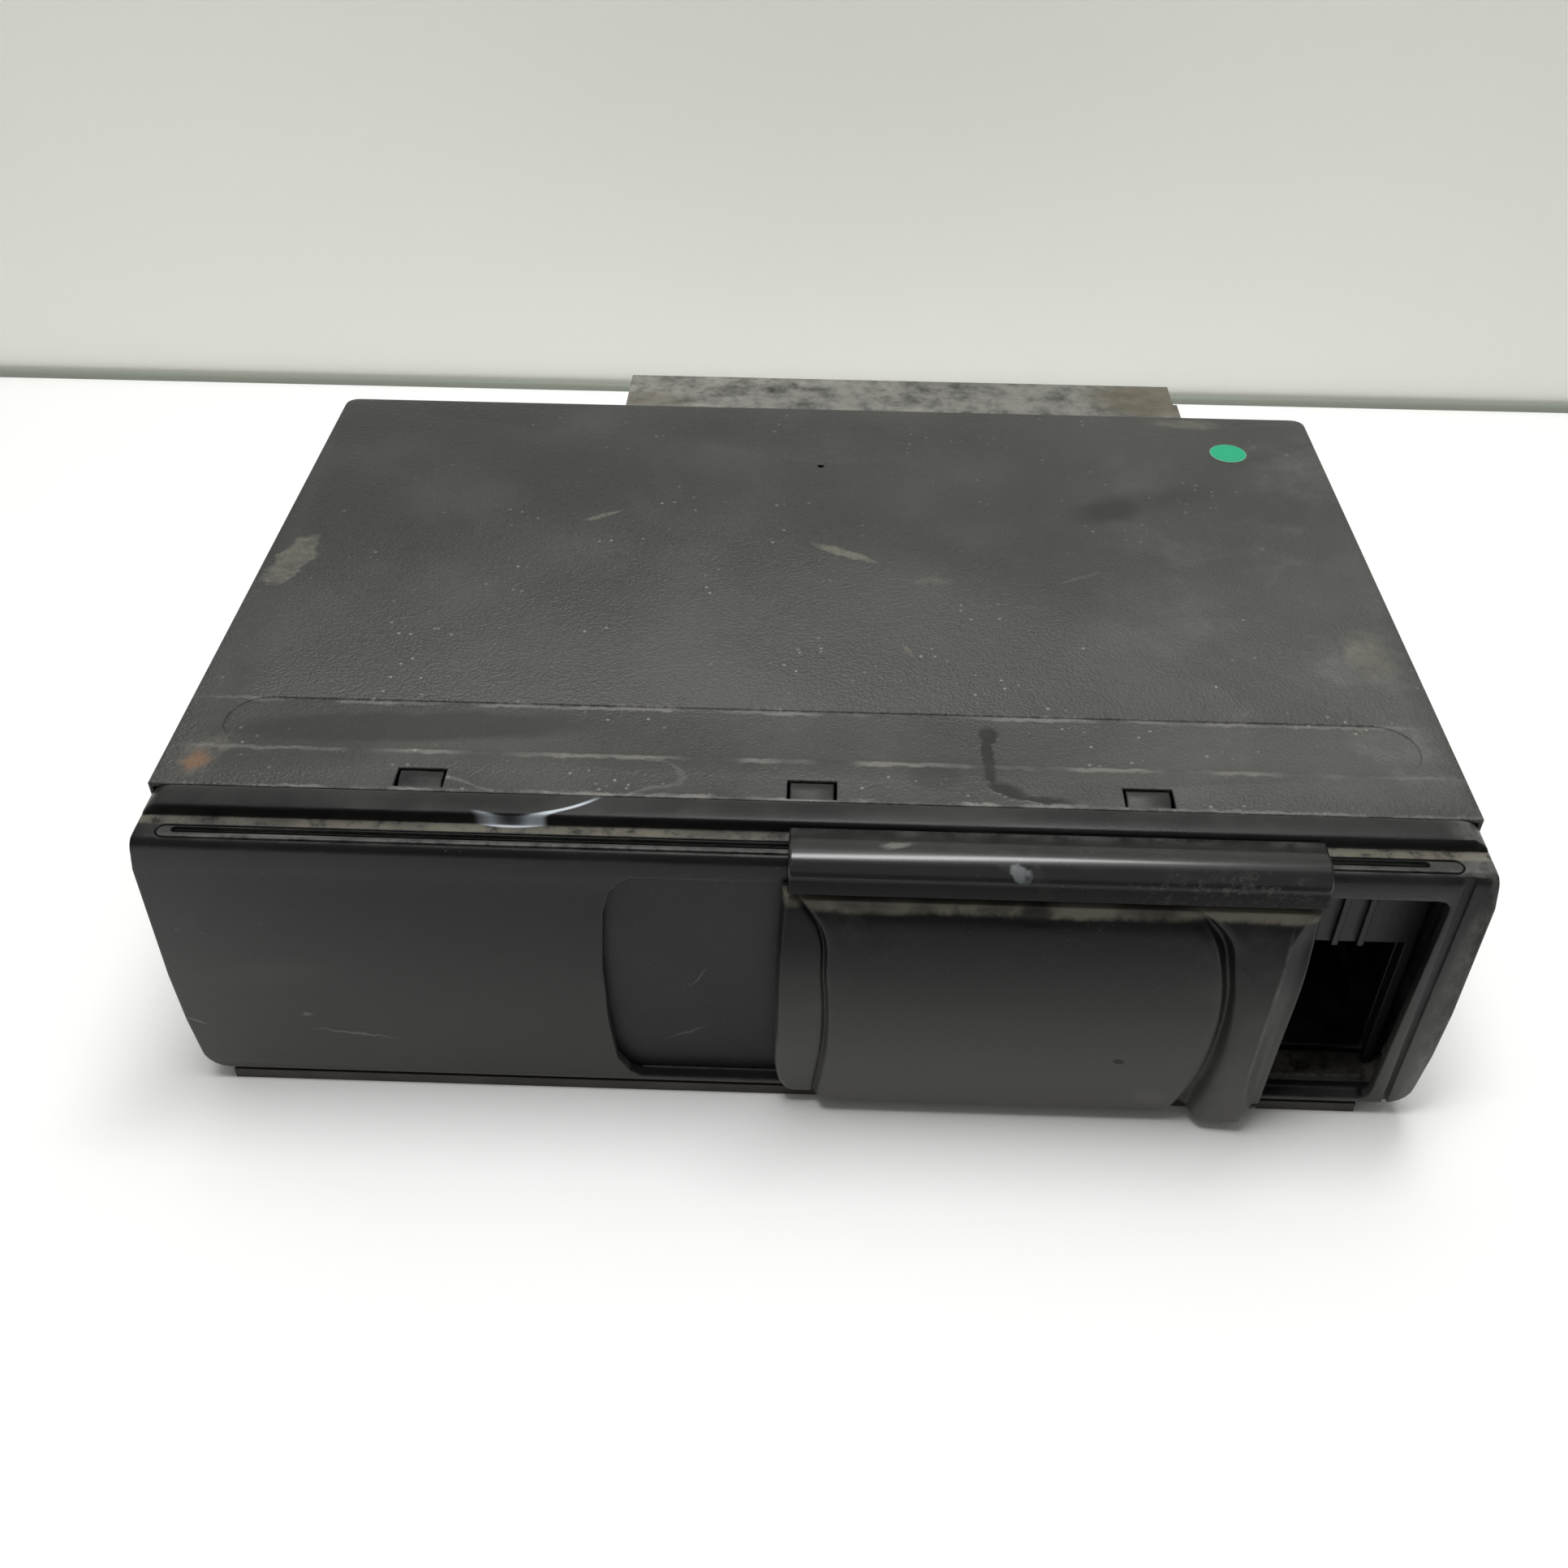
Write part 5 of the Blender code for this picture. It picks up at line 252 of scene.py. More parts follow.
def cover_paint(colour, dust):
    """Black wrinkle paint on sheet steel, filmed with dust and marked by its years in a car boot."""
    f = Finish("cover_paint")
    ragged = f.ragged(0.006, 90)
    frayed = f.ragged(0.0022, 420)
    top = f.z.rise(0.066, 0.0705)
    grain = f.noise(1500, 2.0, 0.5)
    cloud = f.noise(26, 5.0, 0.6)
    soft_cloud = f.noise(9, 3.0, 0.5, warp=0.6)
    film = cloud.rise(0.42, 0.7) * 0.07 + soft_cloud.rise(0.4, 0.72) * 0.08 + f.x.rise(0.03, 0.11) * 0.05
    front_half = f.y.rise(0.03, -0.07)
    film = film + front_half * 0.05

    sparse = f.noise(60, 2.0)
    specks = f.cells(330).rise(0.16, 0.07) * sparse.rise(0.5, 0.66) * 0.55
    grit = f.cells(900).rise(0.17, 0.06) * f.noise(140, 2.0).rise(0.52, 0.66) * 0.35
    right_dust = f.x.rise(0.03, 0.125) * f.noise(45, 5.0, 0.7).rise(0.5, 0.74)

    rim = (0.0, 0.0, 0.0)
    corner = f.patch((-0.1190, -0.070, 0.07), (0.0050, 0.011, 1), 0.6, (0, 0, -0.35), f.ragged(0.008, 170))
    scab = f.patch((-0.1198, 0.0, 0.07), (0.0044, 0.0115, 1), 0.25, (0, 0, -0.22), f.ragged(0.0055, 210))
    edge_dust = f.patch((0.1175, -0.027, 0.07), (0.006, 0.012, 1), 0.7, rim, ragged) * 0.7
    ridge_dust = f.patch((0.0951, 0.076, 0.07), (0.012, 0.0035, 1), 0.6, rim, ragged) * 0.7
    scuff_a = f.patch((0.0062, 0.0088, 0.07), (0.0085, 0.0016, 1), 0.6, (0, 0, -0.45), frayed)
    scuff_b = f.patch((-0.0515, 0.0228, 0.07), (0.0055, 0.0010, 1), 0.5, (0, 0, 0.55), frayed) * 0.8
    scuff_c = f.patch((0.0262, -0.002, 0.07), (0.0060, 0.0022, 1), 0.7, rim, frayed) * 0.6
    scuff_d = f.patch((0.0199, -0.0292, 0.07), (0.0030, 0.0007, 1), 0.4, (0, 0, -1.1), frayed) * 0.8
    scuff_e = f.patch((0.0882, 0.0096, 0.07), (0.014, 0.0012, 1), 0.8, (0, 0, 0.35), ragged) * 0.5
    scuff_f = f.patch((0.059, 0.0005, 0.07), (0.008, 0.0007, 1), 0.6, (0, 0, 0.5), frayed) * 0.6
    long_line = f.patch((-0.1145, -0.040, 0.07), (0.0003, 0.022, 1), 0.6, (0, 0, -0.035)) * 0.4
    pale = corner * 0.6 + scab * 0.75 + edge_dust + ridge_dust + scuff_a + scuff_b + scuff_c + scuff_d
    pale = pale + scuff_e + scuff_f + long_line
    pale = (pale * (0.1 + 1.4 * f.noise(520, 5.0, 0.8))).rise(0.28, 0.85) * top

    wet = f.radius((-0.048, -0.073, 0.07), (0.0235, 0.0062, 1), rim, ragged)
    outline = abs(wet - 1.0).rise(0.05, 0.0) * 0.2 * sparse.rise(0.4, 0.6)
    smear = f.patch((-0.082, -0.0590, 0.07), (0.034, 0.0048, 1), 0.25, (0, 0, 0.06), ragged)
    smudge = f.patch((0.069, 0.0305, 0.07), (0.0085, 0.0052, 1), 0.55, (0, 0, 0.45), ragged)
    tail = f.patch((0.0835, 0.037, 0.07), (0.0120, 0.0040, 1), 0.8, (0, 0, 0.35), ragged) * 0.5
    blot = f.patch((0.0238, -0.0707, 0.07), (0.0050, 0.0036, 1), 0.25, rim, frayed) * 0.55
    drip = f.patch((0.0345, -0.0650, 0.07), (0.0011, 0.0095, 1), 0.3, (0, 0, 0.03), frayed)
    drip = drip | f.patch((0.0350, -0.0575, 0.07), (0.0019, 0.0028, 1), 0.3, rim, frayed)
    drip = drip | f.patch((0.0375, -0.0745, 0.07), (0.0042, 0.0018, 1), 0.3, (0, 0, -0.5), frayed)
    drip = drip | f.patch((0.0440, -0.0768, 0.07), (0.0052, 0.0009, 1), 0.4, (0, 0, -0.1), frayed)
    dark = ((smear * 0.75 | smudge) | (tail | blot)) * top
    drip = drip * top
    fold = (f.patch((0.0, -0.0515, 0.07), (0.122, 0.0006, 1), 0.5, rim, frayed)
            | f.patch((0.0, -0.0672, 0.07), (0.122, 0.0007, 1), 0.5, rim, frayed)) * sparse.rise(0.35, 0.6) * top
    lip = f.patch((0.0, -0.0786, 0.07), (0.126, 0.0006, 1), 0.5, rim, frayed) * f.noise(120, 3.0).rise(0.4, 0.6) * top
    rust = f.patch((-0.1192, -0.0722, 0.07), (0.0022, 0.0028, 1), 0.5, rim, f.ragged(0.004, 260)) * top
    side_grime = (1.0 - top) * f.noise(70, 5.0, 0.7).rise(0.45, 0.75) * 0.3

    body = f.mixed(cloud.rise(0.3, 0.75) * 0.7, colour, tuple(1.5 * c for c in colour))
    body = f.mixed(film + right_dust * 0.22 + side_grime, body, dust)
    body = f.mixed(specks + grit + fold * 0.35 + lip * 0.4 + outline * top, body, (0.30, 0.29, 0.26))
    body = f.mixed(dark * 0.85, body, (0.008, 0.008, 0.008))
    body = f.mixed(pale * 0.42, body, (0.25, 0.24, 0.185))
    body = f.mixed(rust * 0.7, body, (0.17, 0.085, 0.04))
    body = f.mixed(drip * 0.95, body, (0.006, 0.006, 0.006))
    shine = 0.42 + film * 0.9 + pale * 0.35 + dark * 0.16 - drip * 0.22
    height = grain * (1.0 - 0.7 * (dark | drip)) * 1.6 + f.noise(500, 2.0) * 0.6 + drip * 1.6 + pale * 0.6
    return f.done(Base_Color=body, Roughness=shine, Normal=f.relief(height, 0.00016, 0.0006))


def dusty_rail(colour, dust):
    """The door's runner strip: black plastic under a beige crust of dust, rubbed bare along the slot."""
    f = Finish("dusty_rail")
    frayed = f.ragged(0.0016, 500)
    crust = f.noise(260, 6.0, 0.75)
    patchy = f.noise(38, 4.0, 0.6).rise(0.3, 0.62)
    slot = abs(f.y + 0.0883).rise(0.0008, 0.0022)
    rubbed = f.x.rise(-0.13, 0.1).rise(0.2, 0.9)
    cover = (crust.rise(0.34, 0.56) * (0.5 + 0.5 * patchy)) * (0.3 + 0.7 * slot) * (1.0 - 0.35 * rubbed)
    lump = f.patch((-0.1, -0.0885, 0.07), (0.014, 0.0012, 1), 0.5, (0, 0, 0), frayed)
    body = f.mixed(crust, colour, tuple(1.6 * c for c in colour))
    body = f.mixed((cover | lump * 0.7) * 0.62, body, dust)
    return f.done(
        Base_Color=body, Roughness=0.5 + cover * 0.35,
        Normal=f.relief(crust * 0.6 + cover * 0.8, 0.00016, 0.0004),
    )


def front_plastic(colour, dust):
    """Black moulded plastic of the front: a fine spark texture, lighter edges of rubbed wear with a painted edge
    highlight, dust where it faces up and in the corners, paler towards the bottom from dust and a painted reflection of
    the table, and a painted highlight arc on the upper strip.
    """
    f = Finish("front_plastic")
    f.surface.inputs["Specular IOR Level"].default_value = 0.3
    frayed = f.ragged(0.002, 380)
    cloud = f.noise(30, 5.0, 0.62)
    fine = f.noise(1900, 2.0, 0.5)
    up = f.facing("Z").rise(0.6, 0.95)
    strip = up * f.z.rise(0.0700, 0.0712)
    step = up * (1.0 - f.z.rise(0.0700, 0.0712)) * f.y.rise(-0.0875, -0.0868)
    crust = f.noise(300, 5.0, 0.75).rise(0.3, 0.56) * f.noise(34, 3.0).rise(0.24, 0.55)
    film = cloud.rise(0.45, 0.75) * 0.035 + strip * f.noise(55, 4.0, 0.6).rise(0.42, 0.7) * 0.06
    # Lighter edges and creases: rubbed wear, and partly a painted edge highlight.
    worn = f.edges(0.0009, 0.03, 0.2) * f.noise(150, 4.0, 0.7).rise(0.4, 0.66)
    right = f.x.rise(0.1225, 0.1262) * (1.0 - up) * f.noise(90, 5.0, 0.7, place=f.stretched((1, 1, 2.4))).rise(0.38, 0.64)
    corner = f.x.rise(0.117, 0.124) * up
    specks = f.cells(420).rise(0.12, 0.05) * f.noise(70, 2.0).rise(0.56, 0.68) * 0.3
    scratch = f.patch((-0.0928, -0.0917, 0.0160), (0.0065, 1, 0.0003), 0.6, (0, 0.14, 0), frayed)
    scratch = scratch | f.patch((-0.1016, -0.0917, 0.0214), (0.0010, 1, 0.0006), 0.5, (0, -0.1, 0), frayed)
    scratch = scratch | f.patch((-0.1252, -0.0917, 0.0184), (0.0020, 1, 0.0003), 0.5, (0, 0.4, 0), frayed)
    haze = f.patch((-0.107, -0.0917, 0.0335), (0.011, 1, 0.0030), 0.8, (0, -0.1, 0), frayed) * 0.05
    # Painted highlight: a thin blue-white arc on the upper strip left of the middle, a glint drawn into the colour.
    glint = abs(f.radius((-0.0562, -0.0586, 0.07), (0.0265, 0.0265, 1)) - 1.0).rise(0.020, 0.006)
    glint = glint * f.x.rise(-0.0640, -0.0590) * f.x.rise(-0.0385, -0.0440) * f.y.rise(-0.079, -0.080)
    # Paler towards the bottom on the faces that don't face up: partly dust, partly a painted reflection of the white
    # table in front.
    low = f.z.rise(0.066, 0.004) * (1.0 - up)
    body = f.mixed(cloud.rise(0.3, 0.8) * 0.6, colour, tuple(1.4 * c for c in colour))
    body = f.mixed(low * (0.15 + cloud * 0.07), body, dust)
    body = f.mixed(film + specks + haze + right * 0.8 + corner * crust * 0.4, body, dust)
    body = f.mixed(step * crust * 0.55, body, (0.21, 0.195, 0.15))
    body = f.mixed(worn * 0.14 + scratch * 0.3, body, (0.28, 0.28, 0.27))
    body = f.mixed(glint * 0.75, body, (0.62, 0.68, 0.74))
    shine = 0.33 + film * 1.5 + step * crust * 0.4 + right * 0.25 + worn * 0.06 + cloud.rise(0.4, 0.7) * 0.07
    height = fine * 0.7 + f.noise(800, 2.0) * 0.3 - scratch * 0.8 + step * crust * 0.6
    return f.done(Base_Color=body, Roughness=shine, Normal=f.relief(height, 0.00006, 0.0007))


def hood_plastic(colour, dust):
    """The hood: satin black plastic in a darker copy of the front's colour, a painted shade, with a film of dust on
    top, chipped and scuffed along its rolled edge, and lighter edges of rubbed wear with a painted edge highlight.
    """
    f = Finish("hood_plastic")
    f.surface.inputs["Specular IOR Level"].default_value = 0.12
    f.surface.inputs["Coat Roughness"].default_value = 0.24
    f.surface.inputs["Coat IOR"].default_value = 1.85
    frayed = f.ragged(0.0022, 420)
    cloud = f.noise(40, 5.0, 0.62)
    up = f.facing("Z").rise(0.55, 0.98)
    fine = f.noise(1700, 2.0, 0.5)
    specks = f.cells(520).rise(0.13, 0.05) * f.noise(80, 2.0).rise(0.46, 0.62)
    chip = f.patch((0.0290, -0.0900, 0.0713), (0.0050, 0.0011, 0.01), 0.35, (0, 0, -0.08), frayed)
    chip = chip | f.patch((0.0355, -0.0925, 0.0713), (0.0018, 0.0022, 0.01), 0.35, (0, 0, 0.5), frayed)
    flake = f.patch((0.0385, -0.0946, 0.0698), (0.0024, 0.0014, 0.0022), 0.25, (0, 0, -0.5), f.ragged(0.0040, 300))
    scar = f.patch((0.0425, -0.0937, 0.0672), (0.0012, 0.01, 0.0055), 0.4, (0, -0.35, 0), frayed)
    small = f.patch((0.0161, -0.0900, 0.0713), (0.0026, 0.0008, 0.01), 0.5, (0, 0, 0.2), frayed) * 0.5
    edge_right = f.patch((0.0790, -0.0937, 0.0655), (0.020, 0.01, 0.0040), 0.5, (0, 0, 0), frayed)
    soil = edge_right * f.noise(420, 5.0, 0.8).rise(0.5, 0.62)
    pepper = f.cells(700).rise(0.16, 0.05) * f.noise(110, 3.0).rise(0.45, 0.6) * f.x.rise(0.03, 0.07)
    # Lighter edges: rubbed wear, and partly a painted edge highlight.
    worn = f.edges(0.0008, 0.05, 0.25) * f.noise(180, 4.0, 0.7).rise(0.42, 0.64)
    # Painted shade: the hood takes 0.3 to 0.5 of the front's plastic colour, a darker copy of the same plastic for its
    # dark face.
    body = f.mixed(cloud.rise(0.3, 0.8) * 0.6, tuple(0.3 * c for c in colour), tuple(0.5 * c for c in colour))
    body = f.mixed(up * (0.01 + cloud.rise(0.4, 0.75) * 0.04) + specks * 0.2 + soil * 0.3 + small, body, dust)
    body = f.mixed(worn * 0.14, body, (0.28, 0.28, 0.27))
    body = f.mixed((chip | scar) * 0.85, body, (0.012, 0.012, 0.011))
    body = f.mixed(flake * 0.8, body, (0.19, 0.21, 0.215))
    body = f.mixed(pepper * 0.5, body, (0.006, 0.006, 0.006))
    shine = 0.30 + up * 0.10 + soil * 0.35 + (chip | scar) * 0.1 + specks * 0.1 + cloud.rise(0.4, 0.7) * 0.05
    height = fine * 0.6 + f.noise(420, 3.0) * 0.5 - (chip | scar) * 1.4 - flake * 0.8 + soil * 0.7
    coat = f.z.rise(0.0665, 0.0692) * (1.0 - up * 0.6)
    return f.done(Base_Color=body, Roughness=shine, Coat_Weight=coat, Normal=f.relief(height, 0.00008))


def panel_plastic(colour, dust):
    """The door's panel: silky black plastic in a darker copy of the front's colour, a painted shade. It is rubbed
    towards its rim, has a painted highlight along the grip's crest and dust packed under the hood's edge and in the
    groove, and grows paler towards the bottom, partly from dust and partly as a painted reflection of the table.
    """
    f = Finish("panel_plastic")
    f.surface.inputs["Specular IOR Level"].default_value = 0.2
    frayed = f.ragged(0.0030, 300)
    cloud = f.noise(34, 5.0, 0.6)
    fine = f.noise(2100, 2.0, 0.5)
    packed = f.z.rise(0.0575, 0.0621) * f.noise(140, 5.0, 0.75, place=frayed)
    packed = packed.rise(0.16, 0.42) * (0.35 + 0.65 * f.noise(60, 3.0).rise(0.4, 0.62))
    wedge = f.patch((0.0815, -0.094, 0.0612), (0.0115, 1, 0.0048), 0.35, (0, 0, 0), frayed)
    roll = f.radius((0.0425, -0.0917, 0.0290), (0.0372, 1, 0.036))
    up = f.facing("Z").rise(0.25, 0.8)
    # Painted highlight: a thin pale line along the grip's crest, broken by noise, in the dust colour.
    crest = f.patch((0.0896, -0.098, 0.028), (0.0005, 1, 0.028), 0.5, (0, 0.012, 0)) * f.noise(120, 4.0, 0.7).rise(0.4, 0.62) * 0.3
    rub = f.noise(52, 4.0, 0.6).rise(0.5, 0.72) * roll.rise(0.75, 1.1) * 0.10
    spot = f.patch((0.0632, -0.096, 0.0205), (0.0011, 1, 0.0009), 0.3, (0, 0, 0), frayed)
    kiss = f.patch((0.0712, -0.096, 0.0085), (0.0036, 1, 0.0024), 0.4, (0, 0.4, 0), frayed) * 0.16
    nick = f.patch((0.0833, -0.098, 0.0500), (0.0008, 1, 0.0040), 0.4, (0, -0.25, 0), frayed)
    hairs = f.noise(160, 3.0, place=f.stretched((0.06, 1, 1.6), (0, 0.5, 0))).rise(0.62, 0.7) * 0.12
    cut = f.patch((0.0420, -0.096, 0.0606), (0.0030, 1, 0.0022), 0.4, (0, 0, 0), frayed)
    specks = f.cells(620).rise(0.12, 0.05) * f.noise(90, 2.0).rise(0.5, 0.64) * f.z.rise(0.03, 0.055)
    # Painted shade: the panel takes 0.4 to 0.6 of the front's plastic colour, a darker copy of the same plastic.
    body = f.mixed(cloud.rise(0.3, 0.8) * 0.6, tuple(0.4 * c for c in colour), tuple(0.6 * c for c in colour))
    # Paler towards the bottom: partly dust, partly a painted reflection of the white table in front.
    body = f.mixed(f.z.rise(0.058, 0.001) * (0.42 + cloud * 0.06), body, dust)
    body = f.mixed(packed * 0.55 + wedge * packed.rise(0.0, 0.5) * 0.5, body, (0.24, 0.225, 0.175))
    body = f.mixed(rub + crest + kiss + specks * 0.35 + hairs * 0.25, body, dust)
    body = f.mixed((spot | nick | cut) * 0.8, body, (0.006, 0.006, 0.006))
    shine = 0.31 + packed * 0.4 + rub * 0.5 + cloud.rise(0.4, 0.7) * 0.06 + up * 0.02
    height = fine * 0.7 + packed * 0.9 - (spot | nick | cut) * 1.2 - hairs * 0.5
    return f.done(Base_Color=body, Roughness=shine, Normal=f.relief(height, 0.00006))


def leaf_plastic(colour):
    """The inner leaf: smoother and blacker than the front, wiped clean but for a few hairline scratches."""
    f = Finish("leaf_plastic")
    f.surface.inputs["Specular IOR Level"].default_value = 0.30
    frayed = f.ragged(0.0015, 400)
    cloud = f.noise(50, 4.0, 0.6)
    scratch = f.patch((-0.0240, -0.0905, 0.0165), (0.0040, 1, 0.00022), 0.6, (0, -0.45, 0), frayed)
    scratch = scratch | f.patch((-0.0215, -0.0905, 0.0330), (0.0028, 1, 0.00018), 0.6, (0, -1.0, 0), frayed)
    body = f.mixed(cloud.rise(0.3, 0.75) * 0.5, colour, tuple(1.35 * c for c in colour))
    body = f.mixed(scratch * 0.3 + f.cells(500).rise(0.1, 0.04) * 0.2, body, (0.2, 0.2, 0.2))
    return f.done(
        Base_Color=body, Roughness=0.40 + cloud.rise(0.4, 0.7) * 0.08,
        Normal=f.relief(f.noise(1600, 2.0), 0.00004, 0.0004),
    )


def pan_steel():
    """The pan under the case: dark plated steel, brown with dirt in patches and dark brown all along its front edge."""
    f = Finish("pan_steel")
    soil = f.noise(45, 5.0, 0.68).rise(0.36, 0.64)
    rolled = f.noise(70, 3.0, place=f.stretched((0.9, 0.02, 0.02)))
    # Dark brown and less metallic all along the front edge.
    front = f.y.rise(-0.080, -0.0885)
    body = f.mixed(rolled, (0.060, 0.058, 0.052), (0.095, 0.092, 0.082))
    body = f.mixed((soil * 0.6 | front * 0.75), body, (0.036, 0.028, 0.019))
    return f.done(
        Base_Color=body, Roughness=0.45 + soil * 0.25, Metallic=0.6 - (soil | front) * 0.45,
        Normal=f.relief(soil * 0.6 + rolled * 0.4, 0.00006, 0.0003),
    )


def plain_plastic(name, colour, shine=0.45, grain=1600):
    """Moulded plastic that is seen little: a fine grain, a faint mottle and a little dust on what faces up."""
    f = Finish(name)
    cloud = f.noise(48, 4.0, 0.6)
    dust = f.facing("Z").rise(0.5, 0.95) * cloud.rise(0.4, 0.7) * 0.18
    body = f.mixed(cloud.rise(0.3, 0.75), colour, tuple(1.3 * c for c in colour))
    body = f.mixed(dust, body, (0.26, 0.25, 0.22))
    return f.done(Base_Color=body, Roughness=shine + dust, Normal=f.relief(f.noise(grain, 2.0), 0.00004, 0.0004))


def plated_sheet(name, colour, grime, shine=0.38):
    """Zinc-plated sheet steel: crystals of two greys, rolling lines along the width, grime in patches."""
    f = Finish(name)
    crystal = f.node("ShaderNodeTexVoronoi", {"feature": "F1"}, {"Vector": f.place, "Scale": 190.0})
    spangle = f.node("ShaderNodeSeparateColor", values={"Color": crystal.outputs["Color"]})
    tone = Reading(f, spangle.outputs[0])
    rolled = f.noise(60, 3.0, place=f.stretched((0.9, 0.012, 0.012)))
    soil = f.noise(28, 5.0, 0.68).rise(0.5, 0.74)
    body = f.mixed(tone * 0.5 + rolled * 0.5, tuple(0.8 * c for c in colour), colour)
    body = f.mixed(soil * grime, body, (0.10, 0.085, 0.06))
    metal = 1.0 - soil * grime * 0.9
    return f.done(
        Base_Color=body, Roughness=shine + tone * 0.08 + soil * grime * 0.4, Metallic=metal,
        Normal=f.relief(rolled * 0.5 + soil * 0.5, 0.00004, 0.0003),
    )


def bracket_steel(colour):
    """Dark painted bracket: paint worn through to brown at one end, crusted with dried mud along the fold."""
    f = Finish("bracket_steel")
    frayed = f.ragged(0.004, 240)
    cloud = f.noise(60, 5.0, 0.68, place=f.stretched((2.2, 1.0, 1.0)))
    streak = f.noise(40, 5.0, 0.7, place=f.stretched((4.0, 0.9, 1.0)))
    crust = streak.rise(0.5, 0.66) * f.noise(300, 4.0, 0.7).rise(0.34, 0.62)
    low = f.y.rise(0.0885, 0.0800)
    end = f.patch((0.088, 0.0905, 0.07), (0.016, 0.010, 1), 0.35, (0, 0, 0), frayed)
    left = f.patch((-0.046, 0.083, 0.07), (0.010, 0.0045, 1), 0.5, (0, 0, 0), frayed)
    body = f.mixed(cloud.rise(0.3, 0.7), colour, tuple(1.9 * c for c in colour))
    body = f.mixed(f.noise(160, 5.0, 0.7).rise(0.25, 0.65) * 0.75, body, (0.27, 0.265, 0.24))
    body = f.mixed(crust * (0.45 + 0.5 * low), body, (0.30, 0.285, 0.24))
    body = f.mixed((end * 0.7) | (left * 0.5), body, (0.115, 0.10, 0.065))
    return f.done(
        Base_Color=body, Roughness=0.5 + crust * 0.3 + end * 0.15, Metallic=0.35 * (1.0 - crust),
        Normal=f.relief(crust + cloud * 0.4, 0.00018, 0.0004),
    )


def polished_steel(name, colour=(0.62, 0.62, 0.62), shine=0.22, lines=(0.01, 0.01, 0.4)):
    """Ground or drawn steel: fine lines along one way, a few dull spots."""
    f = Finish(name)
    drawn = f.noise(90, 3.0, place=f.stretched(lines))
    dull = f.noise(300, 3.0).rise(0.55, 0.7)
    body = f.mixed(drawn, tuple(0.82 * c for c in colour), colour)
    return f.done(
        Base_Color=body, Roughness=shine + drawn * 0.1 + dull * 0.2, Metallic=1.0,
        Normal=f.relief(drawn, 0.00001, 0.0001),
    )


def blacked_screw():
    """Blackened screw: bare steel showing where the driver and the sheet have rubbed it."""
    f = Finish("blacked_screw")
    rubbed = f.noise(900, 4.0, 0.7).rise(0.5, 0.66)
    body = f.mixed(rubbed, (0.03, 0.03, 0.032), (0.24, 0.23, 0.21))
    return f.done(
        Base_Color=body, Roughness=0.42 - rubbed * 0.08, Metallic=0.55 + rubbed * 0.4,
        Normal=f.relief(f.noise(1400, 2.0), 0.00003, 0.0002),
    )


def acetal():
    """Natural acetal: off-white, waxy, greased to a faint amber in places."""
    f = Finish("acetal")
    grease = f.noise(140, 3.0, 0.6).rise(0.5, 0.68)
    body = f.mixed(grease * 0.6, (0.68, 0.67, 0.62), (0.55, 0.47, 0.30))
    return f.done(
        Base_Color=body, Roughness=0.38 - grease * 0.16,
        Normal=f.relief(f.noise(800, 2.0), 0.00002, 0.0002),
    )


def rubber_mount():
    """Soft black rubber with a bloom."""
    f = Finish("rubber_mount")
    bloom = f.noise(400, 4.0, 0.7).rise(0.4, 0.7)
    body = f.mixed(bloom * 0.5, (0.013, 0.013, 0.014), (0.07, 0.07, 0.068))
    return f.done(Base_Color=body, Roughness=0.72 + bloom * 0.15, Normal=f.relief(bloom, 0.00003, 0.0003))


def turned_brass():
    """Turned brass, tarnished in the hollows."""
    f = Finish("turned_brass")
    tarnish = f.noise(500, 4.0, 0.65).rise(0.42, 0.7)
    body = f.mixed(tarnish, (0.62, 0.46, 0.20), (0.30, 0.19, 0.08))
    return f.done(
        Base_Color=body, Roughness=0.25 + tarnish * 0.25, Metallic=1.0,
        Normal=f.relief(tarnish, 0.00002, 0.0001),
    )


def pickup_resin():
    """Grey filled resin of the pickup's carriage, with a moulded sparkle."""
    f = Finish("pickup_resin")
    fleck = f.cells(1500).rise(0.16, 0.06)
    body = f.mixed(fleck * 0.4 + f.noise(80, 3.0) * 0.3, (0.09, 0.09, 0.095), (0.21, 0.21, 0.22))
    return f.done(
        Base_Color=body, Roughness=0.42 + fleck * 0.1, Metallic=0.15,
        Normal=f.relief(f.noise(1200, 2.0), 0.00003, 0.0002),
    )


def coated_lens():
    """Clear moulded lens with a blue-violet coating."""
    f = Finish("coated_lens")
    tint = f.mixed(f.noise(700, 2.0), (0.05, 0.07, 0.22), (0.10, 0.05, 0.24))
    haze = f.noise(1800, 3.0).rise(0.5, 0.75) * 0.08
    return f.done(Base_Color=tint, Roughness=0.05 + haze, Coat_Weight=0.8)


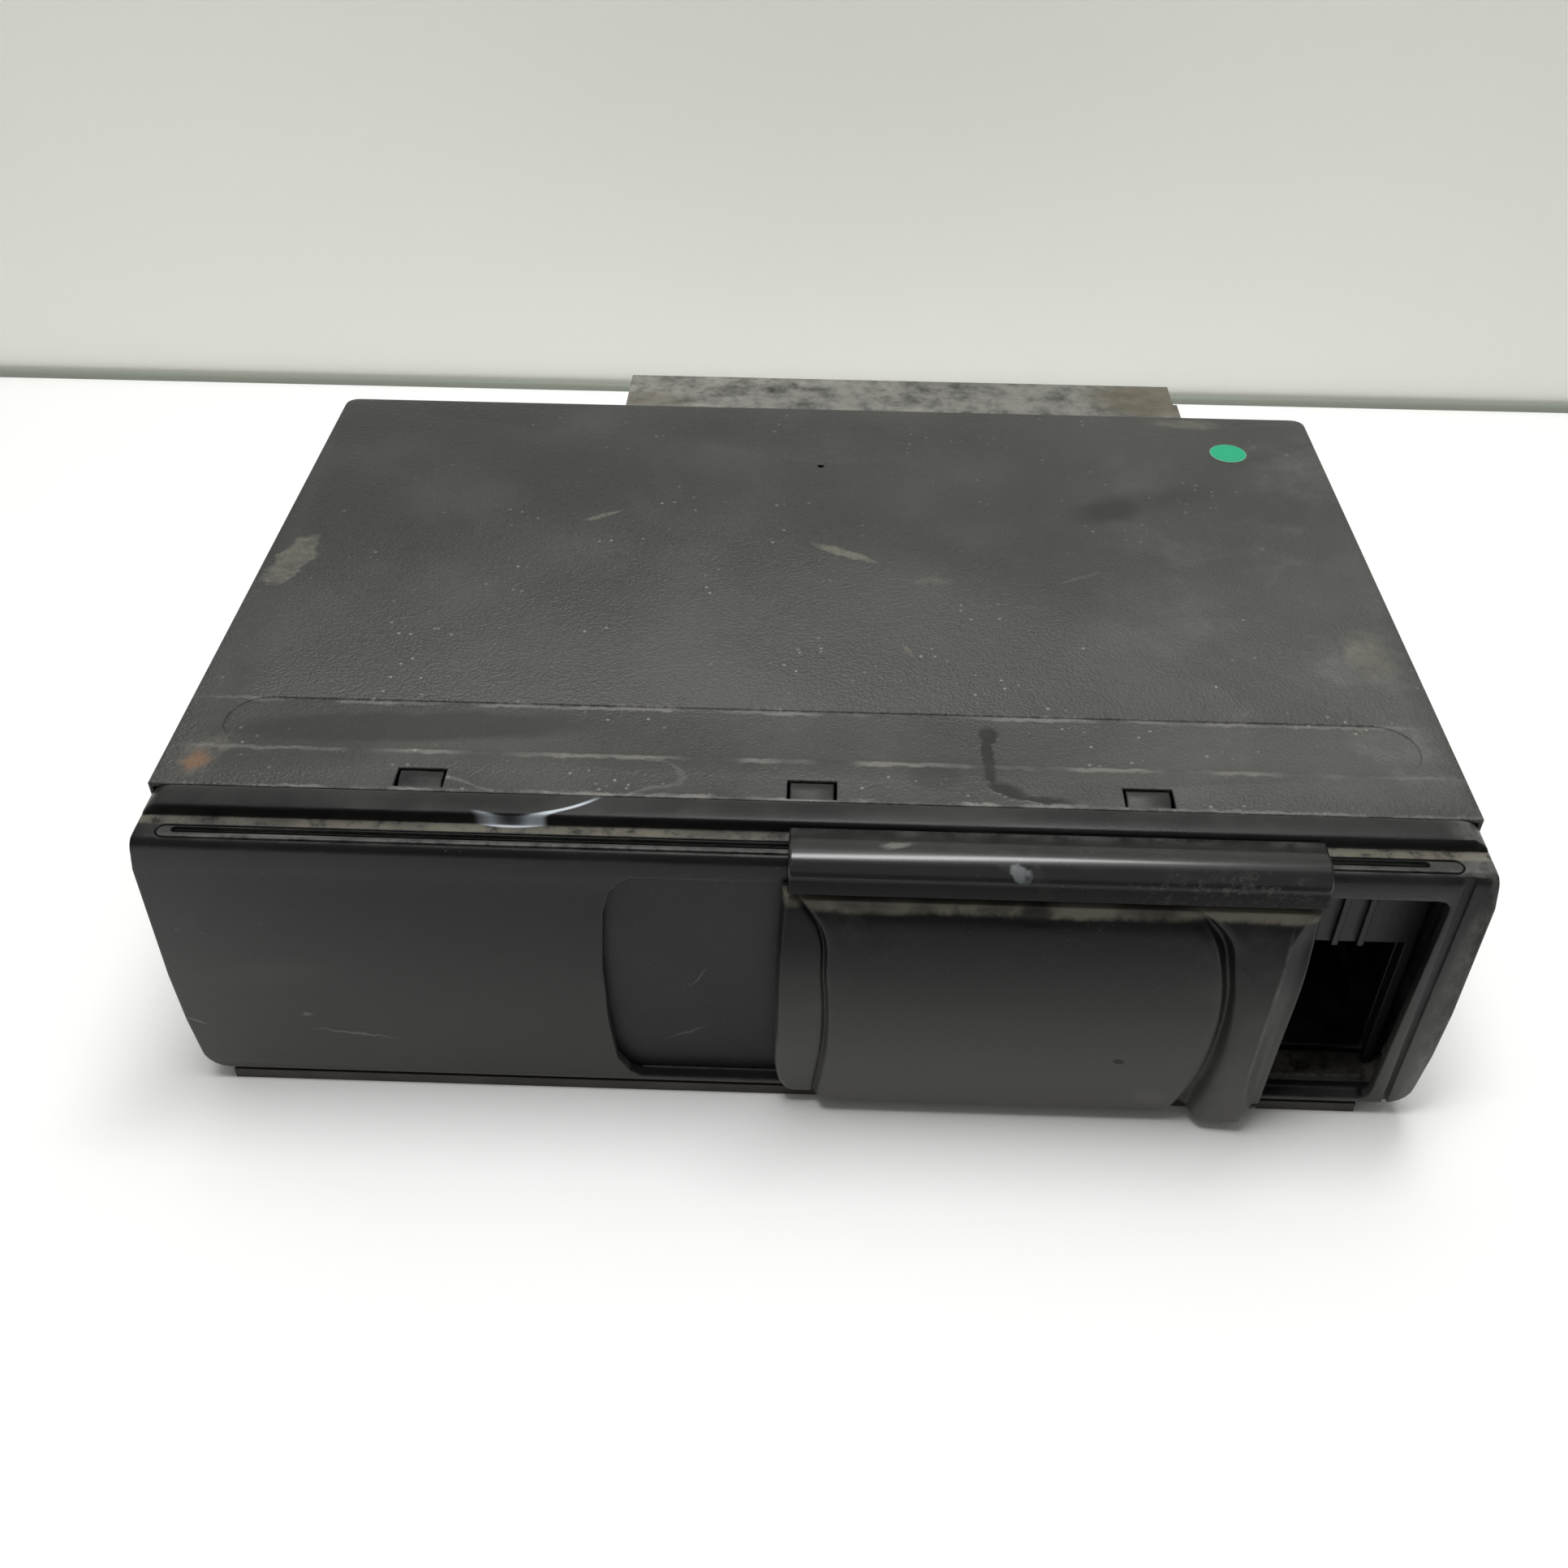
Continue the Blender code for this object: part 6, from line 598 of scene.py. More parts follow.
def circuit_board():
    """Green solder mask over copper tracks, with tinned pads. What stands on the board is black."""
    f = Finish("circuit_board")
    low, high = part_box("main_board")
    face = frame_board_face(low, high)
    track = f.node("ShaderNodeTexBrick", {"offset": 0.37, "squash": 1.6}, {
        "Vector": f.place, "Scale": 150.0, "Mortar Size": 0.10, "Color1": (0, 0, 0, 1), "Color2": (0, 0, 0, 1),
        "Mortar": (1, 1, 1, 1),
    })
    line = Reading(f, f.node("ShaderNodeSeparateColor", values={"Color": track.outputs["Color"]}).outputs[0])
    pads = f.cells(260, spread=0.35).rise(0.26, 0.2)
    mask = f.mixed(line * 0.5, (0.012, 0.085, 0.035), (0.03, 0.17, 0.07))
    mask = f.mixed(pads * 0.8, mask, (0.50, 0.49, 0.45))
    stands = f.z.rise(*face)
    part = f.mixed(f.noise(120, 2.0), (0.018, 0.018, 0.02), (0.035, 0.035, 0.036))
    body = f.mixed(stands, mask, part)
    return f.done(
        Base_Color=body, Roughness=0.32 + f.noise(600, 3.0) * 0.2,
        Normal=f.relief(line * (1.0 - stands), 0.00004, 0.0003),
    )


def frame_board_face(low, high):
    """The two heights between which the board's own plate ends and its parts begin."""
    plate = 1.7 * MM
    return (high[2] - plate - 0.1 * MM, high[2] - plate - 0.3 * MM)


def sticker_paper(colour):
    """A round inspection dot: matt green paper with a paler torn rim."""
    f = Finish("sticker_paper")
    fibre = f.noise(1500, 4.0, 0.7)
    from_middle = f.radius((0.1035, 0.0605, 0.07), (0.0046, 0.0046, 1))
    rim = from_middle.rise(0.94, 0.99)
    body = f.mixed(fibre * 0.35, colour, tuple(0.8 * c for c in colour))
    body = f.mixed(rim * 0.6, body, (0.35, 0.45, 0.38))
    return f.done(Base_Color=body, Roughness=0.55 + fibre * 0.2, Normal=f.relief(fibre, 0.00003))


# Shapes


def grid_piece(name, points, closed_u=False, closed_v=False):
    """A new piece from an (m, n, 3) grid of points, with a quad between each four neighbours."""
    rows, columns = points.shape[:2]
    u = np.arange(rows if closed_u else rows - 1)
    v = np.arange(columns if closed_v else columns - 1)
    u, v = (axis.ravel() for axis in np.meshgrid(u, v, indexing="ij"))
    across, along = (u + 1) % rows, (v + 1) % columns
    faces = np.stack([u * columns + v, across * columns + v, across * columns + along, u * columns + along], axis=1)
    return new_piece(name, points.reshape(-1, 3), faces)


def new_piece(name, points, faces):
    """A mesh object at the origin, with its place in its mesh and its faces smooth."""
    mesh = bpy.data.meshes.new(name)
    mesh.from_pydata(np.asarray(points).tolist(), [], np.asarray(faces).tolist())
    mesh.update()
    mesh.shade_smooth()
    piece = bpy.data.objects.new(name, mesh)
    bpy.context.scene.collection.objects.link(piece)
    return piece


def stage_piece(name, points, faces):
    piece = new_piece(name, points, faces)
    return piece


# Stage


def stage_finish(name, colour, roughness, marks=0.0):
    """Plain pale board, with a few specks. The table darkens beyond the near edge of the photograph."""
    f = Finish(name)
    f.surface.inputs["Specular IOR Level"].default_value = 0.2
    cloud = f.noise(3.0, 3.0)
    body = f.mixed(cloud.rise(0.3, 0.7), colour, tuple(min(1.0, 1.02 * c) for c in colour))
    if marks:
        fleck = f.cells(36).rise(0.045, 0.02) * f.noise(7.0, 2.0).rise(0.55, 0.62)
        body = f.mixed(fleck * marks, body, (0.12, 0.12, 0.11))
        body = f.mixed(f.y.rise(-0.205, -0.235), body, (0.10, 0.10, 0.10))
    return f.done(Base_Color=body, Roughness=roughness)


class StageSizes(bpy.types.PropertyGroup):
    """The camera that took the photograph, and the table, wall and lamps round the object."""

    camera_place: bpy.props.FloatVectorProperty(
        name="Camera place", description="Where the photograph was taken from",
        default=(0.000639, -0.304588, 0.267941), subtype="TRANSLATION", unit="LENGTH",
    )
    pitch: bpy.props.FloatProperty(
        name="Pitch", description="How far the camera looks down", default=math.radians(40.385), subtype="ANGLE",
    )
    yaw: bpy.props.FloatProperty(
        name="Yaw", description="How far the camera turns to the left", default=math.radians(1.4475), subtype="ANGLE",
    )
    roll: bpy.props.FloatProperty(
        name="Roll", description="How far the camera leans", default=math.radians(-0.650), subtype="ANGLE",
    )
    lens: bpy.props.FloatProperty(
        name="Lens", description="Focal length in millimetres on a 36 mm sensor", default=36.357,
    )
    seam: bpy.props.FloatProperty(
        name="Seam", description="How far behind the origin the table meets the wall", default=0.232, unit="LENGTH",
    )
    table_colour: bpy.props.FloatVectorProperty(
        name="Table colour", description="Colour of the white table", default=(0.93, 0.93, 0.925), subtype="COLOR",
    )
    wall_colour: bpy.props.FloatVectorProperty(
        name="Wall colour", description="Colour of the wall behind", default=(0.93, 0.935, 0.875), subtype="COLOR",
    )
    key_power: bpy.props.FloatProperty(
        name="Overhead lamp", description="Power of the large soft lamp overhead, in watts", default=8.4,
    )
    sky: bpy.props.FloatProperty(
        name="Room light", description="Strength of the even light from the room", default=0.22,
    )


class CHANGER_OT_stage(bpy.types.Operator):
    """Lays the table, the wall and its seam, hangs the lamps and sets the camera where the photograph was taken"""

    bl_idname = "changer.stage"
    bl_label = "Stage"

    def execute(self, context):
        sizes = context.scene.changer_stage
        scene = context.scene
        scene.view_settings.view_transform = "Standard"
        back, reach, tall = sizes.seam, 3.0, 2.5
        table = stage_piece(
            "stage_table",
            [(-reach, -reach, 0), (reach, -reach, 0), (reach, back, 0), (-reach, back, 0)], [(0, 1, 2, 3)],
        )
        wall = stage_piece(
            "stage_wall",
            [(-reach, back + 0.002, -0.02), (reach, back + 0.002, -0.02), (reach, back + 0.002, tall),
             (-reach, back + 0.002, tall)], [(0, 1, 2, 3)],
        )
        angle = np.linspace(0, math.pi, 13)
        ends = np.array([-reach, reach])
        bead = np.empty((2, 13, 3))
        bead[..., 0] = ends[:, None]
        bead[..., 1] = back + 0.0015 * np.cos(angle)
        bead[..., 2] = 0.0025 * np.sin(angle)
        seam = grid_piece("stage_seam", bead)
        dress(stage_finish("table_white", tuple(sizes.table_colour), 0.5, 0.5), "stage_table")
        dress(stage_finish("wall_pale", tuple(sizes.wall_colour), 0.7), "stage_wall")
        dress(stage_finish("seam_grey", (0.25, 0.27, 0.23), 0.4), "stage_seam")

        world = scene.world or bpy.data.worlds.new("room")
        scene.world = world
        world.use_nodes = True
        backdrop = world.node_tree.nodes["Background"]
        backdrop.inputs["Color"].default_value = (1.0, 1.0, 0.985, 1.0)
        backdrop.inputs["Strength"].default_value = sizes.sky
        self.hang("overhead", (0.02, -0.02, 1.0), (0.0, 0.0, 0.0), (0.75, 0.22), sizes.key_power)
        self.hang("ceiling", (0.0, 0.25, 1.3), (0.0, 0.0, 0.0), (1.8, 1.2), sizes.key_power * 0.35)
        self.place_camera(scene, sizes)
        return {"FINISHED"}

    def hang(self, name, place, target, size, power):
        lamp = bpy.data.lights.new(name, "AREA")
        lamp.shape = "RECTANGLE"
        lamp.size, lamp.size_y = size
        lamp.energy = power
        holder = bpy.data.objects.new(name, lamp)
        holder.location = place
        holder.rotation_euler = (Vector(target) - Vector(place)).to_track_quat("-Z", "Y").to_euler()
        bpy.context.scene.collection.objects.link(holder)

    def place_camera(self, scene, sizes):
        """Builds the camera's axes from its pitch, yaw and roll."""
        level = Vector((-math.sin(sizes.yaw), math.cos(sizes.yaw), 0.0))
        right = Vector((math.cos(sizes.yaw), math.sin(sizes.yaw), 0.0))
        up = Vector((0.0, 0.0, 1.0))
        ahead = math.cos(sizes.pitch) * level - math.sin(sizes.pitch) * up
        above = math.sin(sizes.pitch) * level + math.cos(sizes.pitch) * up
        turned_right = math.cos(sizes.roll) * right - math.sin(sizes.roll) * above
        turned_up = math.sin(sizes.roll) * right + math.cos(sizes.roll) * above
        camera = bpy.data.cameras.new("camera")
        camera.lens = sizes.lens
        camera.sensor_width = 36.0
        camera.sensor_fit = "HORIZONTAL"
        camera.clip_start = 0.01
        holder = bpy.data.objects.new("camera", camera)
        turn = Matrix((turned_right, turned_up, -ahead)).transposed().to_4x4()
        holder.matrix_world = Matrix.Translation(Vector(sizes.camera_place)) @ turn
        scene.collection.objects.link(holder)
        scene.camera = holder


def merge(piece, distance):
    """Closes poles and seams, and turns every face outwards."""
    bm = bmesh.new()
    bm.from_mesh(piece.data)
    bmesh.ops.remove_doubles(bm, verts=bm.verts, dist=distance)
    bmesh.ops.recalc_face_normals(bm, faces=bm.faces)
    bm.to_mesh(piece.data)
    bm.free()


def softened(node, radius, steps=3, angle=28.0):
    """A copy of a CAD node whose loose triangles are joined into flat faces and whose edges are rolled over a radius."""
    source = frame["nodes"][node]
    mesh = source.data.copy()
    mesh.name = node + "_skin"
    bm = bmesh.new()
    bm.from_mesh(mesh)
    bmesh.ops.remove_doubles(bm, verts=bm.verts, dist=2e-6)
    bmesh.ops.dissolve_limit(bm, angle_limit=math.radians(0.6), verts=bm.verts, edges=bm.edges)
    bm.to_mesh(mesh)
    bm.free()
    mesh.shade_smooth()
    piece = bpy.data.objects.new(node + "_skin", mesh)
    bpy.context.scene.collection.objects.link(piece)
    bevel = piece.modifiers.new("rolled edges", "BEVEL")
    bevel.width = radius
    bevel.segments = steps
    bevel.limit_method = "ANGLE"
    bevel.angle_limit = math.radians(angle)
    bevel.harden_normals = True
    bevel.use_clamp_overlap = True
    return stand_in(piece, node)


def stand_in(piece, node):
    """The piece takes the CAD node's place and body: it joins the node's body and the node is hidden."""
    body = next(name for name, nodes in frame["record"]["behaviour"]["bodies"].items() if node in nodes)
    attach(piece, body)
    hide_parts(node)
    return piece


def eased(t):
    """Rises from 0 to 1 with level ends."""
    t = np.clip(t, 0.0, 1.0)
    return t * t * (3.0 - 2.0 * t)


def rounded(t):
    """A quarter circle: from 0 with a steep start to 1 with a level end."""
    t = np.clip(t, 0.0, 1.0)
    return np.sqrt(np.clip(1.0 - (1.0 - t) ** 2, 0.0, 1.0))


def through(z, stations):
    """A smooth line across the height: the value at z on the curve through (height, value) stations."""
    heights, values = np.array(sorted(stations)).T
    slopes = np.gradient(values, heights)
    index = np.clip(np.searchsorted(heights, z) - 1, 0, len(heights) - 2)
    step = heights[index + 1] - heights[index]
    t = np.clip((z - heights[index]) / step, 0.0, 1.0)
    return (
        (1 + 2 * t) * (1 - t) ** 2 * values[index] + t * (1 - t) ** 2 * step * slopes[index]
        + t * t * (3 - 2 * t) * values[index + 1] + t * t * (t - 1) * step * slopes[index + 1]
    )


def joined(a, b, blend):
    """The larger of two heights, with the crease between them filled over a blend."""
    share = np.clip(0.5 + 0.5 * (a - b) / blend, 0.0, 1.0)
    return b + (a - b) * share + blend * share * (1.0 - share)


def closed_sheet(name, front, back):
    """A closed body between two grids of the same size: its front, its back, and a strip round their rims."""
    rows, columns = front.shape[:2]
    points = np.concatenate([front.reshape(-1, 3), back.reshape(-1, 3)])
    u, v = (axis.ravel() for axis in np.meshgrid(np.arange(rows - 1), np.arange(columns - 1), indexing="ij"))
    corner = u * columns + v
    face = np.stack([corner, corner + columns, corner + columns + 1, corner + 1], axis=1)
    offset = rows * columns
    rim = np.concatenate([
        np.arange(columns), np.arange(1, rows) * columns + columns - 1,
        (rows - 1) * columns + np.arange(columns - 2, -1, -1), np.arange(rows - 2, -1, -1) * columns,
    ])
    strip = np.stack([rim[:-1], rim[1:], rim[1:] + offset, rim[:-1] + offset], axis=1)
    piece = new_piece(name, points, np.concatenate([face, face[:, ::-1] + offset, strip]))
    merge(piece, 1e-7)
    return piece


def block(low, high, roll=0.00015):
    """A box as six faces, with its place in its mesh and its edges rolled."""
    corners = np.array([[x, y, z] for x in (low[0], high[0]) for y in (low[1], high[1]) for z in (low[2], high[2])])
    faces = [(0, 1, 3, 2), (4, 6, 7, 5), (0, 4, 5, 1), (2, 3, 7, 6), (0, 2, 6, 4), (1, 5, 7, 3)]
    bm = bmesh.new()
    verts = [bm.verts.new(corner) for corner in corners]
    for face in faces:
        bm.faces.new([verts[i] for i in face])
    bmesh.ops.bevel(bm, geom=list(bm.edges), offset=roll, segments=2, profile=0.5, affect="EDGES")
    return bm


def absorb(piece, bm):
    """Adds a finished part mesh to a piece."""
    own = bmesh.new()
    own.from_mesh(piece.data)
    other = bpy.data.meshes.new("part")
    bm.to_mesh(other)
    bm.free()
    own.from_mesh(other)
    own.to_mesh(piece.data)
    own.free()
    bpy.data.meshes.remove(other)
    piece.data.shade_smooth()


def swept(name, sections):
    """A closed body from an (m, n, 3) array: m closed sections of n points, joined in order and capped at both ends."""
    count, points = sections.shape[:2]
    u, v = (axis.ravel() for axis in np.meshgrid(np.arange(count - 1), np.arange(points), indexing="ij"))
    along = (v + 1) % points
    sides = np.stack([u * points + v, (u + 1) * points + v, (u + 1) * points + along, u * points + along], axis=1)
    faces = sides.tolist() + [list(range(points)), list(range((count - 1) * points, count * points))[::-1]]
    mesh = bpy.data.meshes.new(name)
    mesh.from_pydata(sections.reshape(-1, 3).tolist(), [], faces)
    piece = bpy.data.objects.new(name, mesh)
    bpy.context.scene.collection.objects.link(piece)
    merge(piece, 1e-7)
    mesh.shade_auto_smooth() if hasattr(mesh, "shade_auto_smooth") else mesh.shade_smooth()
    return piece


def eased_corner(x, z, corner, radius, inward):
    """Pulls the points of a square corner onto a quarter circle, and gives their distance from it."""
    dx = (x - corner[0]) * inward[0]
    dz = (z - corner[1]) * inward[1]
    inside = (dx < radius) & (dz < radius)
    out_x, out_z = radius - dx, radius - dz
    reach = np.sqrt(out_x ** 2 + out_z ** 2)
    over = inside & (reach > radius)
    pull = np.where(over, radius / np.maximum(reach, 1e-9), 1.0)
    new_x = corner[0] + inward[0] * (radius - out_x * pull)
    new_z = corner[1] + inward[1] * (radius - out_z * pull)
    x = np.where(over, new_x, x)
    z = np.where(over, new_z, z)
    distance = np.where(inside, np.maximum(radius - reach, 0.0), np.inf)
    return x, z, distance


# Door


FRONT = -0.09165  # the plane of the front moulding


class DoorShape(bpy.types.PropertyGroup):
    """Sizes of the sliding door's hood and panel, as the photograph shows them."""

    left: bpy.props.FloatProperty(name="Left end", description="Left end of the hood", default=-0.0038, unit="LENGTH", precision=5)
    right: bpy.props.FloatProperty(name="Right end", description="Right end of hood and panel", default=0.0954, unit="LENGTH", precision=5)
    hood_top: bpy.props.FloatProperty(name="Hood top", description="Height of the hood's top", default=0.0713, unit="LENGTH", precision=5)
    hood_bottom: bpy.props.FloatProperty(name="Hood bottom", description="Height of the hood's lower edge", default=0.0632, unit="LENGTH", precision=5)
    hood_front: bpy.props.FloatProperty(name="Hood front", description="How far the hood stands out", default=0.0038, unit="LENGTH", precision=5)
    hood_roll: bpy.props.FloatProperty(name="Hood roll", description="Radius of the hood's front edge", default=0.0042, unit="LENGTH", precision=5)
    end_roll: bpy.props.FloatProperty(name="End roll", description="Radius at the hood's two ends", default=0.0007, unit="LENGTH", precision=5)
    panel_top: bpy.props.FloatProperty(name="Panel top", description="Height of the panel's top edge", default=0.0622, unit="LENGTH", precision=5)
    panel_bottom: bpy.props.FloatProperty(name="Panel bottom", description="Height of the panel's lower edge", default=0.0034, unit="LENGTH", precision=5)
    base: bpy.props.FloatProperty(name="Base", description="How far the plain panel stands out", default=0.0050, unit="LENGTH", precision=5)
    field: bpy.props.FloatProperty(name="Field", description="How far the raised middle stands out", default=0.0060, unit="LENGTH", precision=5)
    grip: bpy.props.FloatProperty(name="Grip", description="How far the grip stands out", default=0.0065, unit="LENGTH", precision=5)
    strip: bpy.props.FloatProperty(name="Strip", description="How far the strip right of the grip stands out", default=0.0050, unit="LENGTH", precision=5)


# Each line runs up the panel as (height share, place in metres)
PANEL_LEFT = ((0, -0.0045), (0.07, -0.0055), (0.42, -0.0060), (0.66, -0.0059), (1, -0.0048))
FIELD_LEFT = ((0, 0.0023), (0.32, 0.0041), (0.51, 0.0041), (0.65, 0.0036), (0.9, 0.0019), (1, -0.0018))
FIELD_RIGHT = ((0, 0.0768), (0.14, 0.0797), (0.34, 0.0812), (0.51, 0.0813), (0.72, 0.0794), (0.87, 0.0768), (1, 0.0723))
GRIP_LEFT = ((0, 0.0800), (0.2, 0.0825), (0.5, 0.0826), (0.72, 0.0811), (0.9, 0.0779), (1, 0.0719))
GRIP_CREST = ((0, 0.0900), (0.12, 0.0895), (0.45, 0.0891), (0.74, 0.0896), (0.87, 0.0900), (1, 0.0927))
PANEL_SECTION = ((0, 0.3), (0.08, 0.37), (0.22, 0.54), (0.4, 0.73), (0.57, 0.93), (0.71, 1.0), (0.88, 0.80), (1, 0.6))
FIELD_SECTION = ((0, 0.62), (0.1, 0.72), (0.25, 0.83), (0.42, 0.92), (0.6, 0.99), (0.72, 1.0), (0.84, 0.95), (0.92, 0.86), (1, 0.66))
GRIP_SECTION = ((0, 0.92), (0.07, 1.0), (0.5, 1.0), (0.7, 0.98), (0.8, 0.92), (0.9, 0.8), (1, 0.62))


class CHANGER_OT_door(bpy.types.Operator):
    """Shapes the hood and the panel of the sliding door as smooth skins, and finishes them and the inner leaf"""

    bl_idname = "changer.door"
    bl_label = "Door"

    def execute(self, context):
        looks, shape = context.scene.changer_case, context.scene.changer_door
        plastic, dust = tuple(looks.plastic), tuple(looks.dust)
        hood = stand_in(self.hood(shape), "door_carriage")
        panel = stand_in(self.panel(shape), "door_panel")
        dress(hood_plastic(plastic, dust), hood.name)
        dress(panel_plastic(plastic, dust), panel.name)
        dress(leaf_plastic((0.0125, 0.013, 0.0135)), "inner_door_leaf")
        return {"FINISHED"}

    def hood(self, shape):
        """The hood's section, carried along the width. Near each end its outer line draws in by a quarter circle: roll - sqrt(roll^2 - (roll - t)^2) at a distance t from the end."""
        front, top, bottom = -shape.hood_front, shape.hood_top, shape.hood_bottom
        roll, foot = shape.hood_roll, 0.0003
        turn = np.radians(np.linspace(180, 90, 13))
        low = np.radians(np.linspace(270, 180, 5))
        outer = np.concatenate([
            np.stack([front + foot + foot * np.cos(low), bottom + foot + foot * np.sin(low)], axis=1),
            np.stack([front + roll + roll * np.cos(turn), top - roll + roll * np.sin(turn)], axis=1),
            [[0.0057, top]],
        ])
        normal = np.concatenate([
            np.stack([np.cos(low), np.sin(low)], axis=1), np.stack([np.cos(turn), np.sin(turn)], axis=1), [[0, 1]],
        ])
        normal[:5] = (-1.0, 0.0)
        inner = np.array([
            (0.0057, 0.06925), (-0.00035, 0.06925), (-0.00035, bottom + 0.0028), (front + 0.00085, bottom + 0.0028),
            (front + 0.00085, bottom),
        ])
        end = shape.end_roll
        t = end * (1.0 - np.cos(np.linspace(0, math.pi / 2, 7)))
        stations = np.concatenate([shape.left + t, shape.right - t[::-1]])
        depth = end - np.sqrt(np.maximum(end ** 2 - (end - t) ** 2, 0.0))
        depth = np.concatenate([depth, depth[::-1]])
        sections = np.empty((len(stations), len(outer) + len(inner), 3))
        sections[..., 0] = stations[:, None]
        sections[:, :len(outer), 1:] = outer - depth[:, None, None] * normal
        sections[:, len(outer):, 1:] = inner
        sections[..., 1] += FRONT
        piece = swept("door_hood", sections)
        for start in (shape.left + 0.0015, shape.right - 0.018):
            absorb(piece, block((start, FRONT + 0.0029, 0.0662), (start + 0.012, FRONT + 0.0039, 0.0693)))
            absorb(piece, block((start, FRONT + 0.0024, 0.0645), (start + 0.012, FRONT + 0.0049, 0.0666)))
        return piece

    def panel(self, shape):
        """The panel's front as a height over its back, out towards the viewer, at each place x across and z up."""
        x = np.concatenate([
            np.linspace(-0.0060, -0.0045, 6, endpoint=False), np.linspace(-0.0045, 0.0070, 44, endpoint=False),
            np.linspace(0.0070, 0.0680, 44, endpoint=False), np.linspace(0.0680, 0.0949, 118, endpoint=False),
            np.linspace(0.0949, shape.right, 7),
        ])
        low, top = shape.panel_bottom, shape.panel_top
        z = np.concatenate([
            np.linspace(low - 0.001, low + 0.003, 20, endpoint=False), np.linspace(low + 0.003, 0.048, 30, endpoint=False),
            np.linspace(0.048, top - 0.0008, 30, endpoint=False), np.linspace(top - 0.0008, top, 6),
        ])
        x, z = np.meshgrid(x, z, indexing="ij")
        drop = 0.001 * eased((x - 0.0785) / 0.0025) * eased((0.0915 - x) / 0.0025)
        share = np.clip((z - low) / (top - low), 0, 1)
        left = through(share, PANEL_LEFT)
        x = np.maximum(x, left)
        z = np.maximum(z, low - drop)
        x, z, from_left_corner = eased_corner(x, z, (-0.0048, low), 0.0030, (1, 1))
        x, z, from_right_corner = eased_corner(x, z, (shape.right, low), 0.0012, (-1, 1))
        share = np.clip((z - low) / (top - low), 0, 1)
        rim = np.minimum.reduce([
            x - through(share, PANEL_LEFT), shape.right - x, z - (low - drop), top - z + 0.0002,
            from_left_corner, from_right_corner,
        ])
        rim = np.maximum(rim, 0.0)

        field_left, field_right = through(share, FIELD_LEFT), through(share, FIELD_RIGHT)
        grip_left, crest = through(share, GRIP_LEFT), through(share, GRIP_CREST)
        height = shape.base * through(share, PANEL_SECTION)
        plain = height
        middle = (field_left + field_right) / 2
        groove = np.exp(-(((x - (field_right + grip_left) / 2) / 0.0008) ** 2)) * eased((top - z) / 0.010)
        field = np.maximum(shape.field * through(share, FIELD_SECTION) - plain, 0.0)
        field = field * rounded((x - field_left) / 0.0019) * rounded((field_right - x) / 0.0034)
        field = field * (1.0 - 0.04 * ((x - middle) / 0.04) ** 2)
        across = np.clip((x - grip_left) / (crest - grip_left), 0, 1)
        ridge = rounded((x - grip_left) / 0.0030) * (0.86 + 0.14 * across)
        fall = np.clip((crest + 0.0040 - x) / 0.0040, 0, 1)
        ridge = ridge * np.where(x > crest, fall ** 1.25, 1.0)
        stands = np.minimum(through(share, GRIP_SECTION), 1.0)
        grip = np.maximum(shape.grip * stands - plain, 0.0) * ridge
        height = joined(plain + field, plain + grip, 0.0004) - 0.0011 * groove
        height = height - 0.0007 * np.exp(-(((x - field_left + 0.0002) / 0.0005) ** 2))
        back = 0.00035
        height = back + (height - back) * rounded(rim / 0.0012)
        front = np.stack([x, FRONT - height, z], axis=-1)
        behind = np.stack([x, np.full_like(x, FRONT - back), z], axis=-1)
        piece = closed_sheet("door_plate", front, behind)
        right = shape.right
        absorb(piece, block((-0.002, FRONT - 0.0009, 0.0608), (right - 0.0018, FRONT - 0.00035, 0.0657), 0.0001))
        absorb(piece, block((right - 0.0079, FRONT - 0.0019, 0.0029), (right - 0.0009, FRONT + 0.0030, 0.0037)))
        return piece


# Pieces


class CaseLooks(bpy.types.PropertyGroup):
    """Colours of the case, its front and the dust on them."""

    paint: bpy.props.FloatVectorProperty(
        name="Paint", description="Colour of the cover's black paint", default=(0.016, 0.016, 0.0156),
        subtype="COLOR", precision=4,
    )
    plastic: bpy.props.FloatVectorProperty(
        name="Front plastic", description="Colour of the moulded front", default=(0.0065, 0.0068, 0.0072),
        subtype="COLOR", precision=4,
    )
    dust: bpy.props.FloatVectorProperty(
        name="Dust", description="Colour of the dust film", default=(0.20, 0.195, 0.18), subtype="COLOR",
    )
    zinc: bpy.props.FloatVectorProperty(
        name="Plating", description="Colour of the zinc plating", default=(0.50, 0.49, 0.46), subtype="COLOR",
    )


class CHANGER_OT_case(bpy.types.Operator):
    """Finishes the cover, the front, the pan, the rear panel, the bracket and their screws"""

    bl_idname = "changer.case"
    bl_label = "Case"

    def execute(self, context):
        looks = context.scene.changer_case
        plastic, dust, zinc = (tuple(value) for value in (looks.plastic, looks.dust, looks.zinc))
        bezel = softened("front_bezel", 0.0006)
        cover = softened("top_cover", 0.00025, 2)
        bracket = softened("rear_bracket", 0.0003, 2)
        dress(cover_paint(tuple(looks.paint), dust), cover.name)
        dress(front_plastic(plastic, dust), bezel.name)
        dress(dusty_rail(plastic, dust), "slide_rail")
        dress(pan_steel(), "bottom_pan")
        dress(plated_sheet("grimy_sheet", zinc, 0.7), "rear_panel")
        dress(bracket_steel((0.022, 0.022, 0.021)), bracket.name)
        dress(plain_plastic("socket_plastic", (0.014, 0.014, 0.015)), "data_socket")
        screws = [name for name in frame["nodes"] if name.startswith(("cover_screw", "bracket_screw"))]
        dress(blacked_screw(), *screws)
        return {"FINISHED"}


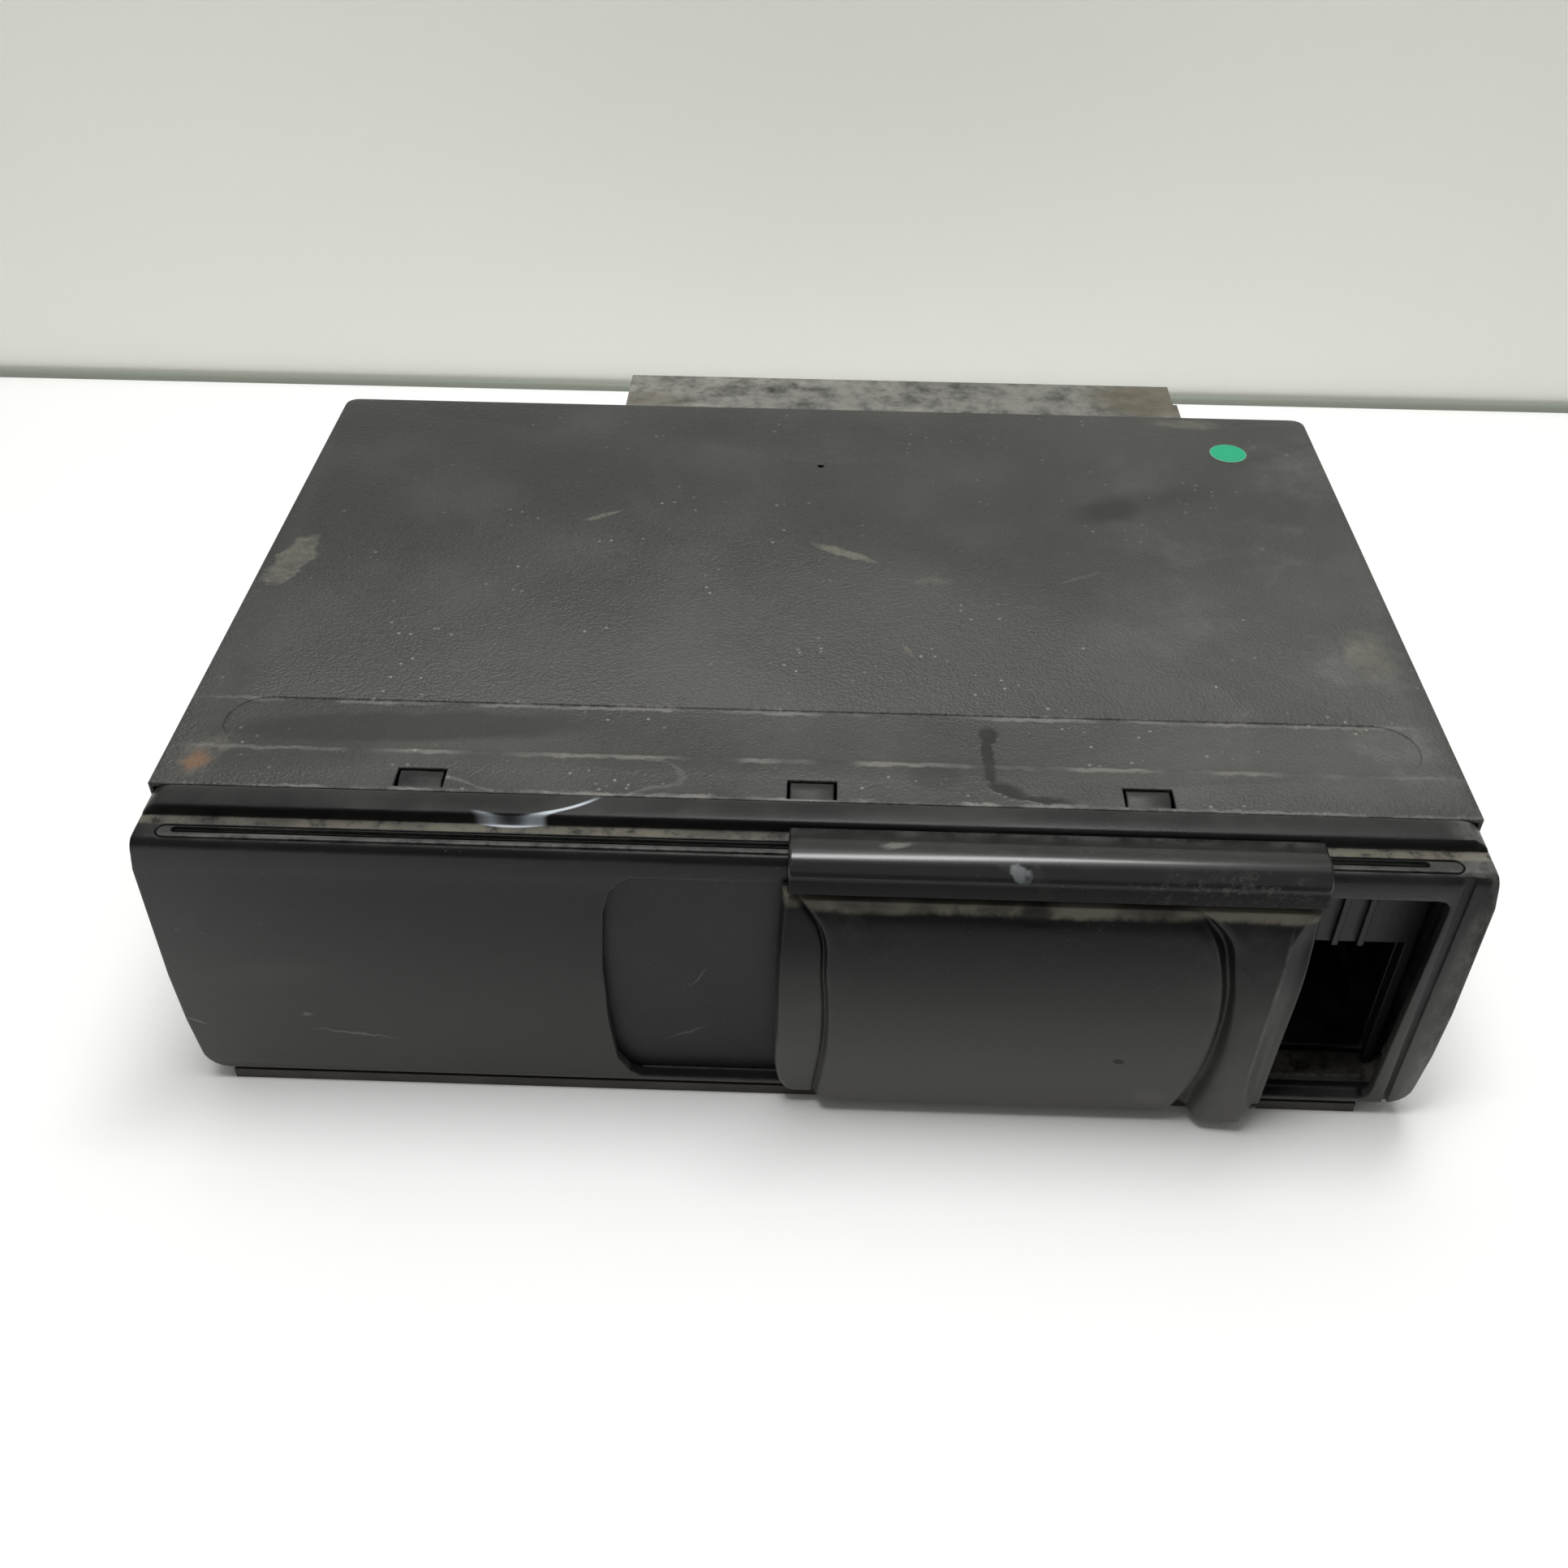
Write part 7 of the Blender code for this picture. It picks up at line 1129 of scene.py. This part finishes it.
class CHANGER_OT_bay(bpy.types.Operator):
    """Finishes the magazine bay, its ejector, button and latch, and the board above it"""

    bl_idname = "changer.bay"
    bl_label = "Magazine bay"

    def execute(self, context):
        zinc = tuple(context.scene.changer_case.zinc)
        dress(
            plain_plastic("bay_plastic", (0.0045, 0.0045, 0.005), 0.5),
            "magazine_slot_frame", "magazine_rail_left", "magazine_rail_right", "eject_button",
        )
        # Painted shade: the chassis's zinc plating is darkened to 0.22 of its colour for the shade inside the bay.
        dress(plated_sheet("shaded_chassis_sheet", tuple(0.22 * c for c in zinc), 0.6), "chassis")
        dress(plated_sheet("bright_sheet", tuple(min(1.0, 1.2 * c) for c in zinc), 0.15, 0.3), "bay_roof", "magazine_latch")
        dress(acetal(), "ejector")
        dress(polished_steel("spring_wire"), "button_spring", "ejector_spring", "arm_spring")
        dress(circuit_board(), "main_board")
        screws = [name for name in frame["nodes"] if name.startswith("chassis_screw")]
        dress(polished_steel("plated_screw", (0.55, 0.54, 0.5), 0.3), *screws)
        return {"FINISHED"}


class CHANGER_OT_mechanism(bpy.types.Operator):
    """Finishes the lift, its drive, the loading drive, the deck and the clamp"""

    bl_idname = "changer.mechanism"
    bl_label = "Mechanism"

    def execute(self, context):
        bright = tuple(min(1.0, 1.2 * c) for c in context.scene.changer_case.zinc)
        dress(
            plated_sheet("mechanism_sheet", bright, 0.15, 0.3),
            "cam_slide", "lift_frame", "loading_plate", "drive_bracket", "deck_plate", "clamp_arm",
        )
        dress(bpy.data.materials["acetal"], "lift_gear", "tray_puller", "clamper")
        dress(turned_brass(), "motor_pinion", "loading_pinion")
        dress(
            polished_steel("motor_can", (0.56, 0.56, 0.55), 0.3, (0.2, 0.01, 0.01)),
            "lift_motor", "loading_motor", "spindle_motor", "feed_motor",
        )
        dress(
            polished_steel("ground_rod", (0.7, 0.7, 0.7), 0.15, (0.01, 0.4, 0.01)),
            "gear_axle", "arm_pin", "sled_rod_left", "sled_rod_right", "feed_screw",
        )
        dress(rubber_mount(), *[name for name in frame["nodes"] if name.startswith("deck_damper")])
        dress(plain_plastic("turntable_plastic", (0.05, 0.05, 0.052), 0.35), "turntable")
        dress(pickup_resin(), "pickup_sled")
        dress(coated_lens(), "pickup_lens")
        return {"FINISHED"}


class MarkSizes(bpy.types.PropertyGroup):
    """The small loose marks that stand on the cover."""

    dot_radius: bpy.props.FloatProperty(
        name="Dot radius", description="Radius of the round sticker", default=0.0046, unit="LENGTH",
    )
    dot_place: bpy.props.FloatVectorProperty(
        name="Dot place", description="Middle of the round sticker", default=(0.1035, 0.0605, 0.0718),
        subtype="TRANSLATION", unit="LENGTH",
    )
    dot_colour: bpy.props.FloatVectorProperty(
        name="Dot colour", description="Colour of the sticker", default=(0.002, 0.33, 0.16), subtype="COLOR",
    )


class CHANGER_OT_marks(bpy.types.Operator):
    """Sticks the round dot on the cover"""

    bl_idname = "changer.marks"
    bl_label = "Marks"

    def execute(self, context):
        sizes = context.scene.changer_marks
        dot = self.lens_disc("inspection_dot", sizes.dot_place, sizes.dot_radius, 0.00012)
        dress(sticker_paper(tuple(sizes.dot_colour)), dot.name)
        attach(dot, "case")
        return {"FINISHED"}

    def lens_disc(self, name, centre, radius, height, sides=48):
        """A closed low disc. Its section is a closed loop of (radius share, height share), and each ring of the grid is that section's point turned once round."""
        section = np.array([(0.0, -0.3), (1.0, -0.3), (1.0, 0.5), (0.97, 0.9), (0.9, 1.0), (0.0, 1.0)])
        angle = np.arange(sides) * math.tau / sides
        grid = np.empty((len(section), sides, 3))
        grid[..., 0] = centre[0] + radius * section[:, :1] * np.cos(angle)
        grid[..., 1] = centre[1] + radius * section[:, :1] * np.sin(angle)
        grid[..., 2] = centre[2] + height * section[:, 1:]
        piece = grid_piece(name, grid, closed_v=True)
        merge(piece, 1e-7)
        return piece


class CHANGER_PT_panel(bpy.types.Panel):
    """Lists the sizes, colours and steps"""

    bl_idname = "CHANGER_PT_panel"
    bl_label = "Disc changer"
    bl_space_type = "VIEW_3D"
    bl_region_type = "UI"
    bl_category = "Disc Changer"

    def draw(self, context):
        for group in GROUPS:
            owner = getattr(context.scene, group)
            box = self.layout.box()
            for name in owner.__annotations__:
                box.prop(owner, name)
        for step in STEPS:
            self.layout.operator(step.bl_idname)


GROUPS = {"changer_stage": StageSizes, "changer_case": CaseLooks, "changer_door": DoorShape, "changer_marks": MarkSizes}
STEPS = (CHANGER_OT_stage, CHANGER_OT_case, CHANGER_OT_door, CHANGER_OT_bay, CHANGER_OT_mechanism, CHANGER_OT_marks)


def register():
    for group in GROUPS.values():
        bpy.utils.register_class(group)
    for step in (*STEPS, CHANGER_PT_panel):
        bpy.utils.register_class(step)
    for name, group in GROUPS.items():
        setattr(bpy.types.Scene, name, bpy.props.PointerProperty(type=group))


def unregister():
    for name in GROUPS:
        delattr(bpy.types.Scene, name)
    for step in (CHANGER_PT_panel, *reversed(STEPS)):
        bpy.utils.unregister_class(step)
    for group in GROUPS.values():
        bpy.utils.unregister_class(group)


def main():
    register()
    bpy.ops.changer.stage()
    bpy.ops.changer.case()
    bpy.ops.changer.door()
    bpy.ops.changer.bay()
    bpy.ops.changer.mechanism()
    bpy.ops.changer.marks()


if __name__ == "__main__":
    main()
